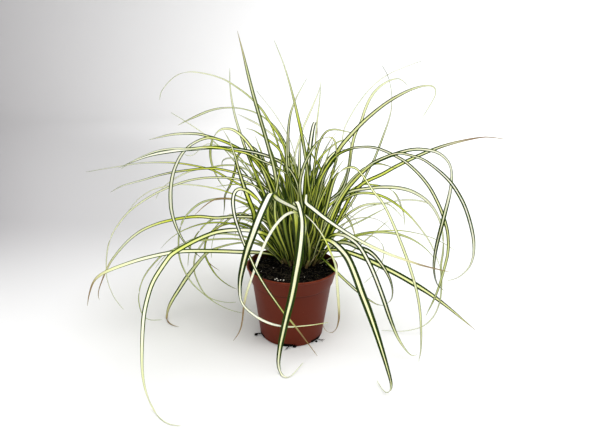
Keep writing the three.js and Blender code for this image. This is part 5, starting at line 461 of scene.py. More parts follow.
        ("GGGG", 0.46, 0, (23.4,24.3,80,1.5,160, 30.4,27.9,89.1,1.5,160, 32.9,29.1,92,1.5,160, 40.7,32.8,100.4,1.5,160, 49.4,36.4,107.9,1.5,161, 55.7,39,112.1,1.5,162, 69.3,44.7,118.2,1.7,163, 86.8,51.7,125,2,163, 104.2,58.2,132.7,1.3,163, 118.2,63.3,138.6,0.6,163)),
        ("OGGG", 0.51, 0, (23.5,26.3,80,1.7,160, 30.5,30.4,88.7,1.8,160, 38,35.1,96.5,1.8,161, 46.1,40.6,103.4,1.8,162, 52,44.6,107.1,1.8,164, 71.4,57.4,114.2,1.4,167, 84.4,66.4,117.8,1,168, 97.3,75.5,121.4,0.6,168)),
        ("YYPW", 0.42, 0, (21.8,25.4,80,1.7,161, 28.4,29.3,89.5,2.7,161, 35.3,33.8,98.5,3,161, 49.3,43.6,115.3,3,161, 60.7,52,129.3,3,161, 73.6,61.4,147,3,160, 81.2,66.7,160,3,160, 91,73.1,180.8,3,159, 98.3,77.7,194.2,3,159, 101.2,79.4,201.4,3,159, 107.6,83,219.9,2.6,159, 114.8,86.8,242.3,1.7,159, 116.8,87.5,254,1.2,159, 117,87.2,262,1,159, 115.6,85.5,273.6,0.8,161, 111,81.4,288.3,0.6,164, 105.7,76.9,298,0.6,168, 98.8,71.5,306.1,0.6,171)),
    ],
    "shoot_back_right_4": [
        ("PPPP", 0.41, 0, (19,26.2,80,1.2,168, 22,28.7,91.2,1.2,168, 25.9,31.9,106.2,1.2,168, 33.2,37.5,132.8,1.2,168, 41.2,43.6,163.3,1.2,168, 48.3,48.9,189.9,1.2,168, 55.6,54.3,216.4,1.2,169, 57.1,55.1,232.1,1.2,169, 59.8,57,239.4,1.2,170, 67,62.1,252.8,1.2,171, 73.2,66.5,262.1,1.1,173, 82.4,73,273.5,1.1,175, 92.6,80.4,283.4,1.1,179, 100.9,86.4,289.7,1,182, 112.7,94.9,296.5,0.9,187, 121.9,101.6,300.4,0.8,190, 140.6,115.3,307.1,0.6,193, 159.3,129.1,313.2,0.6,193)),
        ("OGGO", 0.65, 0, (17,26.1,80,1.7,170, 18.9,27.7,90.9,2.4,172, 19.4,27.6,107.1,2.4,173, 20.4,27.4,123,2.4,173, 19.9,27.1,139,2.4,175, 18,26.9,155.4,2.4,175, 17.9,29.1,171,2.4,175, 18.9,30.5,178.7,2.4,175, 20.8,32.5,186.3,2.4,175, 23.8,35.3,193.4,2.4,176, 29.5,41.5,201.6,2.4,180, 38.9,50.2,210.5,2.3,185, 50.5,57.6,218.3,2,192, 57.4,60.9,220.5,1.6,201, 60.9,62.5,220.8,1.4,209, 64.2,64,219.9,1.1,219, 66.5,65.4,217.5,0.9,230, 68.2,68,210.4,0.6,242)),
        ("D", 0, 0, (18,24.4,80,1.7,126, 19.1,28,84.2,2,124, 20.3,27.3,92.7,2.7,124, 20.9,27.3,96.8,3,123, 23,30.3,116.6,4.1,122, 25.6,33.3,136.1,4.3,119, 30.7,38.4,159.5,2.6,117, 37,44.9,182.3,0.6,115)),
    ],
    "shoot_back_right_5": [
        ("W", 0, 0.8596807708836468, (20.1,32,80,1.7,127, 24.8,37.1,89.9,2.7,132, 28.2,40.9,96.2,3.3,135, 33.9,47.4,104.7,4.2,141, 37.9,52.3,109.6,4.3,145, 47.1,63.3,117.1,4.6,153, 52.2,69.2,119.4,4.6,157, 57.4,75.3,120.6,4.6,161, 62.7,81.3,120.7,4.2,164, 68,87.4,119.5,3.7,167, 73.1,93.1,117.1,3.2,167, 78,98.5,113.5,2.6,161, 82.4,103.3,108.7,2.1,163, 86.1,107.4,102.8,1.4,166, 90.4,111.9,92.4,0.6,171)),
        ("W", 0, 0.8944799024426778, (20.6,30,80,1.7,108, 25.1,34.5,90.6,2.7,110, 26.7,36.1,94,3,110, 33.9,43.2,106.8,4.3,113, 42.1,51.6,117.8,5.6,116, 49,58.9,124.4,5.7,118, 58.9,70,130.7,4.7,122, 66.5,78.9,133.2,3.6,126, 76.7,91.4,133.1,1.9,131, 83.9,100.7,130.5,0.6,135)),
        ("Y", 0, 0, (22,31.4,80,1.7,108, 27.9,36.6,88.6,2.5,110, 34.4,42.5,96.3,2.6,112, 47.5,53.5,106.4,2.8,116, 56,60.7,110.9,2.9,119, 64.9,68.1,114,3,122, 74,75.7,115.8,3.1,124, 83.2,83.4,116.1,3.1,127, 92.4,91.1,115.1,3,129, 101.4,98.6,112.7,2.7,132, 110.2,105.9,109,2.3,133, 118.5,112.9,104,1.9,123, 131.3,123.5,93,1.2,122, 138.2,129.2,84.9,0.7,124, 144.2,134.2,75.8,0.6,126)),
    ],
    "shoot_back_right_6": [
        ("O", 0, 0, (16.5,34.9,80,1.7,168, 19.7,41.3,90.3,2.7,165, 20.7,43.7,93.6,3,164, 26.2,56.8,109.9,4.6,158, 29.2,61.3,115.9,5.1,156, 33,66,120.5,5.2,153, 38.8,74.7,126.5,5.4,149, 44.6,84.2,131.4,5.6,145, 48.8,90.9,133.6,5.6,143, 55.2,101.2,135.3,5.1,140, 59.6,108.1,135.2,4.6,137, 66.1,118.2,133.1,3.8,129, 70.3,124.7,130.5,3.3,117, 76.2,133.6,124.6,2.4,111, 79.7,138.9,119.5,1.8,109, 82.8,143.6,113.5,1.1,107, 85.4,147.4,106.8,0.6,105)),
        ("W", 0, 0, (15.3,36.5,80,1.7,171, 18.4,43.9,89,2.7,170, 19.4,46.4,91.9,3,170, 23.7,57.2,102.9,4.3,169, 28,69.2,112.6,4.6,169, 31.5,78.9,118.7,4.8,168, 35.3,89.2,123.6,4.9,168, 39.3,100,127.1,5.1,168, 43.6,111.1,129.1,5.1,168, 47.9,122.3,129.4,5.1,168, 52.3,133.4,127.9,4.7,166, 56.6,144.1,124.6,4.1,154, 60.7,154.2,119.5,3.6,152, 64.4,163.3,112.7,3,152, 67.7,171.2,104.3,2.4,152, 70.4,177.6,94.5,1.7,152, 72.4,182.2,83.5,0.8,152, 73.2,184.1,75.8,0.6,151)),
        ("D", 0, 0, (17.3,36.8,80,1.7,129, 19.5,41.7,85.7,2.3,130, 20.7,44.4,88.4,2.7,131, 23.2,50,93.2,3.2,132, 28.9,62.9,100.9,3.4,134, 33.5,73.4,104.8,3.5,137, 36.5,80.8,106.5,3.7,138, 42.5,95.8,107.4,3.7,142, 48.2,110.8,105.3,3.2,145, 53.4,125.2,100.1,2.5,136, 57.8,138.6,92,1.6,139, 60.6,147.5,84.3,0.8,142, 62.2,152.9,78.4,0.6,143)),
    ],
    "shoot_centre_1": [
        ("OGPP", 0.34, 0, (2.6,15.9,80,1.7,-168, 0.4,15.7,91.7,2.7,-169, -0.1,15.7,95.6,3,-170, -3.8,16.4,123,3.4,-170, -4.6,16.5,139.3,3.4,-171, -6,19.6,160.1,3.4,-171, -7.7,20.7,180,3.4,-171, -8.2,21.6,199.7,3.3,-171, -10.4,22.1,215.5,3.1,-170, -17,23.5,230,3,-170, -26.6,25.5,242.7,2.7,-170, -35.3,27.4,255.9,2.3,-170, -43.5,29.1,264.6,2.1,-171, -52.5,31,272.3,1.9,-172, -72.5,35.2,285,1.4,-175, -79.7,36.7,288.2,1.3,-177, -91,39.1,291.6,1.2,-178, -110.3,43.2,294.6,1,-168, -118.2,44.9,294.5,1,-144, -125.9,46.5,293.2,0.9,-92, -129.6,47.3,291.9,0.9,-72, -136.4,48.7,288.1,0.8,-49, -142.6,50,283.2,0.6,-42, -150.7,51.7,274.4,0.6,-42, -152.8,52.2,271.1,0.6,-43, -155,52.6,263.5,0.6,-45)),
        ("OGPP", 0.4, 0, (2.2,17.8,80,1.7,-169, -0.1,18.1,91.6,2.5,-168, -1,18.3,95.4,2.5,-168, -4,19.4,110.7,2.5,-170, -4.8,20.5,122.8,2.5,-171, -5,23.2,134.5,2.5,-171, -4.9,24.6,142.9,2.5,-171, -6.1,23.8,159.3,2.5,-169, -8.3,24.4,175.3,2.5,-169, -10.8,25.3,191.1,2.5,-169, -15.4,26.8,210.6,2.3,-168, -24.8,29.6,236.9,1.8,-169, -28.6,30.7,243.6,1.6,-171, -38,33.8,250.2,1.4,-175, -48.7,37.3,254.3,1.3,-179, -63.8,42.2,256.9,1.2,-183, -79,47.1,256.6,1.7,-188, -90.3,50.8,254.8,2.1,-191, -101.4,54.4,251.5,2.5,-195, -115.5,58.9,245.5,2.7,-197, -129.5,63.4,239,2.5,-198, -139.8,66.6,233.7,1.5,-200)),
        ("D", 0, 0, (4.1,17.1,80,1.7,-119, 2.7,16.2,84.1,2,-120, 2,17.3,92.4,2.7,-122, -0.2,19.2,108.9,3.9,-124, -1.9,20.2,133.3,4.3,-126, -8.8,21.7,152.3,4.5,-128, -11.1,22.2,167.6,3.7,-130, -13.7,23.1,179.2,3,-131, -18.5,24.9,194.5,1.9,-132, -25.5,27.6,213.3,0.6,-134)),
    ],
    "shoot_centre_2": [
        ("YWVVV", 0.43, 0, (5,9.9,80,1.7,-167, 3.2,9.3,88.1,2.3,-169, 2.7,8.9,92.2,2.7,-170, 1.9,8.4,99.8,3.3,-171, 1.8,7.7,114.3,4,-174, 2.6,8.5,126.2,4,-175, 3.8,11.5,138.8,4,-175, 4.8,12.8,146.8,4,-175, 5.9,12.6,158.6,4,-174, 5.5,13.5,170.7,4,-172, 3.6,14.2,178.8,4,-170, -2,14.4,190,4,-168, -7,13.9,196.3,4,-166, -13.2,13.4,201.1,4,-164, -20,12.4,204.9,4,-162, -27,10.3,208.2,4,-161, -34.2,7.7,211,4,-160, -45.4,4.6,214.2,4,-159, -64.5,0,217.8,4,-158, -87.6,-5.5,219.6,4,-158, -103.1,-9.1,218.5,3.9,-158, -118.6,-12.7,217.4,3.9,-158, -141.6,-18,213.9,3.8,-158, -156.5,-21.4,209.5,3.3,-159, -178,-26.2,200.2,1.3,-160)),
        ("YOPP", 0.42, 0, (6.5,11.2,80,1.7,14, 1.5,5.3,83.2,2,-1, 1.1,4.9,86.5,2.3,-18, 2.6,7,90.2,2.7,-24, 3.8,8.7,94.2,3,-28, 4.4,9.4,98.5,3.1,-29, 5.3,10.4,119.7,3.1,-31, 5.8,12.6,131.6,3.1,-32, 7.7,15.1,144.1,3.1,-32, 7.9,15.6,148.4,3.1,-31, 6.7,16.4,156.4,3.1,-30, 3,16.2,168,3.1,-33, -2.6,13.2,182.5,3.1,-65, -7,11.3,188.5,3.1,-117, -12.7,8.5,193.4,3.1,-152, -22.1,5.2,199.6,3.1,-171, -35.6,1,206.1,3,-175, -48.8,-3.8,213.5,2.9,-175, -63.3,-8.2,217.4,2.8,-173, -77.8,-14.6,221,2.7,-172, -85.2,-17.5,221.8,2.7,-171, -92.6,-20.3,222,2.6,-170, -103.7,-24.4,220.8,2.3,-170, -118.6,-29.9,221.7,1.9,-170, -133.5,-35.3,220.1,1.5,-170, -154.5,-42.9,211.9,0.8,-170, -167.3,-47.5,203.7,0.6,-171)),
        ("D", 0, 0, (4.6,11.8,80,1.7,-95, 3.5,11.4,92.3,2.7,-96, 3.1,11.4,96.4,3,-97, 0.9,11.8,112.4,4.3,-98, -3.3,10.7,131.9,4.8,-99, -7.5,9.7,152.4,5.1,-101, -11,9.5,164.2,5.1,-102, -14.8,9.8,184.4,4.1,-104, -18.5,10,196.2,3.3,-105, -20.5,8.4,203.9,2.8,-106, -22.6,7.9,211.4,2.3,-107, -31.8,8.9,234.1,0.6,-109)),
    ],
    "shoot_centre_3": [
        ("C", 0, 0, (10,14.4,80,1.7,-149, 8.9,13.5,87.6,2.4,-151, 8.6,14,91.8,2.7,-153, 8.1,18.5,113.7,4.2,-160, 7.4,21.7,129.7,4.4,-166, 6.6,21.2,141.6,4.6,-169, 4,21,152.9,4.7,-172, 2.3,21.7,160.7,4.7,-175, -1.9,27.4,183.5,3.4,-184, -6.1,32.6,197.8,2.5,-190, -10.6,36.4,213.6,1.3,-196, -13.7,40.3,225.2,0.6,-199)),
        ("D", 0, 0, (8.3,13.5,80,1.7,-146, 12.6,16.7,83,2,-147, 10.8,13.4,87.1,2.3,-135, 8.9,11.5,91.5,2.7,-134, 8,11.9,95.6,3,-135, 7.8,13,99.6,3.3,-136, 7.7,15.5,120.5,4.9,-142, 4.5,18.3,132.3,5.6,-146, 2.6,18.3,140.8,5.3,-150, 2.3,15.7,153.2,4.2,-153, 1.1,14,161,3.4,-154, -1.4,14,168.5,2.5,-155, -5.8,15.6,183.7,0.6,-159)),
        ("Y", 0, 0, (9.9,12.4,80,1.7,-57, 11.5,13.3,84.2,2,-55, 10.3,12.7,92.8,2.7,-55, 11.1,11.8,113.4,4.3,-55, 11.1,10.6,125.7,5.3,-54, 10.3,9.4,134,5.8,-53, 5.7,7.7,145.5,5.9,-52, 4.7,7.3,149.4,5.9,-52, 4.4,7,153.7,5.9,-53, 5.5,5.4,162.1,5.4,-51, 4.9,2.1,169.8,4.7,-46, -0.7,-1.7,180.5,3.7,-44, -3.6,-4,187.7,3,-44, -10.2,-13.6,209.3,0.6,-45)),
    ],
    "shoot_centre_4": [
        ("Y", 0, 0, (13.6,14.3,80,1.7,103, 15,14.5,87.8,2.3,104, 15.2,14.2,91.6,2.7,105, 16.2,12.5,111,4.2,108, 16.5,10.5,123.7,4.4,110, 17.1,10.5,133.1,4.5,111, 19.2,11.8,141.2,4.6,112, 23,12.8,152.1,4.7,114, 26,10.2,172.2,4.4,118, 28.3,10.1,184.3,3.8,119, 34.7,10.7,203.6,2.6,122, 39.5,9.7,219,1.6,124, 44.5,8.3,234.3,0.6,126)),
        ("Y", 0, 0, (15.4,13.4,80,1.7,26, 16.7,13.7,88.3,2.4,28, 17.2,13.5,92.5,2.7,29, 18.9,12.7,104.8,3.7,33, 21.3,11.9,120.3,4.3,39, 25.5,11.8,140.2,4.6,46, 27.8,9.7,156.4,4.4,51, 29.6,9.2,164.3,3.9,53, 37.8,6.3,187,2.3,60, 48.2,1.7,208.7,0.6,67)),
        ("D", 0, 0, (15.2,15.4,80,1.7,126, 16.5,15.8,92.6,2.7,126, 16.9,15.9,96.8,3,126, 17.6,15.9,113.4,4.3,127, 17.8,15,121.8,4.9,127, 19.3,13.8,130.4,5.1,125, 21.8,14.7,138.2,5.2,125, 23.9,17.1,149.3,5.2,125, 26,17.8,161.2,4.6,125, 31.5,19.3,181.4,3.1,126, 34.6,18.5,197.4,1.6,127, 37.8,18.7,209.2,0.6,127)),
    ],
    "shoot_centre_5": [
        ("OOOO", 0.61, 0, (11.7,17,80,1.7,179, 12.7,18.8,83.7,2,179, 13.2,19.5,87.6,2.3,180, 13.3,19.1,91.9,2.7,181, 12.9,16.7,103.9,3.6,182, 12.9,16.3,115.5,4.2,182, 12.2,17.1,131.6,4.2,183, 10.7,19.2,151.1,4.2,183, 8,20.4,162.9,4.1,184, 2.5,24.5,185.8,3.3,184, -3.6,26.7,200.3,1.7,185, -9.7,29.4,210.2,0.6,184)),
        ("O", 0, 0, (9.9,17.9,80,1.7,176, 10.4,18.9,91.8,2.7,175, 11.7,19.9,103.4,3.6,175, 12.8,21.6,123.9,5.3,175, 12.6,23.6,135.9,5.8,175, 12.4,26.7,148,5.9,174, 13.4,35.1,170.8,4.8,174, 14,41.7,185.5,3.6,173, 14.6,49.7,199.6,2.1,173, 15,58.9,212.8,0.6,172)),
        ("O", 0, 0, (11.6,19,80,1.7,-155, 10.1,15.8,85.4,2,-156, 10.4,18.7,89.8,2.4,-159, 10.5,20.9,93.5,2.7,-161, 9.5,22.6,109.4,4,-171, 10.2,25.6,125.3,4.4,-179, 10.7,29,140.7,4.5,-187, 11.2,32.8,152.2,3.6,-193, 11.5,37.5,163.4,2.7,-199, 11.8,43.3,174.2,1.6,-204, 12.1,50,184.5,0.6,-209)),
    ],
    "shoot_centre_6": [
        ("YPPP", 0.63, 0, (13.3,22.8,80,1.7,175, 14.6,25.2,91.2,1.9,175, 16.4,27.8,110.8,1.9,175, 18.3,29.9,127.2,1.9,174, 20.7,30.4,143.3,1.9,174, 23.2,31.5,163,1.9,175, 24,33.7,179.2,1.9,175, 24.4,42.3,206.1,1.9,175, 24.5,50,224.8,1.8,176, 26,58.4,243.1,1.8,176, 28.4,68.9,264.7,1.3,176, 29.5,78,282.6,0.6,176)),
        ("C", 0, 0, (12.3,21.1,80,1.7,117, 15.3,27.9,84.5,2,116, 15.1,26.4,89,2.4,120, 14.4,24.3,93.2,2.7,124, 14,23.3,97.1,3,127, 13.9,23.4,101,3.3,129, 15.1,26.3,121.5,4.6,141, 16.3,29.4,141.4,4.8,152, 20.3,32.3,165.2,3.4,165, 24.4,36.5,180.5,2,173, 29,40.4,195.7,0.6,181)),
        ("Y", 0, 0, (11.3,22.9,80,1.7,-154, 11.3,24.6,91.9,2.7,-156, 10.9,27.4,107.7,4,-159, 10.2,31.3,123.1,5.2,-162, 9.7,35.3,134.4,5.5,-165, 8.3,40.1,145.8,5.7,-167, 3.7,48,163.9,6,-171, 1.2,53.8,174.2,6.1,-173, -2.5,62.7,187.1,6.1,-176, -7,72.6,199,5.6,-179, -10.8,80.7,207.2,5,-181, -15,89.2,214.6,4.4,-184, -19.7,98.2,221.2,3.8,-186, -26.4,110.8,228.6,2.9,-189, -31.9,120.6,233.1,2.1,-191, -37.7,130.7,236.6,1.3,-193, -43.9,140.8,239,0.6,-194)),
    ],
    "shoot_centre_7": [
        ("O", 0, 0, (6.7,24.1,80,1.7,-163, 6.8,25.8,84,2,-164, 5.9,26.3,92.1,2.7,-166, 5.6,26.6,96.2,3,-167, 4.7,28.9,112.4,4.3,-172, 4.1,32.2,128.6,5.6,-176, 4.1,35.4,144.7,5.5,-181, 3.5,39,156.3,4.4,-185, 1.2,43.7,175.5,2.4,-190, -0.1,48,191.2,0.6,-194)),
        ("W", 0, 0.9229989249002064, (6.4,26,80,1.7,173, 5.5,28.6,91.7,2.7,172, 5.1,29.7,95.5,3,172, 3.2,35.5,110.4,3.9,171, -0.5,43.2,124.2,4.1,169, -5.4,52.7,136.3,4.2,168, -10.8,63.8,146.8,4.4,167, -17,76.2,155.2,4.5,166, -25.3,92.7,163.1,4.6,164, -33.5,106.3,167.2,4.6,162, -40.3,116.9,167.3,4.5,162, -49.4,134.9,163.6,3.8,166, -55.2,145.1,160.2,3.4,176, -62.8,157.7,153.5,2.9,177, -70,169.1,144.5,2.3,175, -76.3,179,133.4,1.6,174, -81.7,187.2,120.5,0.9,173, -85,192.1,109.9,0.6,172)),
        ("Y", 0, 0, (8.2,25.3,80,1.7,172, 8,27.4,92,2.7,174, 7.9,28.3,96,3,174, 6.8,32.8,111.6,4.1,177, 6.2,38.6,130.8,4.3,181, 6,49.2,152.7,4.6,186, 5.9,57.4,166.7,4.7,188, 5.9,72,186.1,4.2,193, 6.1,88.7,203.8,3.1,197, 6.7,107.4,219.5,1.8,201, 7.6,127.6,233,0.6,205)),
    ],
    "shoot_centre_8": [
        ("CWYP", 0.35, 0, (5.9,19.3,80,1.7,-174, 5.9,20.2,87.7,2.3,-172, 5.5,19.8,91.5,2.7,-172, 4.1,17.6,107.3,3.9,-171, 1.1,15,126.8,4.6,-170, -0.5,14.1,138.5,4.6,-171, -1.6,14.2,146.6,4.6,-171, -2.4,15.6,154.9,4.6,-171, -2.8,20.5,174.5,4.4,-172, -4.8,25.3,189.7,4.3,-172, -6.6,30.8,204.5,4.1,-171, -7.1,35.7,215.5,3.8,-171, -7.4,44.1,229.6,3.4,-169, -5.2,55.9,250.5,2.6,-165, 0.4,66.4,266.7,1.5,-160, 6.7,75.1,278.7,0.9,-158, 13.4,84,290.1,0.6,-157)),
        ("GPPP", 0.65, 0, (5.7,21.3,80,1.7,-171, 5,21,84,2,-172, 4.6,22.1,91.7,2.1,-173, 6.1,25.6,119.4,2.1,-174, 6.3,25.6,144.1,2.1,-173, 5.6,27.2,168.3,2.1,-173, 3.8,29.2,184.2,2.1,-172, -0.3,32.5,199.3,2.1,-173, -3.6,35,205.9,2.1,-174, -8,37.7,212.1,2.1,-176, -18.9,43.3,222.7,2.1,-179, -40.8,54,236.8,1.9,-181, -54.4,60,242.8,2.1,-184, -68.3,66,248.4,1,-185)),
        ("Y", 0, 0, (7.5,20.5,80,1.7,-141, 6.7,21.1,92.9,2.7,-145, 4.6,21.3,109.6,4,-152, 2.5,23.9,125.7,5.3,-160, 1.4,28.4,153.5,5.3,-173, -2.7,35.6,181.1,2.9,-186, -7.4,44,203.8,0.6,-197)),
    ],
    "shoot_front_1": [
        ("front_left_long", 0, 0, (5.2,-3,80,1.7,0, 5.3,-6,87.3,2.3,-3, 5.6,-7.3,91,2.7,-4, 6.1,-8.4,94.8,3,-5, 9.1,-12.3,109.9,4.3,-8, 12.4,-16,125.2,4.4,-6, 13.9,-19.1,136.8,4.4,-2, 13.3,-23.1,148,4.4,9, 10.9,-26.8,154.7,4.4,20, 6.6,-31,159.9,4.5,29, 1.6,-35.4,164.4,4.7,34, -14.4,-48.4,176.7,6.2,25, -18,-52.9,182.2,7.7,10, -19.2,-55.7,184.5,7.7,0, -20.3,-59,185.4,7.6,-29, -21.4,-62.5,184.8,7.7,-37, -26.6,-84.3,176.1,7.6,-47, -28.4,-91.2,172.4,7.4,-46, -30.5,-96.5,167.1,7.3,-46, -33.2,-98.3,159.9,7.2,-47, -39.7,-99.5,141,6.9,-48, -45.5,-99.9,117.6,5.2,-52, -47.1,-98,105.8,4,-56, -47.5,-94.8,94.2,3,-62, -46.7,-92.7,86.6,2.3,-70, -43.8,-90.6,79.5,2.4,-78, -37,-87,70.2,2.7,-84, -29,-83.4,62,2.8,-88, -19.5,-80,55.4,2.6,-87, -12.3,-78.3,52.4,2.4,-76, -4.6,-76.9,50.4,2.1,-45, -0.7,-76.2,49.9,2.1,-96, 3.2,-75.6,49.6,1.9,-68, 7.2,-75,49.6,1.7,24, 23.1,-73,50.6,1,68, 38.9,-72,53.3,0.6,75)),
        ("front_middle", 0, 0, (4.3,-0.8,80,1.7,0, 4,-2.9,87.8,2.3,0, 3.9,-3.4,91.8,2.7,-1, 3.8,-4.6,104.1,3.6,-1, 4.1,-7.6,120.4,4.9,-2, 3.9,-10.5,139.2,6.2,0, 3.2,-13.2,150.3,6.2,2, 2.4,-16.8,157.6,6.7,2, 2.1,-21.5,164.4,6.9,1, 2.6,-24.4,167.1,6.8,2, 3.7,-27.6,168.7,6.8,24, 5.1,-31,168.6,6.5,29, 6.2,-34.3,167.1,6.3,30, 8.1,-40.5,162.4,6,31, 10,-48.6,153.8,6.2,28, 9.7,-57.9,140.8,7,26, 7.2,-70.7,120.6,7.9,25, 5.2,-76.1,110,7.7,25, 3.3,-79.8,98.7,7.6,25, 0.4,-83.1,83.3,7.7,26, -3.1,-85.3,67.8,7.3,25, -7,-85.7,48.2,6.5,25, -10.2,-84.2,28.4,5.5,23, -11.5,-84,12.5,4.5,25, -10.5,-84.4,4.8,3.7,37, -9.2,-86,2.1,3.1,54, -7.5,-88.9,1.2,2.5,17, -5,-91.6,1.1,1.9,22, -1.8,-92.3,1.1,1.3,-19, 1.4,-90.7,1.4,1,-111, 4.2,-88,2.3,0.8,-131, 8.4,-81.4,3.4,0.7,-152, 14.2,-67.1,1.1,0.6,-161)),
    ],
    "shoot_front_2": [
        ("OTTK", 0.16, 0, (15.7,-0.1,80,1.7,-6, 18.8,-0.5,87.2,2.3,-2, 19.3,-0.6,91.2,2.7,0, 19.3,-2,103.8,3.7,4, 18.2,-5.1,116.6,3.8,8, 16.6,-6.6,124.8,3.3,9, 13.2,-6.8,140.1,0.6,10)),
    ],
    "shoot_front_left_1": [
        ("D", 0, 0, (6.8,5.8,80,1.7,-34, 7.9,6,83.7,2,-31, 6.3,3.9,91,2.7,-25, 5.5,2.7,94.8,3,-24, 4.1,-0.4,107,4,-20, 2.4,-3.4,126.6,4.7,-13, 1.6,-5.2,142.5,4.9,-7, 1.4,-7.1,150.6,4.9,-4, 0.3,-12.4,166.1,3.9,3, -1.6,-17.9,181.1,2.8,10, -5.6,-29,206.7,0.6,20)),
        ("Y", 0, 0, (7.1,7.8,80,1.7,-38, 7.6,7,84,2,-36, 6.9,6.5,91.9,2.7,-34, 4.8,5.1,103.9,3.6,-31, 2.9,1.8,124.4,5.2,-28, 0.3,-0.2,136.6,5.2,-24, -7,-6,158.1,3.1,-18, -11.1,-10.1,168.7,1.9,-16, -15.8,-14.8,178.9,0.6,-13)),
        ("Y", 0, 0, (8.7,6.5,80,1.7,-3, 7.1,6.5,84.4,2,-4, 5.7,4.9,93.1,2.7,-8, 5.4,4,97.3,3,-10, 7,0.3,113.5,4.4,-15, 8,-3.9,141.4,4.6,-20, 6.5,-9.1,161.3,2.7,-23, 5.9,-14.4,181.4,0.6,-27)),
    ],
    "shoot_front_left_2": [
        ("OYYP", 0.39, 0, (-5.4,7.5,80,1.7,-158, -9.8,6.6,86.6,2.3,-157, -12.3,6.5,89.7,2.7,-157, -19.5,5.9,98.9,3.6,-156, -32.3,5.7,114.3,5.3,-157, -36.8,5.6,121,5.7,-159, -40.4,5.1,128.2,5.7,-161, -42.5,4,135.9,5.7,-164, -44,1.4,147.8,5.6,-164, -48.8,-1.2,162.9,5.5,-162, -53.4,-3.7,178.1,5.2,-163, -58.2,-7.2,197.4,4.2,-164, -62.4,-11.5,217,2.5,-163, -66.3,-12.6,228.3,1.3,-162, -71.8,-14,238.9,0.6,-161)),
        ("left_long", 0, 0, (-3.9,8.8,80,1.7,-159, -9.5,7.6,90.5,2.7,-159, -17.5,7.4,104.1,3.9,-158, -21,6.2,111.1,4.6,-155, -22.8,4.7,114.3,4.9,-151, -26.9,0.6,119.8,5.1,-144, -32.1,-3.9,124.3,5.1,-137, -44.1,-12.7,130.5,5,-128, -63.6,-26,135.3,5,-123, -80.1,-37.2,136.2,5,-118, -99.4,-50.6,131.2,4.9,-115, -117.4,-64.3,123.1,4.8,-112, -119.8,-66.7,121.3,4.7,-111, -128.8,-79.3,108.6,4.6,-108, -131.8,-84.3,103.2,4.5,-108, -134.1,-89,97.1,4.4,-107, -136.9,-97.7,83.9,4.3,-106, -137.8,-103.9,73.7,4.1,-106, -137.4,-113.7,56.2,3.5,-106, -136,-123.2,38.6,2.7,-106, -134.1,-129.3,28.4,2.2,-104, -130.9,-135.2,18.4,1.7,-93, -126.1,-140.2,8.6,1.4,-50, -124.1,-141.6,5.4,1.3,-107, -121.9,-143.4,2.8,1.2,-107, -119.4,-146,1.4,1.1,-80, -116.8,-148.9,1.1,1,20, -107.7,-156.8,1.1,0.7,68, -100.5,-160,1.1,0.6,81, -92.6,-160.9,1.1,0.6,86)),
        ("OOOG", 0.51, 0.7, (-3.5,6.9,80,1.7,-156, -8.7,5.6,86.5,2.3,-159, -10.8,5.1,90.3,2.3,-161, -12.5,5,94.4,2.3,-163, -18.6,6,117.5,2.3,-166, -25.4,7.3,135.3,2.3,-163, -32.3,7.4,144.5,2.3,-160, -38.4,6.6,149.1,2.3,-158, -62.5,-0.1,161.1,2,-155, -69.8,-2.2,163.3,1.9,-153, -77.3,-4.3,164.1,1.7,-152, -84.8,-6.4,163.3,1.4,-152, -88.3,-7.4,161.9,1.3,-152, -97.6,-10.1,155.3,0.9,-152, -106.1,-12.7,147.4,0.6,-153)),
    ],
    "shoot_front_left_3": [
        ("left_arch", 0, 0.86, (-1.5,1.2,80,1.7,4, -6,0.2,91.8,2.7,3, -10.6,2.4,108.3,3.9,2, -18.8,4.6,132.7,4.9,2, -23.9,5.3,143.7,4.9,-1, -28.3,4.8,150.6,4.9,-11, -32.6,1.7,156.6,4.9,-37, -34.5,-0.8,159.2,4.9,10, -36.2,-3.7,161.6,4.9,-19, -37.9,-6.5,164,4.8,-107, -41.3,-11.8,169,4.7,-134, -46.8,-19.7,176.2,3.8,-140, -53.2,-28.3,181.2,3,-122, -55.5,-31.5,181.7,3.7,-111, -57.6,-34.6,180.8,4.1,-99, -59,-37.4,178.7,4.2,-90, -59.7,-42.4,172.7,4.2,-78, -58,-49.2,162.9,4,-72, -56,-52.9,156.2,3.9,-70, -50.6,-58,142,3.5,-69, -44.8,-60.7,127.4,3.1,-69, -40,-62,116.5,3.1,-69, -35.3,-62.5,105.6,3.1,-70, -26.1,-62,87.6,3,-71, -13.4,-61.9,67.2,2.7,-73, -7.2,-60.5,57,2.4,-74, 3.6,-56.9,40.6,2,-73, 14.4,-54.8,23.8,1.4,-73, 25.2,-53.4,7,0.7,-73, 27.4,-53.7,3.9,0.6,-73, 29.8,-54.8,1.1,0.6,-73)),
        ("CCYO", 0.12, 0, (0.2,2.3,80,1.7,10, -3.3,1.3,84,2,7, -4.5,1.5,87.7,2.3,4, -4.7,2.1,91.6,2.6,3, -5.2,2.1,95.4,3,4, -8.8,-0.6,106.7,3.9,6, -16.5,-2.7,128.1,5.1,5, -19.4,-3.9,143.5,4.8,2, -19.8,-4.1,159.4,4.4,-1, -17.4,-5.1,179.2,3.2,-3, -16.3,-4.6,187,2.8,-3, -12.8,-1.8,206.1,1.3,-3, -12.4,-0.3,217.8,0.6,-3)),
        ("OOOO", 0.13, 0, (-1.5,3.2,80,1.7,5, -6.3,5.1,90.5,2.7,5, -7.9,5,94.2,3,6, -14.7,1.3,109,4.1,7, -21.5,1.4,122.7,4.5,6, -25.9,1.7,133.5,4.3,4, -27.8,1.2,141.5,4.1,1, -28.1,0.1,153.9,3.8,0, -28.6,0.3,157.9,3.6,0, -35.6,4.2,176.2,2.4,1, -41.5,7.1,191,1.3,1, -46.5,10,201.7,0.6,1)),
    ],
    "shoot_front_left_4": [
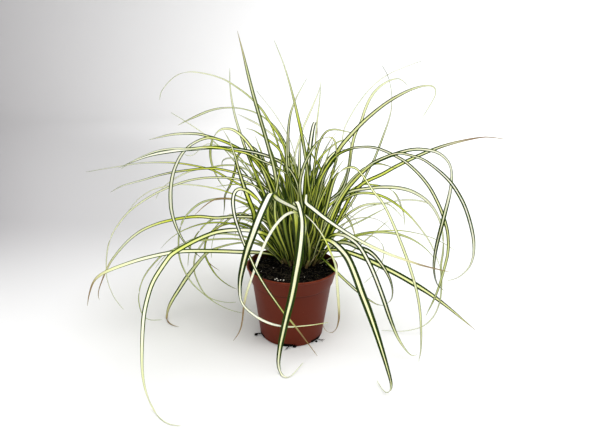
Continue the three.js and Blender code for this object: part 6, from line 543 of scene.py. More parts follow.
        ("front_pale", 0, 0.78, (10.1,0,80,1.7,0, 10,-2.2,87.7,2.3,-1, 10.1,-2.9,91.7,2.7,-1, 10.1,-3.5,95.8,3,-1, 9.5,-5.6,123.8,3.1,0, 9.4,-7.5,131.8,3.1,0, 9,-11.2,139.6,3.1,2, 6.3,-17.5,149.7,3.1,-8, 4.9,-19.7,152.4,2.9,-22, 3.3,-22.2,154.5,3,-60, 1.3,-24.8,156,3,-73, -1.3,-27.4,156.6,3.1,-79, -7.4,-31.7,154.7,3.1,-85, -15.4,-37.6,148.1,3.1,-85, -23.7,-45,136.5,3,-84, -30.2,-51.5,123.2,2.8,-84, -35.6,-57.5,109.3,2.6,-84, -39.5,-61.1,98.5,2.6,-85, -41.9,-61.7,91,2.6,-85, -45.5,-60.5,79.6,2.5,-87, -48.9,-57.6,64.1,2.2,-91, -52.1,-53.9,40.5,1.6,-89, -53.8,-52.8,32.7,1.3,-85, -56.7,-51.7,25.3,1,-79, -62.8,-50,15,0.6,-74)),
        ("right_thin", 0, 0.79, (8.2,-0.2,80,1.3,1, 7.7,-2.6,91.4,1.3,2, 6.5,-4,114.9,1.3,2, 5.5,-6.7,143,1.3,10, 5.7,-7.6,146.8,1.3,16, 6.6,-9.1,150.1,1.3,24, 8.4,-11.2,151.9,1.3,64, 10.9,-13.6,151.9,1.3,72, 21.1,-23.8,145.8,1.7,84, 27.9,-31.3,139.5,1.7,83, 32.1,-35.8,134.4,1.8,82, 35.8,-40.2,128.9,1.9,82, 40.4,-46.1,119.5,2.2,81, 43.6,-49,112.9,2.3,82, 46.1,-50.9,105.6,2.4,84, 47.6,-53.3,90,2.8,85, 49.4,-53.7,74.2,3,85, 51.7,-50.2,50.6,2.4,91, 51.8,-48.8,42.8,2,100, 51,-47.3,35,1.5,120, 50.1,-46.7,31.2,1.2,138, 48.4,-46.2,27.8,0.9,163, 45.7,-46.1,25.4,0.7,108, 42.3,-46,25.2,0.6,67, 39.2,-46,27.1,0.6,-26, 36.8,-46,30.2,0.6,-48, 34,-46,37.5,0.6,-71)),
        ("CCYY", 0.27, 0, (9,1.7,80,1.7,-1, 8.9,0.8,87.7,2.3,-2, 9.1,1.2,91.5,2.7,-2, 9.7,4.6,103,3,-2, 7.6,6.6,114.8,3,-2, 6.1,5.6,127.3,3.1,-4, 5.5,1.5,140.7,3.4,-3, 4.5,0.1,149,3.6,-1, 3.6,-0.1,152.9,3.7,0, 0.8,0.9,160,3.8,2, -1.1,3.3,167.1,3.7,2, -2,4.5,174.7,3.6,3, -3.1,4.1,182.7,3.5,3, -7.1,2.6,198.4,2.9,3, -7.8,2.5,218.4,1.7,1, -7.2,2,238.4,0.6,1)),
    ],
    "shoot_front_right_1": [
        ("right_front", 0, 0.87, (12.2,3.2,80,1.7,0, 12.6,0.5,91.5,2.2,1, 11.5,-0.3,107.8,2.2,3, 11.6,0.8,123.3,2.2,2, 11.8,0.8,139.3,2.2,1, 13.3,2.6,151.6,2.2,1, 14,2.4,159.5,2.2,2, 14.2,0.2,167,2.2,3, 14.2,-2.3,169.6,2.2,5, 14.3,-5.8,170.3,2.2,5, 14.2,-9.2,169.1,2.2,6, 13.9,-15.5,164.9,5.1,15, 14.9,-19,164,5.6,26, 19.2,-25.3,162.3,5.8,37, 24.7,-30,159.2,5.5,40, 30.7,-33.7,155.4,5.3,41, 43.5,-39.3,147.7,4.8,42, 56.7,-44.9,140.7,4.2,42, 73.8,-51.5,132.9,3.5,42, 99.2,-59.3,124.1,2.7,42, 114.2,-63.2,120.2,2.3,41, 129.3,-66.8,116.5,1.8,41, 156.3,-72,111.9,0.6,41)),
        ("WWYY", 0.52, 0, (11,4.8,80,1.7,-4, 12.7,2.9,88.3,2.3,0, 13,2.5,92.7,2.7,1, 12.9,2.3,101.5,3.3,4, 9.5,3.9,121.1,4,4, 10.3,3.9,132.8,4,2, 11.1,4.7,140.8,4,2, 9.5,8.9,156.5,4,2, 7.2,9,172.5,4,1, 7.2,8.4,180,4,-1, 8.9,6,191.5,3.9,-4, 13.5,2.2,206.5,3.7,-7, 22.3,-3,223.8,2.9,1, 27.3,-5.3,229.6,2.5,24, 30.5,-6.5,231.7,2.1,45, 34.1,-7.7,232.9,1.7,77, 37.7,-8.8,233.1,1.6,97, 40.9,-9.7,231.6,1.8,113, 42.9,-10.6,228.5,2,123, 44.2,-12,220.8,2,131, 45.1,-14,204.8,0.7,135)),
        ("D", 0, 0, (13,5,80,1.7,24, 13.4,-0.3,83.9,2,25, 14.1,0.1,87.8,2.3,24, 14.7,1.2,91.6,2.7,22, 15.1,1.6,95.3,3,21, 15.3,0.5,102.9,3.6,19, 14.4,-2.5,118.8,4.9,14, 15.5,-2.8,131.2,5.3,9, 17.6,-7,146.7,5.3,3, 23.7,-11.3,174.1,3.2,-6, 29.1,-17.9,201,0.6,-14)),
    ],
    "shoot_front_right_2": [
        ("O", 0, 0, (11.9,9.9,80,1.7,-13, 12.5,8.5,92.1,2.7,-8, 12.7,8.1,96.1,3,-7, 13.8,7.3,112.5,4.3,1, 15.1,4.5,129.5,5.4,8, 17.2,1,140.8,5.6,15, 17.7,-5.3,163.9,4.6,27, 20.7,-13.4,186.9,2.5,38, 24,-20.9,205.5,0.6,46)),
        ("Y", 0, 0, (13.8,10.3,80,1.7,22, 14.5,9.9,87.9,2.4,22, 15,9.6,91.9,2.7,22, 18.6,7.6,115.6,3.8,23, 19,5.2,123.7,3.9,23, 20.3,1.9,131.7,4.1,21, 21.6,1.1,135.8,4.1,20, 25.8,0.8,147.9,4.2,21, 29.1,-0.6,159.5,4.1,21, 34.5,-3.7,174.7,3.2,22, 40.2,-7.5,189.7,2.3,22, 43.9,-9.4,196.9,1.8,22, 54.4,-14.2,213.7,0.6,22)),
        ("Y", 0, 0, (13.2,8.4,80,1.7,42, 13.9,11.5,84.2,2,43, 14.6,7.3,92.6,2.7,39, 16.8,4,113.1,4.2,28, 22,-2.7,132.3,4.6,18, 23.2,-4.3,144.4,4.6,13, 24.2,-5.7,151.8,4.2,8, 28.7,-17.2,177.1,2.2,-7, 34.1,-27.6,193.9,0.6,-18)),
    ],
    "shoot_front_right_3": [
        ("YPPPP", 0.25, 0, (18,8.1,80,1.7,-4, 19.2,9.7,83.5,2,-4, 20.5,9.1,86.9,2.3,-5, 21.9,7.6,90.4,2.7,-5, 23.3,6.4,94.1,3,-4, 24.7,5.7,97.9,3.3,-4, 30.1,5.5,112.8,4.5,-1, 32.7,3,133.2,4.5,0, 37.6,0.4,156.5,4.5,0, 40.1,-2.7,171.9,4.5,1, 43.3,-5.9,186.8,4.2,10, 46.3,-8,193.7,4.1,30, 51.5,-10.8,199.2,3.7,83, 57.9,-13.6,202.9,3.1,115, 61.4,-15,203.4,2.8,122, 64.8,-16.5,202.5,2.6,125, 67.6,-18.1,200.5,2.3,126, 74.8,-22.9,192.4,2.3,127, 83.3,-29.9,180.9,2.5,127, 90.5,-35.2,173.1,2.6,127, 96.3,-40.2,163.9,2.6,126, 104.6,-46.9,147.2,2.8,126, 114,-53.1,126.1,3,126, 119.8,-56.5,111.7,3.1,127, 128.8,-60.5,85.7,2.8,129, 134.3,-62.4,62.5,2.6,132, 137,-63.6,42.9,2.1,133, 138.8,-64.4,23.1,1.5,136, 139.1,-64.7,15.1,1.1,138, 138,-65,3.3,0.6,141)),
        ("OWWWYO", 0.36, 0, (16.7,9.6,80,1.7,-2, 18.7,8.8,87.7,2.3,0, 19.3,8.7,91.5,2.7,1, 23.1,8.7,114.4,3,1, 27.2,10.6,129.1,3,0, 30.8,10.8,141,3.2,-1, 35.8,11.1,151.9,3.4,-3, 39.9,11.5,158.6,3.1,-4, 51.8,12.9,168.8,4.5,-4, 54.3,13.3,171.8,4.9,-4, 57.5,13.7,178.9,5.2,-3, 60.1,14,190.6,4.7,-2, 61.6,14.6,202.4,3.6,-1, 62,15.5,218.3,1.5,-1, 61.3,16,226.1,0.6,0)),
        ("CCYP", 0.35, 0, (18.7,9.9,80,1.7,-1, 21.8,8.9,92,2.7,-2, 25,8.4,103.5,3,-1, 28.6,8.5,119.3,3,1, 29.3,7.9,127.1,3,5, 27.5,7.3,134.7,3,10, 24.5,7.6,142.2,3.1,11, 21.3,8.4,157.9,3.4,10, 17.5,8.8,173.5,3.2,10, 14.8,9.2,193.5,2.8,9, 11.5,9.6,213.5,1.6,10, 8.4,10,233.4,0.6,10)),
    ],
    "shoot_front_right_4": [
        ("right_broad", 0, 0, (18.1,5.4,80,1.7,-2, 19.2,2.9,84.4,2,0, 19.8,2.9,88.6,2.3,2, 20.3,3.9,92.8,2.7,4, 21.6,4.9,100.7,3.3,10, 24,4.2,108.3,3.9,27, 25.8,3.1,111.7,4.3,44, 28,1.4,114.3,4.6,82, 33,-2,117.5,5.2,108, 38.9,-5.8,118.8,5.9,114, 41.9,-8.2,118.7,6.2,112, 47.1,-13.7,117.2,6.8,107, 57.3,-29.9,111.3,8.1,99, 61.7,-39.8,106.1,7.9,94, 67.3,-55.9,95.5,7.8,91, 71.4,-68.3,86.1,7.8,91, 76.2,-80,76.1,7.7,90, 80.9,-90.8,65.3,7.4,90, 85.7,-99.9,52.9,7.1,90, 92.9,-110,32.3,6.1,89, 95,-114.1,25.7,5.3,89, 96.1,-115.7,22.2,4.9,88, 98,-116.8,14.7,3.5,84, 98.1,-116.3,6.8,1.8,69, 96.6,-115.5,3.7,1.1,27, 94.3,-113.6,2.1,0.7,20, 92.3,-110.5,2.1,0.6,17, 90,-102.9,2.1,0.6,18, 88.8,-95,1.4,0.6,20)),
        ("YWWP", 0.41, 0, (18.6,3.5,80,1.7,-7, 22.9,1,90.8,2.7,-3, 29.5,-4.9,116.8,2.7,-2, 36.6,-5.6,135.7,2.7,-3, 46.6,-7.9,161.7,2.7,-4, 53.5,-9.8,176,2.7,-4, 59.4,-11.7,186.1,2.7,-1, 63.9,-13.4,192.4,2.7,9, 68.9,-15.5,198.3,2.7,36, 71.5,-16.8,201,2.7,-10, 74.2,-18.2,203.6,2.7,17, 77,-19.7,206,2.7,105, 82.8,-22.9,210.6,2.7,133, 88.8,-26.2,214.5,2.7,143, 98.1,-31.4,220,2.6,145, 104.7,-35,222,2.6,142, 111.6,-38.9,221.6,2.6,139, 125.2,-46.4,218.5,2.7,136, 131.4,-49.9,215,2.9,135, 140.3,-54.8,208.6,3.2,134, 148.5,-59.3,201.2,3.5,134, 153.3,-62,195.5,3.7,135, 161.5,-66.5,182.6,3.7,135, 166.4,-69.3,172,3.6,136, 171.6,-72.1,157.2,3.5,138, 174.5,-73.7,145.7,3,140, 175.9,-74.5,133.9,2.3,143, 175.6,-74.4,126,1.8,147, 174,-73.5,118.3,1.3,152, 168.7,-70.5,108.1,0.8,159, 163.6,-67.7,102.7,0.6,164, 157.5,-64.3,98.9,0.6,167)),
        ("CCCO", 0.47, 0, (16.7,4.1,80,1.7,0, 17.9,3.3,87.6,2.3,0, 18.5,3.2,91.5,2.7,1, 20.6,3,107.2,3.9,0, 24.8,4.7,123,5.2,0, 23.9,6.4,130.6,5.2,1, 21.1,6.4,138.9,5.2,-1, 20.5,4.7,147.6,5.2,-7, 24.8,2.8,166.8,5,-10, 27.5,-0.2,182,4.7,-13, 37.1,-5.1,203.3,3.1,-18, 43.8,-7.5,212.9,2.1,-21, 53.4,-9.8,219.4,1.3,-25, 64.5,-12,223.3,0.6,-26)),
    ],
    "shoot_front_right_5": [
        ("right_second", 0, 0, (24,8,80,1.7,161, 28.3,6.5,91.3,2.7,162, 34.5,5.7,106.5,3.9,159, 38.3,5.5,113.6,4.1,156, 42.7,4.5,119.5,4.1,150, 48.8,1.8,122.6,4.2,141, 55.8,-1.5,123.5,4.5,135, 62.5,-5.2,121.8,4.8,129, 71.3,-11.9,117.1,5.2,125, 75.9,-16.8,112.7,5.3,122, 83,-26.6,102.3,5.3,119, 89.3,-34.8,90.1,5.2,118, 97.9,-44.6,69.8,5.1,119, 107.5,-52.2,44.5,4.8,118, 115.7,-55.6,26.5,4.1,114, 124.3,-55.8,13,2.7,107, 129.4,-55.4,6.8,1.9,100, 132.3,-55.1,4.4,1.3,93, 135.5,-54.6,3.5,0.8,84, 138.9,-54,4.8,0.6,79)),
        ("KGWY", 0.14, 0, (24.1,6,80,1.7,156, 29.4,4.3,90.3,2.6,143, 31.2,2.8,93,2.6,130, 32.9,0.2,94.4,2.6,108, 35.8,-6.7,95,2.7,89, 40.7,-17.6,94.4,2.8,83, 44.7,-24.3,92.9,2.9,81, 47.1,-27.1,91.5,2.9,81, 52.4,-31.9,87.8,3,80, 58.1,-35.6,83.6,3,80, 64.1,-38.1,78.9,3.1,80, 73.3,-40.6,71.6,3.2,80, 90,-43.4,60.9,2.5,76, 93.6,-43.7,59.3,2,75, 101.5,-44,58.4,0.7,72)),
        ("CYVVEW", 0.28, 0, (22.3,7,80,1.7,160, 27,4.5,90.8,2.7,162, 31,2.8,102,3.6,164, 38.4,2.8,125,5.1,165, 42.9,2.1,140.4,5.1,164, 48.2,1.3,155.4,5.1,163, 54.8,-0.6,169.7,5.1,161, 62.8,-3.7,183.1,4.9,158, 77.2,-9.5,201.3,4.5,155, 85.6,-13,209,4.3,152, 108.9,-22.3,221.1,3.8,149, 119.4,-26.6,224.6,3.6,147, 126.7,-29.6,225.5,3.5,146, 137.7,-34,224.7,3.2,145, 144.6,-36.8,222.3,2.9,145, 150.4,-39.1,217.6,2.5,145, 152.8,-40.1,214.5,2.3,146, 155.8,-41.3,207.4,2.2,148, 157.1,-41.9,195.6,3,150, 156.9,-41.8,183.6,3.5,151, 154,-40.6,155.9,4.4,152, 150.7,-39.2,124.2,3.8,151, 150.5,-39.2,104.3,2.8,147, 152.5,-40,92.6,1.9,143, 155.1,-41,85.2,1.3,139, 157.2,-41.9,82,1,136, 163.1,-44.3,77.6,0.6,133)),
    ],
    "shoot_left_1": [
        ("YPPP", 0.28, 0, (-4.1,12.8,80,1.7,-162, -8.8,12.4,91.2,2.5,-164, -10,12.5,95.1,2.5,-164, -13.9,13,110.5,2.5,-166, -17.2,13.8,126.3,2.5,-166, -24,13.3,149.6,2.5,-163, -29.1,12.4,160.5,2.5,-160, -36.7,11.3,170,2.5,-158, -43.1,11.5,174.7,2.5,-157, -53.8,11.3,179.8,2.5,-157, -61.4,10.6,182.2,2.5,-156, -73.2,9.4,184.2,2.4,-156, -85.2,8.2,184.5,2.4,-157, -101.1,6.6,183.7,2.3,-157, -120.7,4.6,179.6,2.3,-159, -146.6,2,169.3,2.1,-162, -160.6,0.6,161.5,2,-163, -173.9,-0.7,152.5,1.8,-165, -183.1,-1.6,144.9,1.8,-166, -188.6,-2.1,139.1,1.7,-166, -196,-2.8,129.6,1.6,-154, -200.6,-3.2,123,1.5,-127, -202.6,-3.4,119.5,1.5,-174, -204.4,-3.6,116,1.4,-144, -206,-3.7,112.3,1.4,-57, -208.8,-3.9,104.8,1.3,-31, -212.3,-4.2,89.1,1.1,-20, -214.2,-4.3,73.2,0.9,-20, -214.4,-4.3,65.2,0.8,-23, -212.6,-4,53.3,0.7,-26, -209.3,-3.6,41.7,0.6,-28, -204.2,-2.9,30.8,0.6,-31, -199.9,-2.4,24.1,0.6,-31)),
        ("GGGG", 0.22, 0, (-4.7,14.7,80,1.7,-160, -10.3,14.5,90.4,2.6,-161, -23,16.1,115.3,2.6,-161, -31.5,17.8,128.9,2.6,-160, -36.6,18.5,135,2.6,-159, -42.2,18.4,140.7,2.6,-159, -51.1,17.8,148.7,2.5,-158, -57.6,17.5,153.2,2.5,-157, -64.9,17.1,156.3,2.5,-157, -72.6,16.7,158,2.4,-157, -80.6,16.1,158.4,2.4,-158, -88.5,15.5,157.6,2.4,-158, -96.3,14.9,156.3,2.3,-159, -103.8,14.3,153.9,2.3,-160, -110.5,13.5,149.8,2.3,-160, -116.4,12.3,144.7,2.3,-155, -123.9,9.9,136,2.2,-121, -125.9,9.4,132.5,2.2,-168, -127.5,9,128.8,2.2,-139, -128.8,8.7,125,2.1,-52, -130.9,6.8,113.3,2,-19, -131.2,3.9,97.7,1.8,-11, -130.2,2.5,89.9,1.8,-12, -128,1.1,82.4,1.7,-12, -123.1,-1.2,71.7,1.6,-13, -116.7,-3.6,61.9,1.4,-13, -111.2,-5.2,56.4,1.3,-13, -88.9,-11.3,40.8,0.9,-11, -70.8,-16.1,34.1,0.6,-9, -55.5,-20,32.3,0.6,-7)),
        ("G", 0, 0, (-6,13.2,80,1.7,-121, -13,13.4,89.1,2.7,-118, -21.4,12.7,97.6,3.3,-114, -27.7,12,102.4,3.4,-111, -38.2,11.3,108.2,3.6,-107, -49.3,10.7,112.8,3.7,-103, -60.8,10.1,116,3.8,-99, -72.7,9.6,117.8,3.9,-95, -84.7,9.2,118.1,4,-91, -96.6,8.8,116.9,3.9,-87, -108.3,8.5,114.2,3.4,-84, -115.8,8.4,111.5,3.1,-81, -126.7,8.3,106.4,2.6,-78, -136.8,8.2,100,2.1,-74, -146.1,8.1,92.4,1.6,-70, -154.3,8.1,83.7,0.9,-67, -161.4,8.2,74,0.6,-64)),
    ],
    "shoot_left_10": [
        ("OPPP", 0.65, 0, (-6.9,26.3,80,1.3,-162, -12.8,29.2,90.2,1.3,-162, -19.5,32.4,104.6,1.3,-163, -28.7,37,130.4,1.3,-163, -36.5,40.7,152.6,1.3,-163, -44.1,44.3,170.5,1.3,-163, -53.9,48.7,187.2,1.3,-164, -64.2,53.3,198.3,1.3,-167, -70.3,55.9,202.5,1.3,-170, -77,58.8,205.6,1.3,-173, -94.6,66.4,210.6,1.1,-178, -101.8,69.4,212,1,-185, -105.4,70.8,211.8,0.9,-191, -112,73.6,208.7,0.9,-201, -126,80.4,196.6,0.6,-198, -133,83.1,194.7,0.6,-185, -140.1,86,196.1,0.6,-176)),
        ("OGKG", 0.49, 0.6, (-8.9,26,80,1.7,-157, -16.9,29.6,88.1,2,-157, -19.5,30.8,90.7,2,-157, -30.2,36,101.4,2,-158, -45.5,41.5,113,2,-159, -52.5,43.2,116.6,2,-160, -60,44.3,119.3,2,-161, -67.8,44.6,120.4,2,-162, -75.8,43.8,119.6,2,-161, -87.3,42.2,116.8,2,-154, -94,41,112.6,1.9,-137, -96.9,40.3,110,1.9,-121, -99.7,39.7,107.1,1.9,-167, -102.4,39.1,104.1,1.9,-139, -104.7,38.6,100.9,1.8,-51, -107.6,37.4,93.6,1.8,-26, -107.8,35.5,81.8,1.5,-16, -105.5,34,74.3,1.2,-15, -100.4,32.5,68.6,0.9,-15, -90.2,30.1,62.5,0.6,-14)),
        ("PPGG", 0.31, 0, (-8.1,27.9,80,1.7,-159, -15.1,30.8,89.1,2,-159, -22.1,33.9,98,2,-159, -35.3,39.6,111.8,2,-160, -44.1,42.7,119.3,2,-161, -54.1,45,125.3,2,-161, -65.4,46,128.8,2,-160, -77.1,46,129.8,2.1,-149, -83.8,45.9,126,2.1,-124, -86.9,45.8,123.6,2.1,-171, -89.8,45.8,120.8,2.1,-140, -92.4,45.7,117.8,2.1,-53, -94.8,45.6,114.6,2.1,-36, -107.4,45.2,99.2,2.2,-13, -120.9,44.4,79.5,2.2,-16, -124.2,43.9,68.1,2,-21, -124.7,43.3,60.2,1.9,-24, -124,42.3,52.3,1.7,-26, -121.5,40.9,44.9,1.6,-28, -116.4,38.1,34.5,1.3,-28, -111.8,35.8,28.4,1.2,-27, -105.9,33.3,23.8,1.1,-25, -98.7,30.8,21.8,0.9,-21, -83.7,25.4,21.4,0.7,-17, -76.3,22.7,22.4,0.6,-13, -69.2,20,24.9,0.6,-10)),
    ],
    "shoot_left_2": [
        ("YOYP", 0.36, 0, (-0.4,13.9,80,1.7,-166, -3.3,13.7,91.6,2.7,-167, -4.1,13.9,95.5,3,-167, -7.7,15.4,114.7,3,-167, -11.7,15.1,130.3,3,-167, -14.1,15.6,142.4,3,-167, -16.5,16.3,150.3,3,-166, -19.8,17,157.6,3,-165, -26.7,17.7,167.2,3,-163, -36,18.6,174.7,3,-163, -42.8,18.2,179,2.9,-162, -57.3,16.6,185.8,2.8,-162, -72.7,16,190.4,2.7,-162, -88.5,15.3,193.1,2.7,-163, -100.5,14.7,192.8,2.6,-164, -128.4,13.3,189.4,2.4,-165, -148,12.2,185.3,2.1,-166, -167.3,11,179.5,1.8,-167, -186.6,9.8,174.1,1.3,-168, -194,9.3,171.1,0.9,-170, -204.5,8.6,165.1,0.6,-173)),
        ("YPGP", 0.49, 0, (-0.5,11.9,80,1.7,-163, -2.4,12.7,83.8,2,-163, -3.7,12.6,87.5,2.3,-164, -4.7,12,91.3,2.7,-165, -5.6,11.6,95.1,3,-166, -11.4,11.5,119,4.5,-165, -16.3,9.7,134,4.5,-166, -19.6,9.1,149.5,4.5,-167, -24.6,10.7,168.5,4.5,-166, -30.2,13,183.3,4.5,-166, -38.3,17.9,200.7,4.5,-167, -44.1,21.7,210.4,4.3,-168, -50.9,25.7,219.5,4,-170, -61.8,30.5,230,3.5,-174, -68.5,32.8,233.6,3.1,-178, -72.2,33.8,234.6,2.9,-179, -79.8,35.7,234.4,2.5,-177, -83.4,36.6,233.3,2.5,-171, -89.4,38.4,228.5,2.6,-141, -93.5,40.1,222,2.8,-88, -97,42.5,210.9,3,-63, -97.9,44.9,199.2,2.7,-61, -96,47.1,187.6,2.3,-64, -90.7,49.7,172.8,1.6,-66, -86.9,50.9,165.9,1.1,-68, -82,52,159.7,0.6,-69)),
        ("KOKK", 0.61, 0, (1.3,12.8,80,1.7,-166, -1.5,12.1,92,2.7,-168, -5.2,12,116.7,4.6,-169, -7.9,13.6,132.9,4.8,-169, -10.1,15.8,148.3,4.8,-169, -11.9,16.9,155.8,4.8,-168, -18.3,19,170.3,4.5,-167, -29.8,21.3,186.7,3.5,-167, -34.9,22.6,197.6,2,-167, -41.3,24,207.8,0.6,-167)),
    ],
    "shoot_left_3": [
        ("KKOP", 0.65, 0, (1.5,8.7,80,1.7,-164, -0.8,7.2,87.2,1.8,-165, -1.8,7.4,90.9,1.8,-165, -5.7,7.8,106,1.8,-167, -8.5,8.4,121.7,1.8,-167, -11.3,10.2,133.5,1.8,-167, -17.6,13.5,152.4,1.8,-166, -22.1,15.2,167.9,1.8,-167, -26.1,16.1,183.4,1.8,-166, -30.8,14.9,198.6,1.8,-166, -37.1,11.2,217.2,1.6,-165, -42.2,8,232,0.6,-165)),
        ("OVVVY", 0.4, 0, (0.8,6.8,80,1.7,-165, -2.3,6,92.5,2.7,-166, -4.1,5.2,100.3,3.3,-166, -7.3,4.8,111.7,3.3,-166, -12,6.3,134.8,3.3,-167, -16.9,7.9,158.1,3.3,-166, -23,9.4,177.1,3.3,-165, -30.2,10.2,191.4,3.3,-164, -34.7,10.2,198,3.3,-163, -40.1,9.9,203.9,3.3,-162, -49.6,8.7,211.2,3.3,-161, -59.8,7.1,217.4,3.2,-161, -74,4.8,224.4,3.1,-160, -81.5,3.7,227.2,3,-161, -89.2,2.5,228.7,2.9,-161, -96.8,1.2,227.3,2.9,-162, -107.5,-0.5,222.1,2.8,-164, -113.7,-1.4,217.2,3,-165, -119,-2.3,211.2,3.2,-167, -123.2,-2.9,204.4,3.5,-168, -128.1,-3.7,193.5,3.8,-170, -130.4,-4.1,185.8,4,-172, -132.7,-4.4,174,4.2,-173, -133.7,-4.6,162,4.4,-175, -133.6,-4.6,150,4.2,-177, -131.8,-4.3,138.1,3.6,-179, -128.6,-3.8,126.5,3,-181, -124,-3.3,115.5,2.3,-183, -119.7,-2.8,108.8,1.8,-184, -115,-1.9,102.4,1.3,-186, -103.9,0.1,90.9,0.6,-187)),
        ("KOOY", 0.58, 0, (-0.5,8.3,80,1.7,-166, -3.9,7.7,92.3,2.7,-164, -8.5,7.1,102.8,3.6,-162, -12,7.7,109.5,4.3,-161, -20.4,10.8,127.5,4.8,-162, -26.5,12.8,142.4,4.8,-162, -31.8,14.6,157.4,4.8,-162, -35.4,15,168.9,4.3,-162, -40.1,14.3,180.3,3.9,-161, -47,15.4,199.1,2.1,-161, -53,16,214,0.6,-161)),
    ],
    "shoot_left_4": [
        ("KYEEYY", 0.23, 0.96, (2.6,3.4,80,1.7,-8, 4,3.2,83.7,2,-2, 3.2,2.3,87.2,2.3,6, 1.3,1.5,90.9,2.7,9, -0.4,1,94.7,3,9, -1.6,0.9,98.7,3.3,9, -7.5,1.2,122.2,5.2,8, -10.2,1.6,138.1,5.2,8, -13.9,0.1,157.7,5,8, -18,-0.6,181,4.8,8, -19.1,-1.5,189,4.8,8, -21.2,-3.5,200.9,4.7,9, -28.2,-7.1,228.1,4.4,10, -34.8,-8.5,251.1,4.1,9, -41.1,-10.6,274.1,3.8,9, -45.8,-12.4,293.5,3.2,9, -50.1,-14.2,313,2.3,9, -54.8,-16,332.4,0.6,9)),
        ("OOOO", 0.64, 0, (4.4,2.5,80,1.7,-2, 2.9,0.3,91.9,2.7,-1, 2.1,0,95.9,2.9,0, -0.2,-0.3,108,2.9,-1, -2,0.4,119.6,2.9,-1, -3.6,2.8,131.4,2.9,-2, -2,5.7,155.1,2.9,-2, -3.2,8.1,171.1,2.9,-1, -5.3,8,183,2.9,-1, -9.3,5.6,202.2,2.9,2, -14.9,1.3,216.8,2.8,8, -19.9,-0.6,222.6,2.8,11, -38.5,-6.5,236.6,2.1,16, -41.9,-7.7,238.5,1.6,17, -49.2,-10,240.7,0.6,18)),
        ("KOCO", 0.65, 0, (4.3,4.5,80,1.7,2, 2.9,2.9,84.4,2,-1, 2.4,2.3,88.5,2.3,-3, 2,2.4,92.6,2.7,-4, -1.2,4,112.4,4.3,-5, -1.7,5,120.6,4.8,-6, -0.2,7.6,140.6,4.8,-6, -1.1,9.1,148.6,4.8,-6, -2.9,10.1,156.3,4.8,-5, -5.4,10,163.8,4.8,-4, -12.6,5.8,186.7,3,0, -22.5,2.3,199.3,0.6,4)),
    ],
    "shoot_left_5": [
        ("YPPP", 0.55, 0, (0.7,22.5,80,1.7,-165, -4,24.4,91,2.7,-165, -7.3,25.2,98.4,3.3,-164, -16.4,27.4,120.5,3.6,-165, -24.2,30,138.8,3.6,-165, -32.5,33.2,156.9,3.6,-164, -41,37.8,175.1,3.6,-164, -49.3,41,193.1,3.6,-164, -57,47.3,210.3,3.4,-164, -62.6,52.1,224.7,3.2,-164, -71.1,60.4,250.2,2.4,-162, -76.2,68.8,276.7,1.4,-160, -77.3,76,299.7,0.6,-158)),
        ("OYPP", 0.54, 0, (-0.2,20.7,80,1.7,-174, 0.2,22.1,83.8,2,-173, -3,22.3,91.2,2.7,-171, -5.9,22.5,98.9,3.3,-172, -12.1,25.3,122.1,3.5,-172, -20,27.7,148.9,3.5,-172, -28.2,30.2,171.4,3.5,-171, -33.6,31.4,182.2,3.5,-171, -40,33.3,192.2,3.5,-171, -47.7,35.7,201,3.5,-173, -53.8,37.4,205.9,3.5,-174, -64,40.3,211.7,3.5,-176, -78.2,44.7,217.7,3.4,-178, -93.1,49.4,221.7,3.3,-180, -111.9,55.3,225.3,3.2,-184, -123.4,58.9,225.4,3.1,-188, -142.4,64.9,223.7,2.7,-192, -153.7,68.5,221.5,2.5,-194, -179.6,76.8,214.4,0.6,-193)),
        ("KOOG", 0.59, 0, (1.8,20.9,80,1.7,-167, -1,22,91.9,1.9,-168, -2.6,22.4,99.8,1.9,-168, -6.4,23,119.6,1.9,-168, -10.4,23.5,139.3,1.9,-167, -14.4,24.2,150.7,1.9,-166, -18.6,24.8,157.5,1.9,-165, -21.3,25.3,160.4,1.9,-165, -24.3,26,162.9,1.9,-165, -31.3,28.1,166.6,1.9,-166, -38.6,30.5,169.2,1.8,-168, -46.2,32.2,170.6,1.7,-170, -65.7,36.6,170.5,1.5,-174, -92.7,43.2,165.5,0.6,-176)),
    ],
    "shoot_left_6": [
        ("YOOO", 0.42, 0, (-7.6,22,80,1.7,-159, -14.9,24.3,89.1,2.6,-159, -22.2,26.9,98.2,2.6,-159, -33.9,31.6,113.2,2.6,-159, -47.3,36.6,127,2.6,-160, -53.8,38.4,131.4,2.6,-162, -61.1,39.6,133.8,2.6,-166, -65,40.1,133.7,2.6,-168, -72.3,40.7,130.7,2.6,-173, -84.4,39.6,120.7,2.5,-170, -97.4,37.7,112.1,2.5,-132, -100.2,37.2,109.4,2.4,-178, -102.7,36.7,106.4,2.4,-148, -104.7,36.1,103.1,2.4,-62, -106.1,35.5,99.5,2.4,-46, -107.6,34.3,91.8,2.4,-31, -107.9,33.2,84,2.3,-27, -107.1,32.6,80.2,2.3,-26, -104,31.2,73,2.3,-27, -98,28.4,63.1,1.9,-26, -93.1,26,57.3,1.6,-25, -87.2,23.3,52.8,1.3,-24, -80.7,20.3,49.4,1.1,-22, -73.8,17.2,46.9,0.8,-21, -66.7,14,45.4,0.6,-19)),
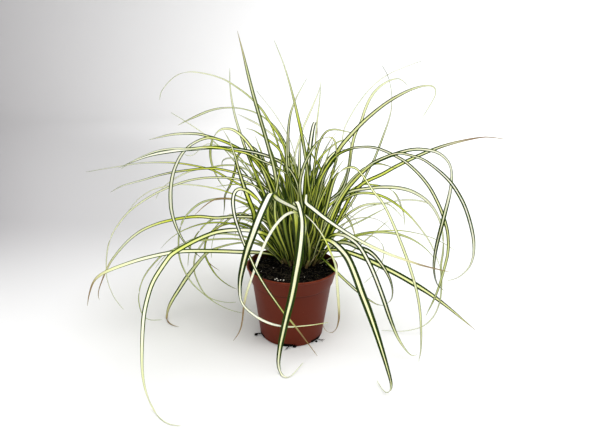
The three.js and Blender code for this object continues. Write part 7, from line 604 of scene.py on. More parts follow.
        ("YGOG", 0.38, 0, (-5.8,21.1,80,1.7,-160, -12.8,22.9,90.1,2.4,-160, -17.2,23.9,97.2,2.4,-160, -28.3,27,113.6,2.4,-160, -36.1,29,122.3,2.4,-160, -45.5,31.3,129.2,2.4,-162, -52.8,33,131.6,2.4,-164, -56.7,34,131.9,2.4,-166, -75.8,38.1,130.3,2.4,-169, -87.4,42.1,128.3,2.3,-171, -98.3,45.7,124.5,2.2,-175, -104.5,47.5,119.8,2.2,-170, -110.1,49.2,114.3,2.1,-144, -112.8,50,111.5,2.1,-190, -115.4,50.8,108.6,2.1,-159, -117.9,51.6,105.5,2.1,-74, -122.4,53,99.1,2,-48, -128.5,55.1,88.9,1.6,-40, -131.4,56.2,81.6,1.4,-42, -134.3,57.5,70,1,-45, -136.7,58.9,54.2,0.6,-46)),
        ("YGGG", 0.49, 0, (-6,23.1,80,1.5,-159, -12.6,25.1,89.2,1.5,-160, -14.7,25.7,92.3,1.5,-160, -26.2,28.5,108,1.5,-159, -39.7,32,122.6,1.5,-160, -46,33.6,127,1.5,-161, -52.9,35.7,129.9,1.5,-164, -56.6,37,130.6,1.5,-166, -64.1,39.9,130.3,1.5,-171, -74.9,43.7,127,1.4,-175, -81.3,45.6,123.2,1.3,-171, -86.8,47.4,118,1.2,-148, -89.4,48.4,115.2,1.1,-192, -91.8,49.4,112.3,1.1,-97, -94,50.4,109.2,1,-77, -97.9,52.4,102.6,0.9,-54, -102,55.3,91.9,0.8,-49, -104.5,58.2,80.7,0.6,-51, -106.3,62,65.4,0.6,-53)),
    ],
    "shoot_left_7": [
        ("OOPP", 0.29, 0, (-2.6,19.5,80,1.7,-158, -6.3,18.8,83.8,2,-160, -8.1,19.1,87.5,2.3,-163, -8.9,19.8,91.3,2.6,-164, -12.2,21.4,102.8,2.6,-164, -19.8,23.6,121.2,2.6,-163, -28,25,134.9,2.6,-162, -36.1,25.5,148,2.6,-162, -43,26.3,157.3,2.6,-162, -48.4,27.1,163,2.6,-162, -54.8,28.1,167.6,2.5,-162, -75.9,31.4,178.4,2.4,-163, -93.6,34.2,187,2.2,-164, -116.8,37.9,191.5,2.1,-167, -132.4,40.3,193.2,2,-169, -148.2,42.8,193.5,1.9,-171, -171.8,46.5,192.2,1.6,-173, -187.5,49,190.2,1.4,-175, -210.7,52.6,185.5,1.1,-176, -230,55.7,181.6,0.8,-176, -253.2,59.3,176.7,0.6,-176)),
        ("OKOK", 0.48, 0, (-2.4,17.5,80,1.7,-162, -7.6,18,90.5,2.7,-162, -9.3,18.1,94,3,-162, -16.3,19,107.9,4.2,-163, -22,19.8,122.9,4.7,-164, -27.2,21.7,138.3,4.7,-164, -33.4,25,153,4.5,-164, -39.1,27,167.7,4.1,-164, -46.2,31.1,190,2.3,-164, -50.4,33.8,209.2,0.6,-164)),
        ("O", 0, 0, (-4.2,18.4,80,1.7,-118, -10.7,19,90,2.7,-118, -15.5,19.5,96.4,2.8,-118, -21,19.6,102.4,2.9,-117, -27.3,19.8,107.3,2.9,-117, -44.7,21.5,117.1,3.1,-117, -55.6,22.4,121.8,3.2,-117, -67.3,23.2,124.9,3.3,-117, -79.3,24.1,126.4,3.3,-117, -87.4,24.7,126.5,3.3,-117, -99.4,25.6,125.5,3,-117, -111.2,26.4,123,2.6,-117, -122.6,27.3,118.9,2.2,-117, -133.4,28,113.5,1.8,-117, -143.5,28.8,106.8,1.3,-117, -152.6,29.4,98.8,0.8,-117, -160.6,30,89.8,0.6,-117)),
    ],
    "shoot_left_8": [
        ("OPPP", 0.33, 0, (-7.9,15.7,80,1.7,-160, -13.8,16.3,90.6,1.7,-161, -17.1,16.7,98,1.7,-162, -22.9,18.5,112.8,1.7,-163, -28.8,20.2,127.5,1.7,-162, -34.4,21.6,137.8,1.7,-161, -39.2,22.6,144,1.7,-161, -45.1,23.5,149.2,1.7,-161, -55.5,24.8,154.9,1.6,-161, -73.8,27.2,162.2,1.5,-162, -85.1,28.8,165.4,1.5,-163, -104.5,31.6,168.4,1.4,-165, -128.1,35.2,169.4,1.3,-168, -135.9,36.5,168.8,1.2,-171, -162.6,40.8,162.5,0.9,-177, -173.3,42.7,157.7,0.8,-182, -186.2,45,148.8,0.7,-189, -194.6,46.5,140.5,0.6,-193, -204.6,48.6,128.3,0.6,-197)),
        ("GGYG", 0.18, 0.85, (-9.9,15.8,80,1.7,-156, -17.7,16.2,88.8,1.9,-156, -20.4,16.4,91.6,1.9,-156, -29.2,16.8,99.2,1.9,-154, -36.2,17,103,1.9,-154, -43.9,17.1,104.7,1.9,-154, -59.9,17,104.8,2,-155, -67.8,17.1,103.6,2.1,-156, -79.5,17.3,100.7,2.2,-157, -97.9,17.9,93.2,3,-162, -104.1,18.2,88.1,3.4,-167, -109.4,18.5,82.2,3.9,-169, -119.2,19.2,69.5,4.7,-171, -128.7,19.9,56.7,5.3,-173, -139.5,20.9,39.8,4.8,-175, -148,21.8,26.3,4.3,-179, -153.5,22.5,15.6,4,-192, -156.3,22.9,8.2,3.5,-217, -157.1,22.5,4.6,3.3,-236, -157,20.7,2,3,-182, -155.9,17.5,1.2,2.8,-153, -154.2,13.9,1.1,2.6,-48, -149.7,7.3,1.1,2,-2, -143.6,2.3,1.1,1.4,23, -136.2,-0.5,1.1,0.8,33)),
        ("YDKO", 0.46, 0, (-8.8,17.5,80,1.7,-159, -13.2,18.2,86.6,2.3,-159, -15.4,19,89.8,2.7,-159, -26.2,23.1,105.9,2.7,-158, -31.5,23,112.2,2.7,-155, -34.5,22.3,114.8,2.7,-154, -54.1,15,127.1,2.1,-149, -61,12.4,130.2,1.9,-146, -64.7,11,130.9,1.7,-144, -72.2,8.2,130.8,1.2,-142, -79.6,5.5,129.9,0.7,-140, -83.2,4,128.6,0.6,-140)),
    ],
    "shoot_left_9": [
        ("YOPG", 0.2, 0.86, (-7.7,9.3,80,1.7,-160, -11.5,9.7,87.2,2.3,-162, -12.7,10.2,91,2.7,-163, -15,11.3,98.6,3.3,-163, -19.7,12.3,114.1,4.2,-163, -24.4,13.8,124.9,4.2,-161, -29.2,14.3,131,4.2,-159, -36,14.2,135,4.2,-158, -43.6,14,137.2,4.1,-157, -55.6,13.8,138,4.1,-157, -67.5,13.4,137.9,4,-157, -87.4,12.9,136.1,3.9,-157, -107.3,12.8,137.4,3.8,-157, -123.4,13.6,135.7,3.6,-160, -142.7,12.6,131.9,3.5,-161, -157.9,12.7,127.2,3.3,-164, -175.9,13.1,118.6,3.2,-168, -191.7,13.6,106.4,2.9,-174, -202.8,14.1,95,2.7,-178, -213,14.7,82.7,2.4,-181, -219.8,15.3,72.8,2.2,-185, -230.9,16.5,51.6,1.4,-189, -237,17.4,36.9,0.9,-197, -238.2,18,29.2,0.7,-204, -237.7,18.4,25.2,0.6,-206)),
        ("left_low", 0, 0.86, (-9.2,10.6,80,1.7,-156, -14.1,11.7,85.6,2.3,-156, -16.8,12.5,88.2,2.7,-155, -19.9,12.8,90.3,3,-154, -27,11.6,93.1,3.6,-152, -38.3,8.9,95.8,4.6,-151, -61.6,4.3,98.2,4.9,-150, -88.8,-1,100.8,4.8,-150, -112.2,-5.6,102.4,4.8,-150, -127.8,-8.6,102.5,4.8,-150, -143.3,-11.6,100.7,4.7,-151, -162.5,-15.3,97,4.5,-152, -177.6,-18.3,93,4.2,-153, -199.8,-22.6,85.4,3.7,-155, -210.4,-24.6,80.4,3.2,-159, -216.5,-25.8,75.5,2.6,-165, -220.9,-26.7,69.1,1.9,-171, -226.4,-27.8,54.2,1.2,-178, -229.1,-28.3,42.6,0.6,-181)),
        ("GGYG", 0.14, 0, (-9.6,8.7,80,1.7,-156, -17.6,9.5,89,2.2,-156, -20.4,10.1,91.8,2.2,-156, -29.6,12.1,98.8,2.2,-155, -39.9,12,104.6,2.1,-154, -54.8,9.9,110.1,2.1,-153, -66.5,8.2,112.6,2,-153, -82.4,5.7,113.2,2,-152, -110.1,1.2,111.9,1.9,-153, -114.1,0.7,111.4,1.9,-154, -121.6,-0.5,108.8,1.8,-155, -132.1,-2.7,103.5,1.8,-156, -143.1,-4.9,99.2,1.8,-157, -149.5,-6.2,94.8,1.7,-160, -160.4,-8.5,83.2,1.6,-162, -165.3,-9.6,76.9,1.5,-160, -169.4,-10.6,70.1,1.4,-151, -172.6,-11.5,62.8,1.4,-126, -173.9,-11.9,59,1.3,-171, -174.9,-12.3,55.1,1.3,-141, -175.7,-12.7,51.2,1.3,-55, -176.6,-13.3,43.2,1.2,-30, -175.5,-13.9,31.3,1,-22, -173,-14.2,23.8,0.9,-23, -170.6,-14.2,20.7,0.8,-24, -167.3,-14.1,18.6,0.7,-24, -163.5,-13.9,17.5,0.6,-24, -151.6,-13.4,18,0.6,-22)),
    ],
    "shoot_right_1": [
        ("YPGP", 0.21, 0, (21.5,11.2,80,1.7,162, 25.6,9.7,91,2.7,164, 28,9.6,98.6,3.3,164, 34.8,10.6,126.4,4.1,165, 39.9,11.5,141.5,4.1,164, 43.5,11.9,148.7,4.1,163, 47.9,12.3,155.4,4.1,161, 55.9,12.7,164.2,4.1,160, 62,11.6,169.2,4.1,158, 69.2,9.9,172.4,4.1,156, 80.7,7.7,175.1,4,154, 96.3,5.3,177.6,4,154, 112.1,2.8,178.1,4,155, 123.8,1,176.5,4,156, 131.4,-0.2,174.1,3.8,157, 141.8,-1.9,168.6,3.4,159, 148,-3,163.7,3.1,161, 155.9,-4.3,154.7,2.8,163, 163.3,-5.7,140.7,2.4,157, 166.6,-6.4,129.2,2.3,122, 167.3,-6.6,125.3,2.3,171, 168,-6.8,121.4,2.3,144, 168.6,-7,117.4,2.3,54, 169.2,-7.4,105.4,2.3,19, 168.8,-7.7,89.5,2.3,9, 170.6,-8.2,77.7,2.2,8, 172.1,-10,54.3,1.7,10, 171.5,-10.6,46.6,1.5,12, 169.6,-9.7,34.3,1.3,16, 167.1,-9.1,26.6,1.2,19, 163.1,-8.6,19.7,1.1,22, 157.9,-8.1,13.8,1,25, 151.2,-7.4,9.5,0.9,26, 143.9,-6.6,6.5,0.8,27, 132.3,-5.3,3.5,0.7,27, 108.5,-2.7,2.5,0.6,27)),
        ("YOPP", 0.37, 0, (22.5,12.9,80,1.7,162, 26.7,11.5,91.8,2.7,163, 32.9,14,110.5,3.5,164, 39.5,15,133.2,3.5,163, 46.1,15.7,147.6,3.5,161, 53.7,15.6,156.7,3.5,159, 63.1,14.5,163.8,3.4,157, 70,13.6,167.3,3.3,156, 77.7,12.8,168.8,3.2,156, 89.6,11.6,168.5,3.1,156, 97.4,10.7,166.7,3,157, 104.8,9.9,163.9,2.9,158, 115.2,8.5,158,2.6,159, 130.6,6.3,145.6,2.1,161, 141.6,4.6,134.1,1.7,163, 154,2.4,118.5,1.3,165, 161.9,0.7,104.7,1,168, 169.9,-1.4,86.5,0.6,170)),
        ("CCCY", 0.42, 0, (23.5,11.2,80,1.7,161, 28.4,10.3,90.7,2.7,162, 29.9,10.3,94.4,3,162, 38.2,10.3,116.9,4.9,163, 45.2,9.8,136,5.8,163, 52.8,8.4,159.4,5.5,163, 56.2,8.4,166.8,5.2,162, 62.2,10,177,4.9,162, 77.9,12.7,195.1,3.6,163, 84.2,13.5,200,3.1,165, 87.8,14,201.5,2.8,167, 95.7,15.1,201.6,2.1,172, 114.7,17.9,196,0.6,176)),
    ],
    "shoot_right_2": [
        ("WWYG", 0.31, 0, (19.5,14.6,80,1.7,166, 22.2,13.8,91.8,2.7,167, 22.9,13.7,95.8,3,167, 25.1,13.4,111.5,4,169, 26.8,15.8,130.8,4,169, 27.6,16.1,138.7,4,169, 29.4,13.6,166.7,4,169, 30.5,12.7,174.3,4,167, 34.3,9.9,189.4,4,164, 38.6,8,200.6,4,161, 42.8,6.4,207.6,3.8,159, 48.1,5.2,213.4,3.4,156, 62.2,3.5,220,2.9,153, 69.7,1.7,221.7,2.9,152, 81.2,-1.3,222.5,3,151, 88.8,-3.4,221.5,3.1,150, 96.2,-5.4,219.1,3.2,150, 110.4,-9.2,213,3.4,150, 117.2,-11,209.2,3.4,150, 129.3,-14.2,199.3,3.5,151, 137.5,-16.4,190.9,3.6,152, 144.8,-18.4,181.6,3.7,153, 154.8,-21.1,164.5,3.7,154, 159.8,-22.4,153.7,3.6,156, 165.2,-23.9,138.8,3.4,158, 168.1,-24.6,123.1,3.2,162, 168.6,-24.8,111.1,3.1,164, 168,-24.6,103.2,3,166, 164.5,-23.7,75.5,2.6,167, 161.5,-22.9,59.8,2.2,169, 153.9,-20.8,33,1,171)),
        ("CYYP", 0.32, 0, (18.3,16.2,80,1.7,167, 20.3,15.7,91.8,2.7,168, 21.3,15.9,99.6,3.3,169, 22.3,17.6,119.8,4.9,172, 20.8,18.6,128.1,5.2,173, 18.2,18.6,136.1,5.2,171, 17.5,18,140.1,5.2,169, 17.9,16.8,147.8,5.2,165, 19.3,16.1,155.5,5.2,162, 23.9,15.5,170.9,5.2,159, 34.2,14.1,192,5.1,157, 44.7,10.8,208.8,5,157, 49.7,8.7,219.5,4.9,157, 56.4,6,229.2,4.7,155, 71.3,1.2,247.2,4.3,154, 82.2,-2.4,258.2,3.9,153, 93.8,-6.3,268.4,3.5,152, 106.4,-10.6,277,3.1,151, 116.5,-14.1,282.3,2.4,150, 127.2,-17.9,285.7,1.6,148, 134.4,-20.4,285.6,1.2,146, 136.9,-21.5,283.5,1.1,144, 137.8,-22.1,280,1,142, 137.2,-22.5,276.2,0.9,141, 126.7,-23.2,254.9,0.6,138)),
        ("OYYY", 0.65, 0, (20.3,16.4,80,1.7,170, 20.3,15.2,83.7,2,168, 21.1,15.2,87.3,2.3,166, 22.4,15.9,91.1,2.7,165, 23.7,16.4,94.9,3,165, 27.6,16.9,110.5,3.4,165, 32.9,18.3,137.6,3.4,165, 37.9,19.5,165,3.4,165, 40.2,18.7,176.6,3.4,165, 46.1,15.1,203.3,2.8,166, 46.9,14.4,211,2.4,169, 46.1,12.9,218.8,2.1,172, 45.1,11.9,222.6,1.6,175, 41.6,10.1,229.6,0.6,178)),
    ],
    "shoot_right_3": [
        ("right_third", 0, 0, (27.9,11,80,1.7,157, 34.2,10.1,90,2.6,158, 42.5,9,103.3,3.9,153, 47.8,7.4,108.9,4.5,147, 50.8,5.9,110.9,4.7,143, 57.1,1.9,113.2,4.9,135, 63.6,-2.5,113.8,5.1,129, 73.3,-8.8,111.6,5.5,126, 83.6,-14.2,109.8,5.8,124, 89.7,-17.7,106.4,5.6,123, 97.5,-21.9,98.5,5.5,123, 104.2,-24.1,89.1,5.3,125, 109.5,-24.9,78.5,4.8,129, 112.4,-25.6,67.1,4,136, 112.4,-25.8,59.3,2.9,142, 111.3,-25.9,55.6,2.1,146, 106.2,-26,49.8,0.6,150)),
        ("YYYYY", 0.06, 0.955, (27.1,12.8,80,1.7,170, 26.8,15.3,91.1,2.6,164, 28.6,15.2,94,2.9,159, 31.7,14.4,96.1,3.3,154, 38.9,12.7,98.8,3.9,149, 46.5,11.3,100.3,4.5,147, 58.3,9.9,99.8,5.3,147, 81.1,6.6,93.3,6.3,147, 103,3.1,84.3,6.6,147, 121,0.3,76.1,6.6,148, 138.5,-2.5,67,6.6,149, 155.8,-5.2,57.2,6.4,149, 172.8,-6.5,45.7,6.2,151, 188.3,-10.3,34.6,5.5,152, 203.8,-12.9,22.3,3.8,152, 216.3,-14.8,12.5,0.6,152)),
        ("PPPG", 0.48, 0, (29.1,12.6,80,1.5,153, 35.5,12.4,84,1.5,152, 39,12.6,85.5,1.5,152, 46.1,13.2,89.5,1.5,152, 57.2,14.4,91,1.5,153, 67.9,15.5,95.3,1.5,152, 74,15.7,100.2,1.5,152, 93.5,15.5,119.5,1.4,152, 110.1,15.7,136.3,0.6,153)),
    ],
    "shoot_right_4": [
        ("PPPG", 0.35, 0, (26.2,17.7,80,1.3,158, 33.3,17.8,89.7,1.3,158, 39.8,18.2,99.5,1.3,159, 55.3,20.8,122.5,1.3,159, 65.7,22.8,134.5,1.3,158, 78,24.9,144.3,1.3,159, 85.1,25.9,147.9,1.3,160, 92.6,26.8,150.2,1.3,161, 108.2,28.5,153.4,1.5,162, 123.8,30.2,156.1,1.6,163, 135.7,31.5,156.7,1.7,164, 147.5,32.8,155.5,1.8,160, 155.2,33.7,153.6,1.9,148, 158.8,34.1,152,1.9,134, 165,34.8,147.2,1.9,81, 169.7,35.3,140.9,2,47, 174,35.8,134.1,2,32, 181.7,36.7,125.1,2,26, 184,37,121.9,2,27, 187.3,37.4,114.7,2,31, 189.7,37.8,103,1.9,36, 190.5,38,87.1,1.5,39, 188.6,38,67.2,0.9,41, 186.9,38,51.3,0.6,40)),
        ("CCYWW", 0.31, 0.82, (24.8,16.3,80,1.7,160, 31,17.4,90.4,2.7,160, 32.9,17.6,94,3,160, 42.2,18.2,112.1,4.4,161, 50.7,19.5,130.1,4.4,161, 57.4,20.4,144.6,4.4,161, 65.5,20.9,162.9,4.4,160, 69.9,21,169.5,4.4,159, 78.6,21.1,177.7,4.5,159, 85.4,21.1,181.8,4.5,158, 99.8,21.2,188.9,4.5,158, 113.3,21,197.3,4.5,158, 134.4,20.4,208.7,4.2,159, 148.8,19.8,215.7,4.1,159, 167.3,19,223.2,3.5,160, 190.4,17.7,229.8,2.2,161, 206.1,16.8,232.7,1.2,163, 214,16.3,232.8,0.9,165, 229.9,15.3,231.1,0.6,167)),
        ("O", 0, 0, (26.8,15.8,80,1.7,103, 34.2,15.7,89.1,2.7,101, 42.4,16.1,97.4,3.6,98, 48.5,15.6,102.5,3.7,96, 58.7,13.9,109.4,3.8,93, 76.8,12.5,118.2,4,89, 88.3,11.7,121.9,4.2,86, 100.1,11,124.5,4.2,83, 120.2,9.9,126,3.9,79, 132.3,9.3,125.2,3.4,76, 144.2,8.8,123.2,2.8,74, 155.9,8.3,120,2.3,72, 167.1,7.9,115.6,1.7,69, 177.9,7.6,110,1,67, 188,7.4,103.4,0.6,65)),
    ],
    "shoot_right_5": [
        ("OOPP", 0.51, 0, (26.5,23.9,80,1.7,163, 31.7,25.7,91.1,1.9,163, 33.1,26.1,94.9,1.9,163, 41,27.9,117.1,1.9,164, 47.2,30.1,135.9,1.9,164, 53.5,32.5,150.4,1.9,164, 57.7,33.9,157,1.9,164, 62.9,35.7,162.8,1.9,165, 69.2,37.6,167.1,1.9,167, 79.6,40.8,171.9,2,172, 83.3,41.9,172.1,2,175, 102.1,47.2,169.1,2.2,173, 113.2,50.1,165.5,2.2,145, 116.7,51,163.9,2.3,126, 119.8,51.8,161.6,2.3,92, 122.6,52.4,158.9,2.3,72, 127.1,53.3,152.4,2.3,51, 133.8,54.2,138,1.6,43, 136.5,54.4,130.4,1.2,44, 139.2,53.8,114.7,0.6,45)),
        ("YPYP", 0.39, 0, (26.7,21.9,80,1.7,160, 32.7,24,89.8,2.7,161, 34.6,24.4,93.3,2.7,161, 44.7,26.9,115.4,2.7,161, 51.1,28.5,125.4,2.7,160, 59.4,30.6,133.7,2.7,160, 65.5,32.1,138.5,2.7,161, 79,35.7,146.1,2.7,164, 90.2,38.6,148.6,2.6,168, 109.4,43.7,148.3,1.8,175, 113,44.7,147.5,1.6,180, 116.4,45.6,145.7,1.4,184, 122.4,47.3,140.8,1.2,190, 130.7,49.6,132.6,0.7,194, 135.7,50.9,126.5,0.6,196)),
        ("PPPP", 0.29, 0, (28.3,23.1,80,1.5,157, 36.2,24.7,88.5,1.5,157, 44.7,26.3,96.2,1.5,156, 51.1,27.5,100.7,1.5,157, 58.2,28.8,104.2,1.5,157, 77.1,32.2,109.7,1.4,158, 84.8,33.5,111,1.4,159, 92.6,34.7,110.4,1.3,157, 99.9,35.8,107.6,1.3,147, 105.9,36.6,102.5,1.2,116, 108.3,36.8,99.3,1.2,81, 110.1,37,95.8,1.2,62, 111.9,36.8,88.2,1.1,42, 111.4,36,80.3,1,37, 108.9,34.8,72.8,0.9,36, 103,32.4,62.7,0.7,36, 88.3,27.2,50.2,0.6,35)),
    ],
}

# look: green margin, tone, dullness, darkness of the green
LOOKS = {
    "W": (0.72, 0.10, 0.00, 1.00), "V": (0.46, 0.16, 0.05, 0.80), "E": (0.82, 0.45, 0.08, 1.00), "Y": (0.67, 0.46, 0.05, 1.00), "C": (0.58, 0.92, 0.05, 0.97),
    "O": (0.54, 1.40, 0.12, 0.90), "K": (0.62, 1.80, 0.08, 1.00), "D": (0.80, 1.60, 0.05, 1.00),
    "P": (0.38, 0.20, 0.26, 0.82), "G": (0.45, 0.45, 0.75, 0.70), "T": (0.12, 0.55, 0.15, 0.60),
}
# leaves whose look changes more along them: place from 0 to 1, then the same four numbers
SPECIAL = {
    "front_left_long": ((0, .60, 1.5, .3, .9), (.12, .6, 1.6, .3, .9), (.16, .4, .3, .1, .9), (.20, .75, 1.5, .1, 1), (.235, .6, .8, .1, .9),
        (.255, .50, .10, 0, .9), (.31, .50, .03, 0, .9), (.335, .5, .25, 0, .9), (.355, .9, 1.4, .1, 1), (.375, .58, .05, 0, 1), (.5, .56, .08, 0, 1), (.57, .72, .34, 0, 1),
        (.65, .74, .30, 0, 1), (.70, .45, .10, 0, .8), (.78, .30, .06, .05, .6), (.86, .16, .06, .05, .4), (.93, .14, .3, .2, .4), (1, .12, .5, .3, .4)),
    "front_middle": ((0, .5, .2, .1, 1), (.03, .5, .3, .1, 1), (.07, .9, 1.6, .1, 1), (.13, .85, 1.6, .1, 1), (.16, .6, 1.4, 0, 1), (.19, .45, .95, 0, .8),
        (.23, .3, .7, 0, .8), (.27, .38, .3, 0, .9), (.30, .58, .20, 0, 1), (.34, .62, .14, 0, 1), (.5, .61, .27, 0, 1), (.6, .68, .36, 0, 1),
        (.68, .72, .38, 0, 1), (.78, .72, .42, .05, 1), (.84, .60, .14, .05, .9), (.90, .12, .1, .1, .4), (1, .12, .2, .2, .4)),
    "front_pale": ((0, .3, .3, .2, .7), (.08, .16, .06, 0, .7), (.20, .3, .25, 0, .8), (.25, .5, .9, .1, .9), (.31, .3, .75, .05, .8), (.345, .12, .06, 0, .7),
        (.62, .12, .04, 0, .7), (.69, .12, .22, 0, .7), (.74, .12, .3, .3, .7), (1, .1, .3, .6, .6)),
    "left_arch": ((0, .6, 1.8, .3, 1), (.1, .6, 1.7, .3, 1), (.17, .5, 1.7, .1, 1), (.205, .9, 1.8, .1, 1), (.225, .6, 1.3, 0, 1), (.26, .5, 1.15, 0, .9),
        (.30, .46, 1.1, 0, 1), (.34, .44, .7, 0, .9), (.38, .50, .3, 0, 1), (.41, .66, .06, 0, 1), (.53, .68, .06, 0, 1), (.58, .60, .36, .0, 1),
        (.65, .66, .22, .0, 1), (.71, .68, .36, .0, 1), (.77, .68, .55, .05, 1), (.82, .6, 1.2, .3, .9), (1, .3, 1.0, .3, .6)),
    "right_front": ((0, .6, 1.4, .3, .9), (.1, .6, 1.4, .3, .9), (.16, .5, .7, .3, .9), (.26, .6, 1.2, .2, .9), (.30, .2, .15, .1, .8), (.36, .3, .1, 0, .9),
        (.39, .46, .06, 0, 1), (.5, .52, .03, 0, 1), (.6, .52, .10, 0, 1), (.66, .40, .22, .03, .8), (.72, .2, .28, .15, .6), (.80, .12, .26, .15, .5), (1, .1, .4, .3, .5)),
    "right_thin": ((0, .3, 1.2, .4, .7), (.08, .16, .12, .1, .6), (.15, .2, .3, .1, .6), (.20, .3, 1.4, .2, .7), (.25, .12, .85, .05, .6), (.30, .14, .12, .05, .6),
        (.38, .3, .10, .05, .8), (.44, .25, .25, .2, .7), (.50, .25, 1.2, .4, .7), (.57, .2, .3, .4, .6), (.65, .12, .25, .12, .6), (.75, .12, .28, .2, .6), (1, .12, .4, .4, .6)),
    "left_low": ((0, .7, 1.6, .5, 1), (.06, .55, 1.3, .4, 1), (.10, .6, .4, .08, 1), (.25, .56, .42, .03, 1), (.34, .58, .6, .2, 1), (.40, .56, .42, .05, .9),
        (.50, .50, .2, 0, .8), (.65, .46, .2, 0, .7), (.75, .3, .38, .1, .6), (1, .3, .4, .4, .6)),
    "left_long": ((0, .7, 1.8, .3, 1), (.10, .6, 1.8, .2, 1), (.16, .5, 1.6, .1, 1), (.185, .40, .06, 0, .9), (.26, .48, .08, 0, .9), (.30, .56, .35, 0, 1),
        (.35, .6, .6, .3, 1), (.44, .56, .9, .35, .9), (.50, .52, .4, .2, .8), (.58, .56, .35, .02, .9), (.65, .52, .06, 0, .8), (.72, .42, .12, .1, .6),
        (.79, .2, .3, .4, .5), (1, .15, .2, .25, .5)),
    "right_broad": ((0, .6, 1.4, .3, 1), (.10, .5, 1.3, .3, .9), (.17, .7, 1.5, .2, 1), (.22, .52, .6, .05, 1), (.255, .56, .08, 0, 1), (.35, .66, .22, 0, 1),
        (.45, .68, .38, 0, 1), (.53, .70, .42, 0, 1), (.62, .73, .44, 0, 1), (.68, .76, .46, .05, 1), (0.85, 0.86, 0.4, 0.05, 1), (0.89, 0.48, 0.3, 0.3, 0.6), (1, 0.28, 0.2, 0.3, 0.5)),
    "right_second": ((0, .6, 1.8, .4, 1), (.12, .5, 1.4, .3, .9), (.2, .7, 1.7, .2, 1), (.245, .4, .3, .1, .8), (.3, .56, .10, .05, 1), (.35, .66, .08, 0, 1),
        (.6, .66, .08, 0, 1), (.68, .74, .20, .03, 1), (0.77, 0.78, 0.3, 0.15, 0.9), (0.84, 0.35, 0.3, 0.5, 0.6), (1, 0.3, 0.3, 0.45, 0.5)),
    "right_third": ((0, .6, 1.8, .3, 1), (.13, .5, 1.3, .3, 1), (.19, .45, .12, .05, .9), (.25, .5, .6, .2, .9), (.34, .60, .35, .20, .95), (.42, .66, .08, .05, 1),
        (.51, .74, .12, .02, 1), (.6, .74, .12, .0, 1), (.68, .72, .24, 0, 1), (0.8, 0.9, 0.32, 0, 1), (0.9, 0.82, 0.36, 0.1, 1), (1, 0.4, 0.5, 0.4, 0.8)),
}


def catmull(P, n):
    """n points along a centripetal Catmull-Rom curve through P, with the parameter of each on P's index."""
    P = np.asarray(P, float)
    Q = np.vstack([2 * P[0] - P[1], P, 2 * P[-1] - P[-2]])
    d = np.sqrt(np.maximum(np.linalg.norm(np.diff(Q, axis=0), axis=1), 1e-6))
    t = np.r_[0, np.cumsum(d)]
    # dense samples for arc length
    fine, index = [], []
    for i in range(1, len(Q) - 2):
        t0, t1, t2, t3 = t[i - 1:i + 3]
        p0, p1, p2, p3 = Q[i - 1:i + 3]
        m = 24
        for k in range(m + (i == len(Q) - 3)):
            s = t1 + (t2 - t1) * k / m
            a1 = (t1 - s) / (t1 - t0) * p0 + (s - t0) / (t1 - t0) * p1
            a2 = (t2 - s) / (t2 - t1) * p1 + (s - t1) / (t2 - t1) * p2
            a3 = (t3 - s) / (t3 - t2) * p2 + (s - t2) / (t3 - t2) * p3
            b1 = (t2 - s) / (t2 - t0) * a1 + (s - t0) / (t2 - t0) * a2
            b2 = (t3 - s) / (t3 - t1) * a2 + (s - t1) / (t3 - t1) * a3
            fine.append((t2 - s) / (t2 - t1) * b1 + (s - t1) / (t2 - t1) * b2)
            index.append(i - 1 + k / m)
    fine, index = np.array(fine), np.array(index)
    s = np.r_[0, np.cumsum(np.linalg.norm(np.diff(fine, axis=0), axis=1))]
    at = np.linspace(0, s[-1], n)
    return np.stack([np.interp(at, s, fine[:, k]) for k in range(3)], 1), np.interp(at, s, index), at


def unit(v):
    return v / (np.linalg.norm(v) + 1e-12)


def tangents(P):
    d = np.diff(P, axis=0)
    d /= np.linalg.norm(d, axis=1)[:, None] + 1e-12
    T = np.vstack([d[:1], d[1:] + d[:-1], d[-1:]])
    return T / (np.linalg.norm(T, axis=1)[:, None] + 1e-12)


def faces_up(P, turn):
    """The blade's upward normal at each control point: a frame carried along the midrib without spin, then turned."""
    T = tangents(P)
    R = [unit(np.array([0, 1.0, 0]) - T[0][1] * T[0])]
    for i in range(len(P) - 1):
        v = P[i + 1] - P[i]; c = v @ v
        rl = R[i] - (2 / c) * (v @ R[i]) * v
        tl = T[i] - (2 / c) * (v @ T[i]) * v
        w = T[i + 1] - tl; c2 = w @ w
        R.append(unit(rl - (2 / c2) * (w @ rl) * w) if c2 > 1e-12 else unit(rl))
    R = np.array(R); B = np.cross(T, R); a = np.radians(turn)[:, None]
    return np.cos(a) * R + np.sin(a) * B


ACROSS = np.array([-1, -0.8, -0.52, -0.2, 0, 0.2, 0.52, 0.8, 1])


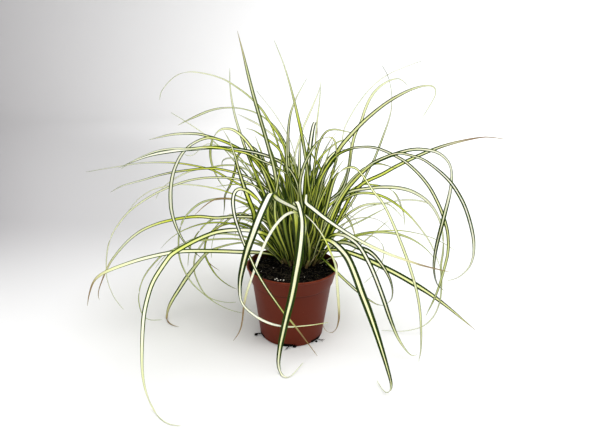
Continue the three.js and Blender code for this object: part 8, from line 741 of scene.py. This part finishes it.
def blade(values, tip, look, number, rng):
    """One leaf as a thin closed channel. Returns its points, ring sizes, across and along places, widths and look,
    from which the faces, face UVs and point attributes are made.
    """
    a = np.array(values, float).reshape(-1, 5)
    P, w, turn = a[:, :3], a[:, 3], a[:, 4]
    length = np.linalg.norm(np.diff(P, axis=0), axis=1).sum()
    n = int(max(14, min(120, length / 3.2)))
    C, idx, s = catmull(P, n)
    C[:, 2] = np.maximum(C[:, 2], 0.9)
    k = np.arange(len(P))
    N0 = faces_up(P, turn)
    N = np.stack([np.interp(idx, k, N0[:, j]) for j in range(3)], 1)
    T = tangents(C)
    N -= (N * T).sum(1)[:, None] * T
    N /= np.linalg.norm(N, axis=1)[:, None]
    S = np.cross(T, N)
    W = np.interp(idx, k, w)
    along = s / s[-1]
    # soften the width's corners, then draw the tip out to a fine point
    for _ in range(2):
        W[1:-1] = 0.25 * W[:-2] + 0.5 * W[1:-1] + 0.25 * W[2:]
    left = s[-1] - s
    W = np.minimum(W, 0.22 + 0.11 * left ** 0.9)
    # channel: folded at the foot, open in the middle, keeled again at the tip
    fold = 0.20 + 0.50 * np.exp(-(along / 0.10)) + 0.18 * np.clip((along - 0.75) / 0.25, 0, 1)
    fold = fold * rng.uniform(0.8, 1.25)
    u = ACROSS
    lift = np.abs(u) ** 1.25
    roll = np.clip(np.abs(u) - 0.55, 0, 1) ** 2 * 0.9
    h = (fold[:, None] * lift - 0.28 * roll) * W[:, None] / 2
    h -= (0.42 * fold * W / 2)[:, None]
    ripple = 0.02 * W[:, None] * np.sin(along[:, None] * length / rng.uniform(7, 11) + rng.uniform(0, 6) + 2.0 * np.sign(u)) * np.abs(u) ** 3
    h = h + ripple
    half = W[:, None] / 2 * u
    top = C[:, None] + S[:, None] * half[..., None] + N[:, None] * h[..., None]
    thick = np.minimum(0.36, 0.22 * W)[:, None] * (1 - 0.55 * np.abs(u[1:-1]) ** 2)
    keel = np.exp(-(u[1:-1] / 0.18) ** 2) * 0.12 * np.minimum(W, 3.0)[:, None] / 3
    bot = top[:, 1:-1] - N[:, None] * (thick + keel)[..., None]
    ring = np.concatenate([top, bot[:, ::-1]], 1)
    m = ring.shape[1]
    verts = ring.reshape(-1, 3)
    us = np.r_[(u + 1) / 2, ((u[1:-1] + 1) / 2)[::-1]]
    under = np.r_[np.zeros(9), np.ones(7)]
    return dict(verts=verts, n=n, m=m, us=us, under=under, along=along, s=s, W=W,
                look=look(along), tip=tip if tip else 2.0, number=number)


def look_of(kind, start, rng):
    """Margin, tone, dullness, darkness and the share of the heart's tint and painted shade along a blade. kind names
    an entry of SPECIAL, or it is a letter of
    LOOKS for each equal part of the blade from start to the tip."""
    if kind in SPECIAL:
        rows = np.array(SPECIAL[kind], float)
        at, rows = rows[:, 0], np.c_[rows[:, 1:], np.interp(rows[:, 0], [0, 0.06, 0.14], [1, 0.6, 0])]
    else:
        at = start + (1 - start) * (np.arange(len(kind)) + 0.5) / len(kind)
        rows = np.array([LOOKS[k] for k in kind], float)
        rows = rows + np.r_[rng.normal(0, 1, 4) * (0.05, 0.10, 0.06, 0.07)][None]
        rows = np.c_[rows, np.full(len(rows), 1.0 if start <= 0 else 0.35)]
    rows[:, 0] = np.clip(rows[:, 0], 0.08, 0.92)
    rows[:, 1] = np.clip(rows[:, 1], 0, 2)
    rows[:, 2:] = np.clip(rows[:, 2:], 0, 1)
    return lambda along: np.stack([np.interp(along, at, rows[:, k]) for k in range(5)], 1)


def build_shoot(name, leaves, number0):
    rng = np.random.default_rng(1000 + number0)
    V, F, UV, BAKE, A, B, Cc = [], [], [], [], [], [], []
    base, strips = 0, 2 * len(leaves)
    slot = 1.0 / strips
    for j, (kind, start, tip, values) in enumerate(leaves):
        look = look_of(kind, start, rng)
        b = blade(values, tip, look, (number0 * 7 + j) % 97 / 9.7, rng)
        n, m = b["n"], b["m"]
        V.append(b["verts"])
        i, k = np.meshgrid(np.arange(n - 1), np.arange(m), indexing="ij")
        k2 = (k + 1) % m
        quads = np.stack([i * m + k, i * m + k2, (i + 1) * m + k2, (i + 1) * m + k], -1).reshape(-1, 4) + base
        F.extend(quads.tolist())
        us = b["us"]
        vv = b["s"] * 0.01
        bake_y = (b["s"] / b["s"][-1]) * 0.955 + 0.005
        # across position for baking: the top strip, then the strip of the underside
        for ii in range(n - 1):
            for kk in range(m):
                q = (kk + 1) % m
                u0, u1 = us[kk], us[q]
                UV += [(u0, vv[ii]), (u1, vv[ii]), (u1, vv[ii + 1]), (u0, vv[ii + 1])]
                row = (2 * j + (0 if kk < 8 else 1)) * slot + 0.04 * slot
                y0, y1 = row + u0 * slot * 0.92, row + u1 * slot * 0.92
                BAKE += [(bake_y[ii], y0), (bake_y[ii], y1), (bake_y[ii + 1], y1), (bake_y[ii + 1], y0)]
        foot = [base + x for x in range(m)][::-1]
        head = [base + (n - 1) * m + x for x in range(m)]
        for poly, st, x0 in ((foot, 0, 0.966), (head, n - 1, 0.983)):
            F.append(poly)
            order = range(m)[::-1] if poly is foot else range(m)
            for c in order:
                ang = 2 * math.pi * c / m
                UV.append((us[c], vv[st]))
                BAKE.append((x0 + 0.006 + 0.005 * math.cos(ang), (2 * j + 0.5) * slot + 0.3 * slot * math.sin(ang)))
        count = n * m
        lk = np.repeat(b["look"], m, axis=0)
        A.append(lk[:, :3])
        B.append(np.c_[lk[:, 3], np.tile([b["tip"], b["number"]], (count, 1))])
        Cc.append(np.stack([np.repeat(b["along"], m), np.tile(b["under"], n), lk[:, 4]], 1))
        base += count
    ob = new_mesh(name + "_leaves", np.vstack(V), F, [LEAF])
    me = ob.data
    add_uv(me, "leaf", UV)
    add_uv(me, "OFBake", BAKE)
    me.uv_layers.active = me.uv_layers["OFBake"]
    for attr, data in (("lfA", A), ("lfB", B), ("lfC", Cc)):
        layer = me.attributes.new(attr, "FLOAT_VECTOR", "POINT")
        layer.data.foreach_set("vector", np.vstack(data).astype(np.float32).ravel())
    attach(ob, "root")
    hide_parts(name)
    return ob


def soil_height(x, y):
    """Top of the compost in millimetres, before the crumbs: level at the wall, mounded round the crown."""
    r = np.hypot(x - 9, y - 18)
    wall = np.clip((48.2 - np.hypot(x, y)) / 6, 0, 1)
    lumps = (vnoise(x / 11, y / 11, 0 * x, 3) - 0.5) * 2.0
    return 78.6 + 5.6 * np.clip(1 - (r / 31) ** 2, 0, 1) ** 0.9 + lumps * wall - 1.0 * (1 - wall)


def soil_top(x, y):
    x, y = np.asarray(x, float), np.asarray(y, float)
    z = soil_height(x, y)
    for size, amp, seed in ((5.2, 1.1, 11), (2.6, 0.85, 12), (1.3, 0.55, 13), (0.7, 0.3, 14)):
        q = vnoise(x / size, y / size, 0 * x + seed, seed)
        z = z + amp * (1 - np.abs(2 * q - 1)) - amp * 0.5
    return z


# ------------------------------------------------------------------ pot
def lathe(profile, n):
    V, F = [], []
    ring = []
    for r, z in profile:
        if r < 1e-6:
            ring.append((len(V), 1)); V.append((0, 0, z))
        else:
            ring.append((len(V), n))
            for k in range(n):
                a = 2 * math.pi * k / n
                V.append((r * math.cos(a), r * math.sin(a), z))
    for (a, na), (b, nb) in zip(ring, ring[1:]):
        for k in range(n):
            q = (k + 1) % n
            if na == 1 and nb == 1:
                continue
            if na == 1:
                F.append((a, b + k, b + q))
            elif nb == 1:
                F.append((a + q, a + k, b))
            else:
                F.append((a + k, b + k, b + q, a + q))
    return V, F


def rounded(points, radii, steps=4):
    """Profile with its corners rounded: points (r, z), a radius for each."""
    out = []
    pts = [np.array(p, float) for p in points]
    for i, p in enumerate(pts):
        rad = radii[i]
        if i in (0, len(pts) - 1) or rad <= 0:
            out.append(tuple(p)); continue
        a, b = pts[i - 1] - p, pts[i + 1] - p
        la, lb = np.linalg.norm(a), np.linalg.norm(b)
        rad = min(rad, la * 0.45, lb * 0.45)
        pa, pb = p + a / la * rad, p + b / lb * rad
        for k in range(steps + 1):
            t = k / steps
            out.append(tuple((1 - t) ** 2 * pa + 2 * t * (1 - t) * p + t * t * pb))
    return out


def fix_normals(ob):
    import bmesh
    bm = bmesh.new()
    bm.from_mesh(ob.data)
    bmesh.ops.recalc_face_normals(bm, faces=bm.faces)
    bm.to_mesh(ob.data)
    bm.free()


def cut(ob, cutters):
    """Subtracts the cutter objects from ob and removes them."""
    for c in cutters:
        mod = ob.modifiers.new("cut", "BOOLEAN")
        mod.operation, mod.solver, mod.object = "DIFFERENCE", "EXACT", c
    dg = bpy.context.evaluated_depsgraph_get()
    dg.update()
    me = bpy.data.meshes.new_from_object(ob.evaluated_get(dg))
    ob.modifiers.clear()
    old = ob.data
    ob.data = me
    me.name = ob.name
    bpy.data.meshes.remove(old)
    for c in cutters:
        m = c.data
        bpy.data.objects.remove(c)
        bpy.data.meshes.remove(m)


def prism(name, outline, x0, x1, turn):
    """Outline of (y, z) points, extruded from x0 to x1 and turned about Z."""
    k = len(outline)
    V = [(x0, y, z) for y, z in outline] + [(x1, y, z) for y, z in outline]
    F = [tuple(range(k))[::-1], tuple(range(k, 2 * k))] + [(i, (i + 1) % k, k + (i + 1) % k, k + i) for i in range(k)]
    c, s = math.cos(turn), math.sin(turn)
    V = [(c * x - s * y, s * x + c * y, z) for x, y, z in V]
    ob = new_mesh(name, V, F)
    fix_normals(ob)
    return ob


def inner(z):
    return 46.3 + 4.0 * (z - 68.2) / 16.2 if z >= 68.2 else 35.9 + 8.7 * z / 68.2


POT_PROFILE = [
    ((0, 0), 0), ((13, 0), 0.6), ((14.8, 4.4), 0.8), ((32.5, 4.4), 0.6), ((32.9, 0), 0.4), ((36.4, 0), 0.5),
    ((37.2, 0.9), 0.6), ((45.9, 67.5), 0.5), ((47.5, 68.1), 0.5), ((51.6, 84.3), 0.4), ((52.4, 84.8), 0.35),
    ((52.5, 86.3), 0.6), ((52.0, 86.8), 0.5), ((51.2, 86.8), 0.5), ((inner(84.6), 84.6), 0.5), ((inner(68.3), 68.3), 0.6),
    ((inner(67.2), 67.2), 0.6), ((inner(7.5), 7.5), 0.8), ((inner(6.0) - 1.6, 6.0), 0.8),
    ((13.6, 6.0), 0.6), ((11.8, 1.6), 0.6), ((0, 1.6), 0)]


def build_pot():
    prof = rounded([p for p, _ in POT_PROFILE], [r for _, r in POT_PROFILE], 4)
    V, F = lathe(prof, 200)
    pot = new_mesh("nursery_pot_shell", V, F, [POT])
    fix_normals(pot)
    cutters = []
    for i in range(6):
        a = math.radians(-98.6 + 60 * i)
        w, h, c = 8.75, 4.0, 0.9
        outline = [(-w, -4), (w, -4), (w, h - c), (w - 0.3 * c, h - 0.3 * c), (w - c, h), (c - w, h), (0.3 * c - w, h - 0.3 * c), (-w, h - c)]
        cutters.append(prism("cutter", outline, 27, 46, a))
        b = a + math.pi / 6
        ring = [(23 * math.cos(b) + 4 * math.cos(t), 23 * math.sin(b) + 4 * math.sin(t)) for t in np.linspace(0, 2 * math.pi, 29)[:-1]]
        k = len(ring)
        V = [(x, y, 1.0) for x, y in ring] + [(x, y, 9.0) for x, y in ring]
        F = [tuple(range(k))[::-1], tuple(range(k, 2 * k))] + [(j, (j + 1) % k, k + (j + 1) % k, k + j) for j in range(k)]
        hole = new_mesh("cutter", V, F)
        fix_normals(hole)
        cutters.append(hole)
    cut(pot, cutters)
    me = pot.data
    me.polygons.foreach_set("use_smooth", [True] * len(me.polygons))
    me.set_sharp_from_angle(angle=math.radians(38))
    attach(pot, "root")
    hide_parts("nursery_pot")
    return pot


# ------------------------------------------------------------------ compost
def build_compost():
    nr, na, R = 120, 340, 48.45
    V, F = [], []
    rr = R * (np.arange(1, nr + 1) / nr) ** 0.92
    ang = np.linspace(0, 2 * math.pi, na, endpoint=False)
    X, Y = rr[:, None] * np.cos(ang), rr[:, None] * np.sin(ang)
    Z = soil_top(X, Y)
    V.append((0, 0, float(soil_top([0], [0])[0])))
    V += np.stack([X, Y, Z], -1).reshape(-1, 3).tolist()
    for k in range(na):
        F.append((0, 1 + k, 1 + (k + 1) % na))
    for i in range(nr - 1):
        a, b = 1 + i * na, 1 + (i + 1) * na
        for k in range(na):
            q = (k + 1) % na
            F.append((a + k, b + k, b + q, a + q))
    last = 1 + (nr - 1) * na
    for r, z in ((48.2, 76.0), (45.6, 68.9), (43.9, 67.0), (36.2, 8.6), (34.0, 6.4)):
        new = len(V)
        V += [(r * math.cos(t), r * math.sin(t), z) for t in ang]
        for k in range(na):
            q = (k + 1) % na
            F.append((last + k, new + k, new + q, last + q))
        last = new
    V.append((0, 0, 6.4))
    for k in range(na):
        F.append((last + k, len(V) - 1, last + (k + 1) % na))
    ob = new_mesh("compost_body", V, F, [COMPOST])
    fix_normals(ob)
    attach(ob, "root")
    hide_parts("compost")


ICO = None


def ico():
    """A 42-point ball."""
    global ICO
    if ICO is None:
        g = (1 + 5 ** 0.5) / 2
        v = [np.array(p, float) for p in ((-1, g, 0), (1, g, 0), (-1, -g, 0), (1, -g, 0), (0, -1, g), (0, 1, g), (0, -1, -g),
                                          (0, 1, -g), (g, 0, -1), (g, 0, 1), (-g, 0, -1), (-g, 0, 1))]
        f = [(0, 11, 5), (0, 5, 1), (0, 1, 7), (0, 7, 10), (0, 10, 11), (1, 5, 9), (5, 11, 4), (11, 10, 2), (10, 7, 6), (7, 1, 8),
             (3, 9, 4), (3, 4, 2), (3, 2, 6), (3, 6, 8), (3, 8, 9), (4, 9, 5), (2, 4, 11), (6, 2, 10), (8, 6, 7), (9, 8, 1)]
        v = [unit(p) for p in v]
        mids, faces = {}, []

        def mid(a, b):
            key = (min(a, b), max(a, b))
            if key not in mids:
                mids[key] = len(v)
                v.append(unit(v[a] + v[b]))
            return mids[key]
        for a, b, c in f:
            x, y, z = mid(a, b), mid(b, c), mid(c, a)
            faces += [(a, x, z), (b, y, x), (c, z, y), (x, y, z)]
        ICO = np.array(v), faces
    return ICO


def turn_matrix(rng):
    q = rng.normal(size=4); q /= np.linalg.norm(q)
    w, x, y, z = q
    return np.array([[1 - 2 * (y * y + z * z), 2 * (x * y - z * w), 2 * (x * z + y * w)],
                     [2 * (x * y + z * w), 1 - 2 * (x * x + z * z), 2 * (y * z - x * w)],
                     [2 * (x * z - y * w), 2 * (y * z + x * w), 1 - 2 * (x * x + y * y)]])


def lumps(name, mat, places, rng, sizes, squash, slot="compost"):
    """Irregular grains at the places, joined as one piece."""
    V, F = [], []
    bv, bf = ico()
    for (x, y, z) in places:
        s = rng.uniform(*sizes)
        shape = np.array([s, s * rng.uniform(0.55, 0.95), s * rng.uniform(*squash)])
        jag = 1 + 0.32 * (vnoise(bv[:, 0] * 1.7 + x, bv[:, 1] * 1.7 + y, bv[:, 2] * 1.7 + z, 5) - 0.5) * 2
        p = bv * jag[:, None] * shape
        tilt = turn_matrix(rng)
        flat = np.array([[math.cos(x), -math.sin(x), 0], [math.sin(x), math.cos(x), 0], [0, 0, 1]])
        p = p @ (tilt if rng.random() < 0.4 else flat).T
        V.append(p + (x, y, z)); F += [tuple(i + 42 * (len(V) - 1) for i in f) for f in bf]
    ob = new_mesh(name, np.vstack(V), F, [mat])
    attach(ob, "root")
    return ob


def tube(path, radii, sides, V, F):
    """A closed tube along the path, added to V and F."""
    P = np.asarray(path, float)
    T = tangents(P)
    ref = np.array([0, 0, 1.0]) if abs(T[0][2]) < 0.8 else np.array([1.0, 0, 0])
    N = unit(ref - (ref @ T[0]) * T[0])
    base = len(V)
    for i, p in enumerate(P):
        N = unit(N - (N @ T[i]) * T[i])
        B = np.cross(T[i], N)
        for k in range(sides):
            a = 2 * math.pi * k / sides
            V.append(tuple(p + radii[i] * (math.cos(a) * N + math.sin(a) * B)))
    for i in range(len(P) - 1):
        for k in range(sides):
            q = (k + 1) % sides
            a = base + i * sides
            F.append((a + k, a + q, a + sides + q, a + sides + k))
    F.append(tuple(base + k for k in range(sides))[::-1])
    F.append(tuple(base + (len(P) - 1) * sides + k for k in range(sides)))


def scatter(rng, count, rmax=46.5, rmin=0.0, keep=None):
    out = []
    while len(out) < count:
        r, a = rmax * math.sqrt(rng.random()), rng.uniform(0, 2 * math.pi)
        x, y = r * math.cos(a), r * math.sin(a)
        if r < rmin or (keep and not keep(x, y)):
            continue
        out.append((x, y))
    return out


def build_soil_bits():
    rng = np.random.default_rng(21)
    clear = lambda x, y: math.hypot(x - 9, y - 18) > 10
    def drop(pts, up):
        xs, ys = np.array([p[0] for p in pts]), np.array([p[1] for p in pts])
        return [(x, y, z + up) for x, y, z in zip(xs, ys, soil_top(xs, ys))]
    lumps("bark_crumbs", CHIP, drop(scatter(rng, 420, 46.2, 0, clear), 0.2), rng, (0.5, 1.9), (0.25, 0.7))
    lumps("peat_crumbs", COMPOST, drop(scatter(rng, 420, 46.8, 0, clear), 0.1), rng, (0.4, 1.3), (0.5, 0.9))
    near = [(-18.1, -30.4), (-15.0, -31.6), (-12.2, -29.8), (-8.6, -30.6), (-16.2, -28.6)]
    far = [p for p in scatter(rng, 13, 44.5, 0, clear)]
    lumps("perlite_grains", PERLITE, drop(near, 0.5), rng, (0.75, 1.25), (0.6, 0.9))
    lumps("perlite_specks", PERLITE, drop(far, 0.2), rng, (0.3, 0.7), (0.6, 0.9))
    # peat fibres and old rootlets: short thin curls lying on the surface
    V, F = [], []
    for x, y in scatter(rng, 300, 45.5, 0, clear):
        n, length = 9, rng.uniform(3.5, 15)
        a, bend = rng.uniform(0, 2 * math.pi), rng.normal(0, 0.22)
        pts = []
        for i in range(n):
            pts.append((x, y))
            a += bend + rng.normal(0, 0.16)
            x, y = x + length / n * math.cos(a), y + length / n * math.sin(a)
            if math.hypot(x, y) > 46.6:
                a += math.pi * 0.6
                x, y = pts[-1]
        P = np.array(pts)
        z = soil_top(P[:, 0], P[:, 1])
        z = np.convolve(np.r_[z[0], z, z[-1]], [0.25, 0.5, 0.25], "valid") + rng.uniform(0.15, 0.55)
        z[1:-1] += rng.uniform(0, 0.7) * np.sin(np.linspace(0, math.pi, n))[1:-1]
        r0 = rng.uniform(0.08, 0.24)
        tube(np.c_[P, z], r0 * np.interp(np.linspace(0, 1, n), [0, 0.15, 0.8, 1], [0.4, 1, 0.8, 0.25]), 5, V, F)
    ob = new_mesh("peat_fibres", V, F, [FIBRE])
    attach(ob, "root")


def strip(path, widths, thick, V, F, tilt=0.0):
    """A thin flat closed strip along the path, lying level."""
    P = np.asarray(path, float)
    T = tangents(P)
    base = len(V)
    for p, t, w in zip(P, T, widths):
        s = unit(np.cross(t, (0, 0, 1.0)))
        n = np.cross(s, t)
        s = math.cos(tilt) * s + math.sin(tilt) * n
        n = np.cross(s, t)
        for a, b in ((-0.5, 0.0), (0.0, 0.16 * w / max(w, 0.1) * thick), (0.5, 0.0), (0.0, -thick)):
            V.append(tuple(p + s * a * w + n * b))
    for i in range(len(P) - 1):
        a = base + 4 * i
        for k in range(4):
            q = (k + 1) % 4
            F.append((a + k, a + q, a + 4 + q, a + 4 + k))
    F.append((base + 3, base + 2, base + 1, base))
    e = base + 4 * (len(P) - 1)
    F.append((e, e + 1, e + 2, e + 3))


def build_crown():
    """Papery sheaths round the foot of each shoot, and a few dead leaf stubs between them."""
    rng = np.random.default_rng(33)
    V, F = [], []
    feet = []
    for name in sorted(SHOOTS):
        leaves = SHOOTS[name]
        first = np.array([np.array(v[-1], float).reshape(-1, 5)[0, :3] for v in leaves])
        foot = first.mean(0)
        dirs = []
        for v in leaves:
            p = np.array(v[-1], float).reshape(-1, 5)[:, :3]
            s = np.r_[0, np.cumsum(np.linalg.norm(np.diff(p, axis=0), axis=1))]
            dirs.append([np.interp(13, s, p[:, k]) for k in range(3)])
        top = np.mean(dirs, 0)
        feet.append(foot)
        spread = max(1.0, np.linalg.norm(np.array(dirs) - top, axis=1).mean())
        h = rng.uniform(0.55, 1.0)
        top = foot + (top - foot) * h
        low = np.array([foot[0], foot[1], 77.0])
        p0 = np.array([foot[0], foot[1], 80.5])
        path = [low, p0, p0 + (top - p0) * 0.35, p0 + (top - p0) * 0.7, top, top + unit(top - p0) * 1.2]
        rad = [2.2, 2.25, 2.05, 1.75 + 0.10 * spread, 1.35 + 0.12 * spread, 0.5]
        tube(path, [r * rng.uniform(0.92, 1.08) for r in rad], 9, V, F)
    ob = new_mesh("crown_sheaths", V, F, [SHEATH])
    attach(ob, "root")
    V, F = [], []
    feet = np.array(feet)
    for i in range(26):
        f = feet[rng.integers(len(feet))]
        a = math.atan2(f[1] - 18, f[0] - 9) + rng.normal(0, 0.5)
        r = rng.uniform(1.5, 3.5)
        x, y = f[0] + r * math.cos(a), f[1] + r * math.sin(a)
        if math.hypot(x, y) > 44:
            continue
        z = float(soil_top([x], [y])[0])
        n, length, lean = 6, rng.uniform(7, 17), rng.uniform(0.2, 0.9)
        pts = []
        p = np.array([x, y, z - 2.0])
        for k in range(n):
            pts.append(p.copy())
            el = math.pi / 2 - lean * (0.4 + 0.8 * k / n)
            p = p + length / n * np.array([math.cos(a) * math.cos(el), math.sin(a) * math.cos(el), math.sin(el)])
        w = rng.uniform(1.2, 2.6)
        strip(pts, [w, w, w * 0.9, w * 0.8, w * 0.6, w * 0.25], 0.3, V, F, rng.uniform(-0.5, 0.5))
    # broken pale bits lying on the compost at the front of the crown
    for pts, w in (([(12.2, 6.0, 97.2), (17.8, 5.0, 102.4), (22.4, 4.0, 105.6), (29.4, 2.0, 102.4), (36.5, 0.0, 98.6)], 1.5),
                   ([(31.0, 2.0, 100.2), (26.0, 0.0, 95.4), (21.6, -4.0, 90.6)], 1.2),
                   ([(32.0, 8.0, 93.4), (36.9, 4.0, 90.9), (42.2, 0.0, 89.4)], 1.3)):
        C, _, _ = catmull(pts, 14)
        strip(C, w * np.interp(np.linspace(0, 1, 14), [0, 0.1, 0.8, 1], [0.5, 1, 0.9, 0.35]), 0.25, V, F)
    ob = new_mesh("dead_leaf_bits", V, F, [LITTER])
    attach(ob, "root")


ROOTS = {
    "drain_root_left": [(-22.7, 3.4, 5.6), (-23.8, 1.5, 3.0), (-28.0, -6.0, 2.2), (-32.0, -11.5, 2.2), (-36.5, -13.9, 2.5), (-41.2, -14.6, 2.1), (-43.4, -16.2, 1.2)],
    "drain_root_front": [(8.4, -21.4, 5.6), (7.6, -23.0, 3.0), (3.5, -28.0, 2.2), (-1.0, -33.5, 2.2), (-1.8, -38.5, 2.6), (-3.4, -42.0, 1.9), (-6.6, -44.0, 1.1)],
    "drain_root_right": [(22.7, -3.4, 5.6), (23.6, -5.0, 3.0), (26.0, -13.0, 2.2), (28.3, -21.0, 2.2), (31.5, -24.2, 2.6), (34.8, -24.3, 2.0), (38.0, -22.6, 1.1)],
}


def build_roots():
    rng = np.random.default_rng(44)
    for name, path in ROOTS.items():
        V, F = [], []
        C, _, s = catmull(path, 40)
        C[1:-1] += rng.normal(0, 0.09, C[1:-1].shape)
        C[:, 2] = np.maximum(C[:, 2], 0.45)
        thick = 0.75 if name.endswith("left") else 0.42
        tube(C, thick * np.interp(np.linspace(0, 1, 40), [0, 0.6, 0.85, 1], [0.7, 1, 0.9, 0.2]), 7, V, F)
        for i in range(16):
            j = int(rng.integers(16, 38))
            p, t = C[j].copy(), unit(C[min(j + 1, 39)] - C[j - 1])
            a = math.atan2(t[1], t[0]) + rng.choice([-1, 1]) * rng.uniform(0.4, 1.1)
            pts = [p.copy()]
            for k in range(7):
                a += rng.normal(0, 0.3)
                p = p + rng.uniform(0.5, 1.0) * np.array([math.cos(a), math.sin(a), rng.normal(-0.25, 0.25)])
                p[2] = max(p[2], 0.25)
                pts.append(p.copy())
            pts = np.array(pts)
            keep = np.hypot(pts[:, 0], pts[:, 1]) < 46.5
            if keep.sum() < 4:
                continue
            pts = pts[: int(np.argmin(keep)) if not keep.all() else len(pts)]
            if len(pts) > 3:
                tube(pts, np.linspace(0.17, 0.06, len(pts)), 5, V, F)
        ob = new_mesh(name + "_hairs", V, F, [ROOT])
        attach(ob, "root"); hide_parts(name)
    # peat and matted roots that fill the drainage slots at the front and the sides
    bv, bf = ico()
    V, F = [], []
    for deg in (-98.6, -38.6, -158.6):
        a = math.radians(deg)
        jag = 1 + 0.16 * (vnoise(bv[:, 0] * 2.3 + deg, bv[:, 1] * 2.3, bv[:, 2] * 2.3, 9) - 0.5) * 2
        p = np.sign(bv) * np.abs(bv) ** 0.5 * jag[:, None] * (4.6, 8.5, 2.1)
        p[:, 1] = np.clip(p[:, 1], -8.6, 8.6)
        p[:, 2] = np.clip(p[:, 2] + 2.0, 0.1, 3.92)
        r = 32.9 + p[:, 0]
        V.append(np.c_[r * math.cos(a) - p[:, 1] * math.sin(a), r * math.sin(a) + p[:, 1] * math.cos(a), p[:, 2]])
        F += [tuple(i + 42 * (len(V) - 1) for i in f) for f in bf]
    # clumps of root and peat just outside the slots
    for x, y, z, sx, sy, sz in ((4.6, -38.1, 1.5, 2.3, 1.0, 1.9), (-41.3, -14.6, 1.5, 1.8, 1.3, 1.5), (29.4, -26.0, 0.9, 1.5, 1.1, 1.0)):
        jag = 1 + 0.35 * (vnoise(bv[:, 0] * 2.3 + x, bv[:, 1] * 2.3 + y, bv[:, 2] * 2.3, 11) - 0.5) * 2
        p = bv * jag[:, None] * (sx, sy, sz) + (x, y, z)
        p[:, 2] = np.maximum(p[:, 2], 0.1)
        V.append(p)
        F += [tuple(i + 42 * (len(V) - 1) for i in f) for f in bf]
    ob = new_mesh("slot_root_mat", np.vstack(V), F, [MAT])
    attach(ob, "root")


# ------------------------------------------------------------------ stage and light
def build_stage():
    t = Tree("stage_pale")
    x, y, z = t.split(t.coords())
    # painted shade: the paper is painted greyer towards the far left, where the sweep turns away from the light
    dy = t.math("ADD", y, 0.479)
    side = t.math("DIVIDE", t.math("MULTIPLY", x, -1.0), t.math("MAXIMUM", dy, 0.05))
    far = t.step(dy, 0.30, 0.90)
    turn = t.math("DIVIDE", side, 0.70, clamp=True)
    turn = t.math("MULTIPLY", turn, t.step(side, 3.0, 0.9))
    col = t.mix(t.math("MULTIPLY", turn, far), lin(243, 243, 243), lin(174, 172, 174))
    # and a soft painted shadow, a grey band beyond the plant on the left
    band = t.math("MULTIPLY", t.step(dy, 0.55, 0.90), t.step(dy, 2.6, 1.6))
    band = t.math("MULTIPLY", band, t.math("MULTIPLY", t.step(side, 0.06, 0.24), t.step(side, 0.62, 0.34, 0.25, 1.0)))
    shade = t.math("SUBTRACT", 1.0, t.math("MULTIPLY", band, 0.17))
    col = t.mix(1.0, col, t.vec(shade, shade, shade), "MULTIPLY")
    # painted shadow: the paper is painted a little greyer and yellower under the plant
    qx, qy = t.math("ADD", x, 0.10), t.math("SUBTRACT", y, 0.06)
    out = t.math("SQRT", t.math("ADD", t.math("MULTIPLY", qx, qx), t.math("MULTIPLY", qy, qy)))
    under = t.math("MULTIPLY", t.step(out, 0.23, 0.06, 0.0, 0.17), t.step(z, 0.05, 0.0))
    tone = t.math("SUBTRACT", 1.0, under)
    col = t.mix(1.0, col, t.vec(tone, tone, t.math("SUBTRACT", tone, t.math("MULTIPLY", under, 0.15))), "MULTIPLY")
    mat = t.finish(col, 0.8, specular=0.1)
    prof = [(0, 0), (1.0, 0), (2.6, 0)]
    R, H = 2.6, 1.3
    for k in range(1, 13):
        a = math.pi / 2 * k / 12
        prof.append((R + H * math.sin(a), H - H * math.cos(a)))
    prof.append((R + H, 2.4))
    V, F = lathe([(r, z) for r, z in prof], 96)
    F = [f[::-1] for f in F]
    ob = new_mesh("studio_sweep", V, F, [mat], unit=1.0)
    world = bpy.data.worlds.new("studio")
    world.use_nodes = True
    bg = world.node_tree.nodes["Background"]
    bg.inputs[0].default_value = (1.0, 1.0, 1.0, 1.0)
    bg.inputs[1].default_value = WORLD
    scene.world = world

    def aim(ob, to):
        ob.matrix_world = Matrix.Translation(ob.location) @ (Vector(to) - ob.location).to_track_quat("-Z", "Y").to_matrix().to_4x4()
    sun = bpy.data.lights.new("key", "SUN")
    sun.energy, sun.angle, sun.color = SUN, math.radians(28), (0.99, 1.0, 0.97)
    so = bpy.data.objects.new("key", sun)
    scene.collection.objects.link(so)
    so.location = (1.5, -0.35, 2.2)
    bpy.context.view_layer.update()
    aim(so, (0, 0, 0.1))
    for name, loc, size, power in (("fill_front", (-0.9, -1.5, 1.2), 1.2, FILL), ("top", (0.05, -0.3, 1.9), 1.4, TOP),
                                    ("backdrop", (0.7, 1.3, 2.0), 1.2, BACK)):
        light = bpy.data.lights.new(name, "AREA")
        light.shape, light.size, light.energy = "SQUARE", size, power
        lo = bpy.data.objects.new(name, light)
        scene.collection.objects.link(lo)
        lo.location = loc
        bpy.context.view_layer.update()
        aim(lo, (0.9, 3.6, 0.3) if name == "backdrop" else (0, 0, 0.12))


WORLD, SUN, FILL, TOP, BACK = 0.50, 0.9, 3.0, 21.0, 38.0

# ------------------------------------------------------------------ build
build_stage()
build_pot()
build_compost()
build_soil_bits()
build_crown()
build_roots()
for number, shoot in enumerate(sorted(SHOOTS)):
    build_shoot(shoot, SHOOTS[shoot], number)

scene.view_settings.view_transform = "Standard"
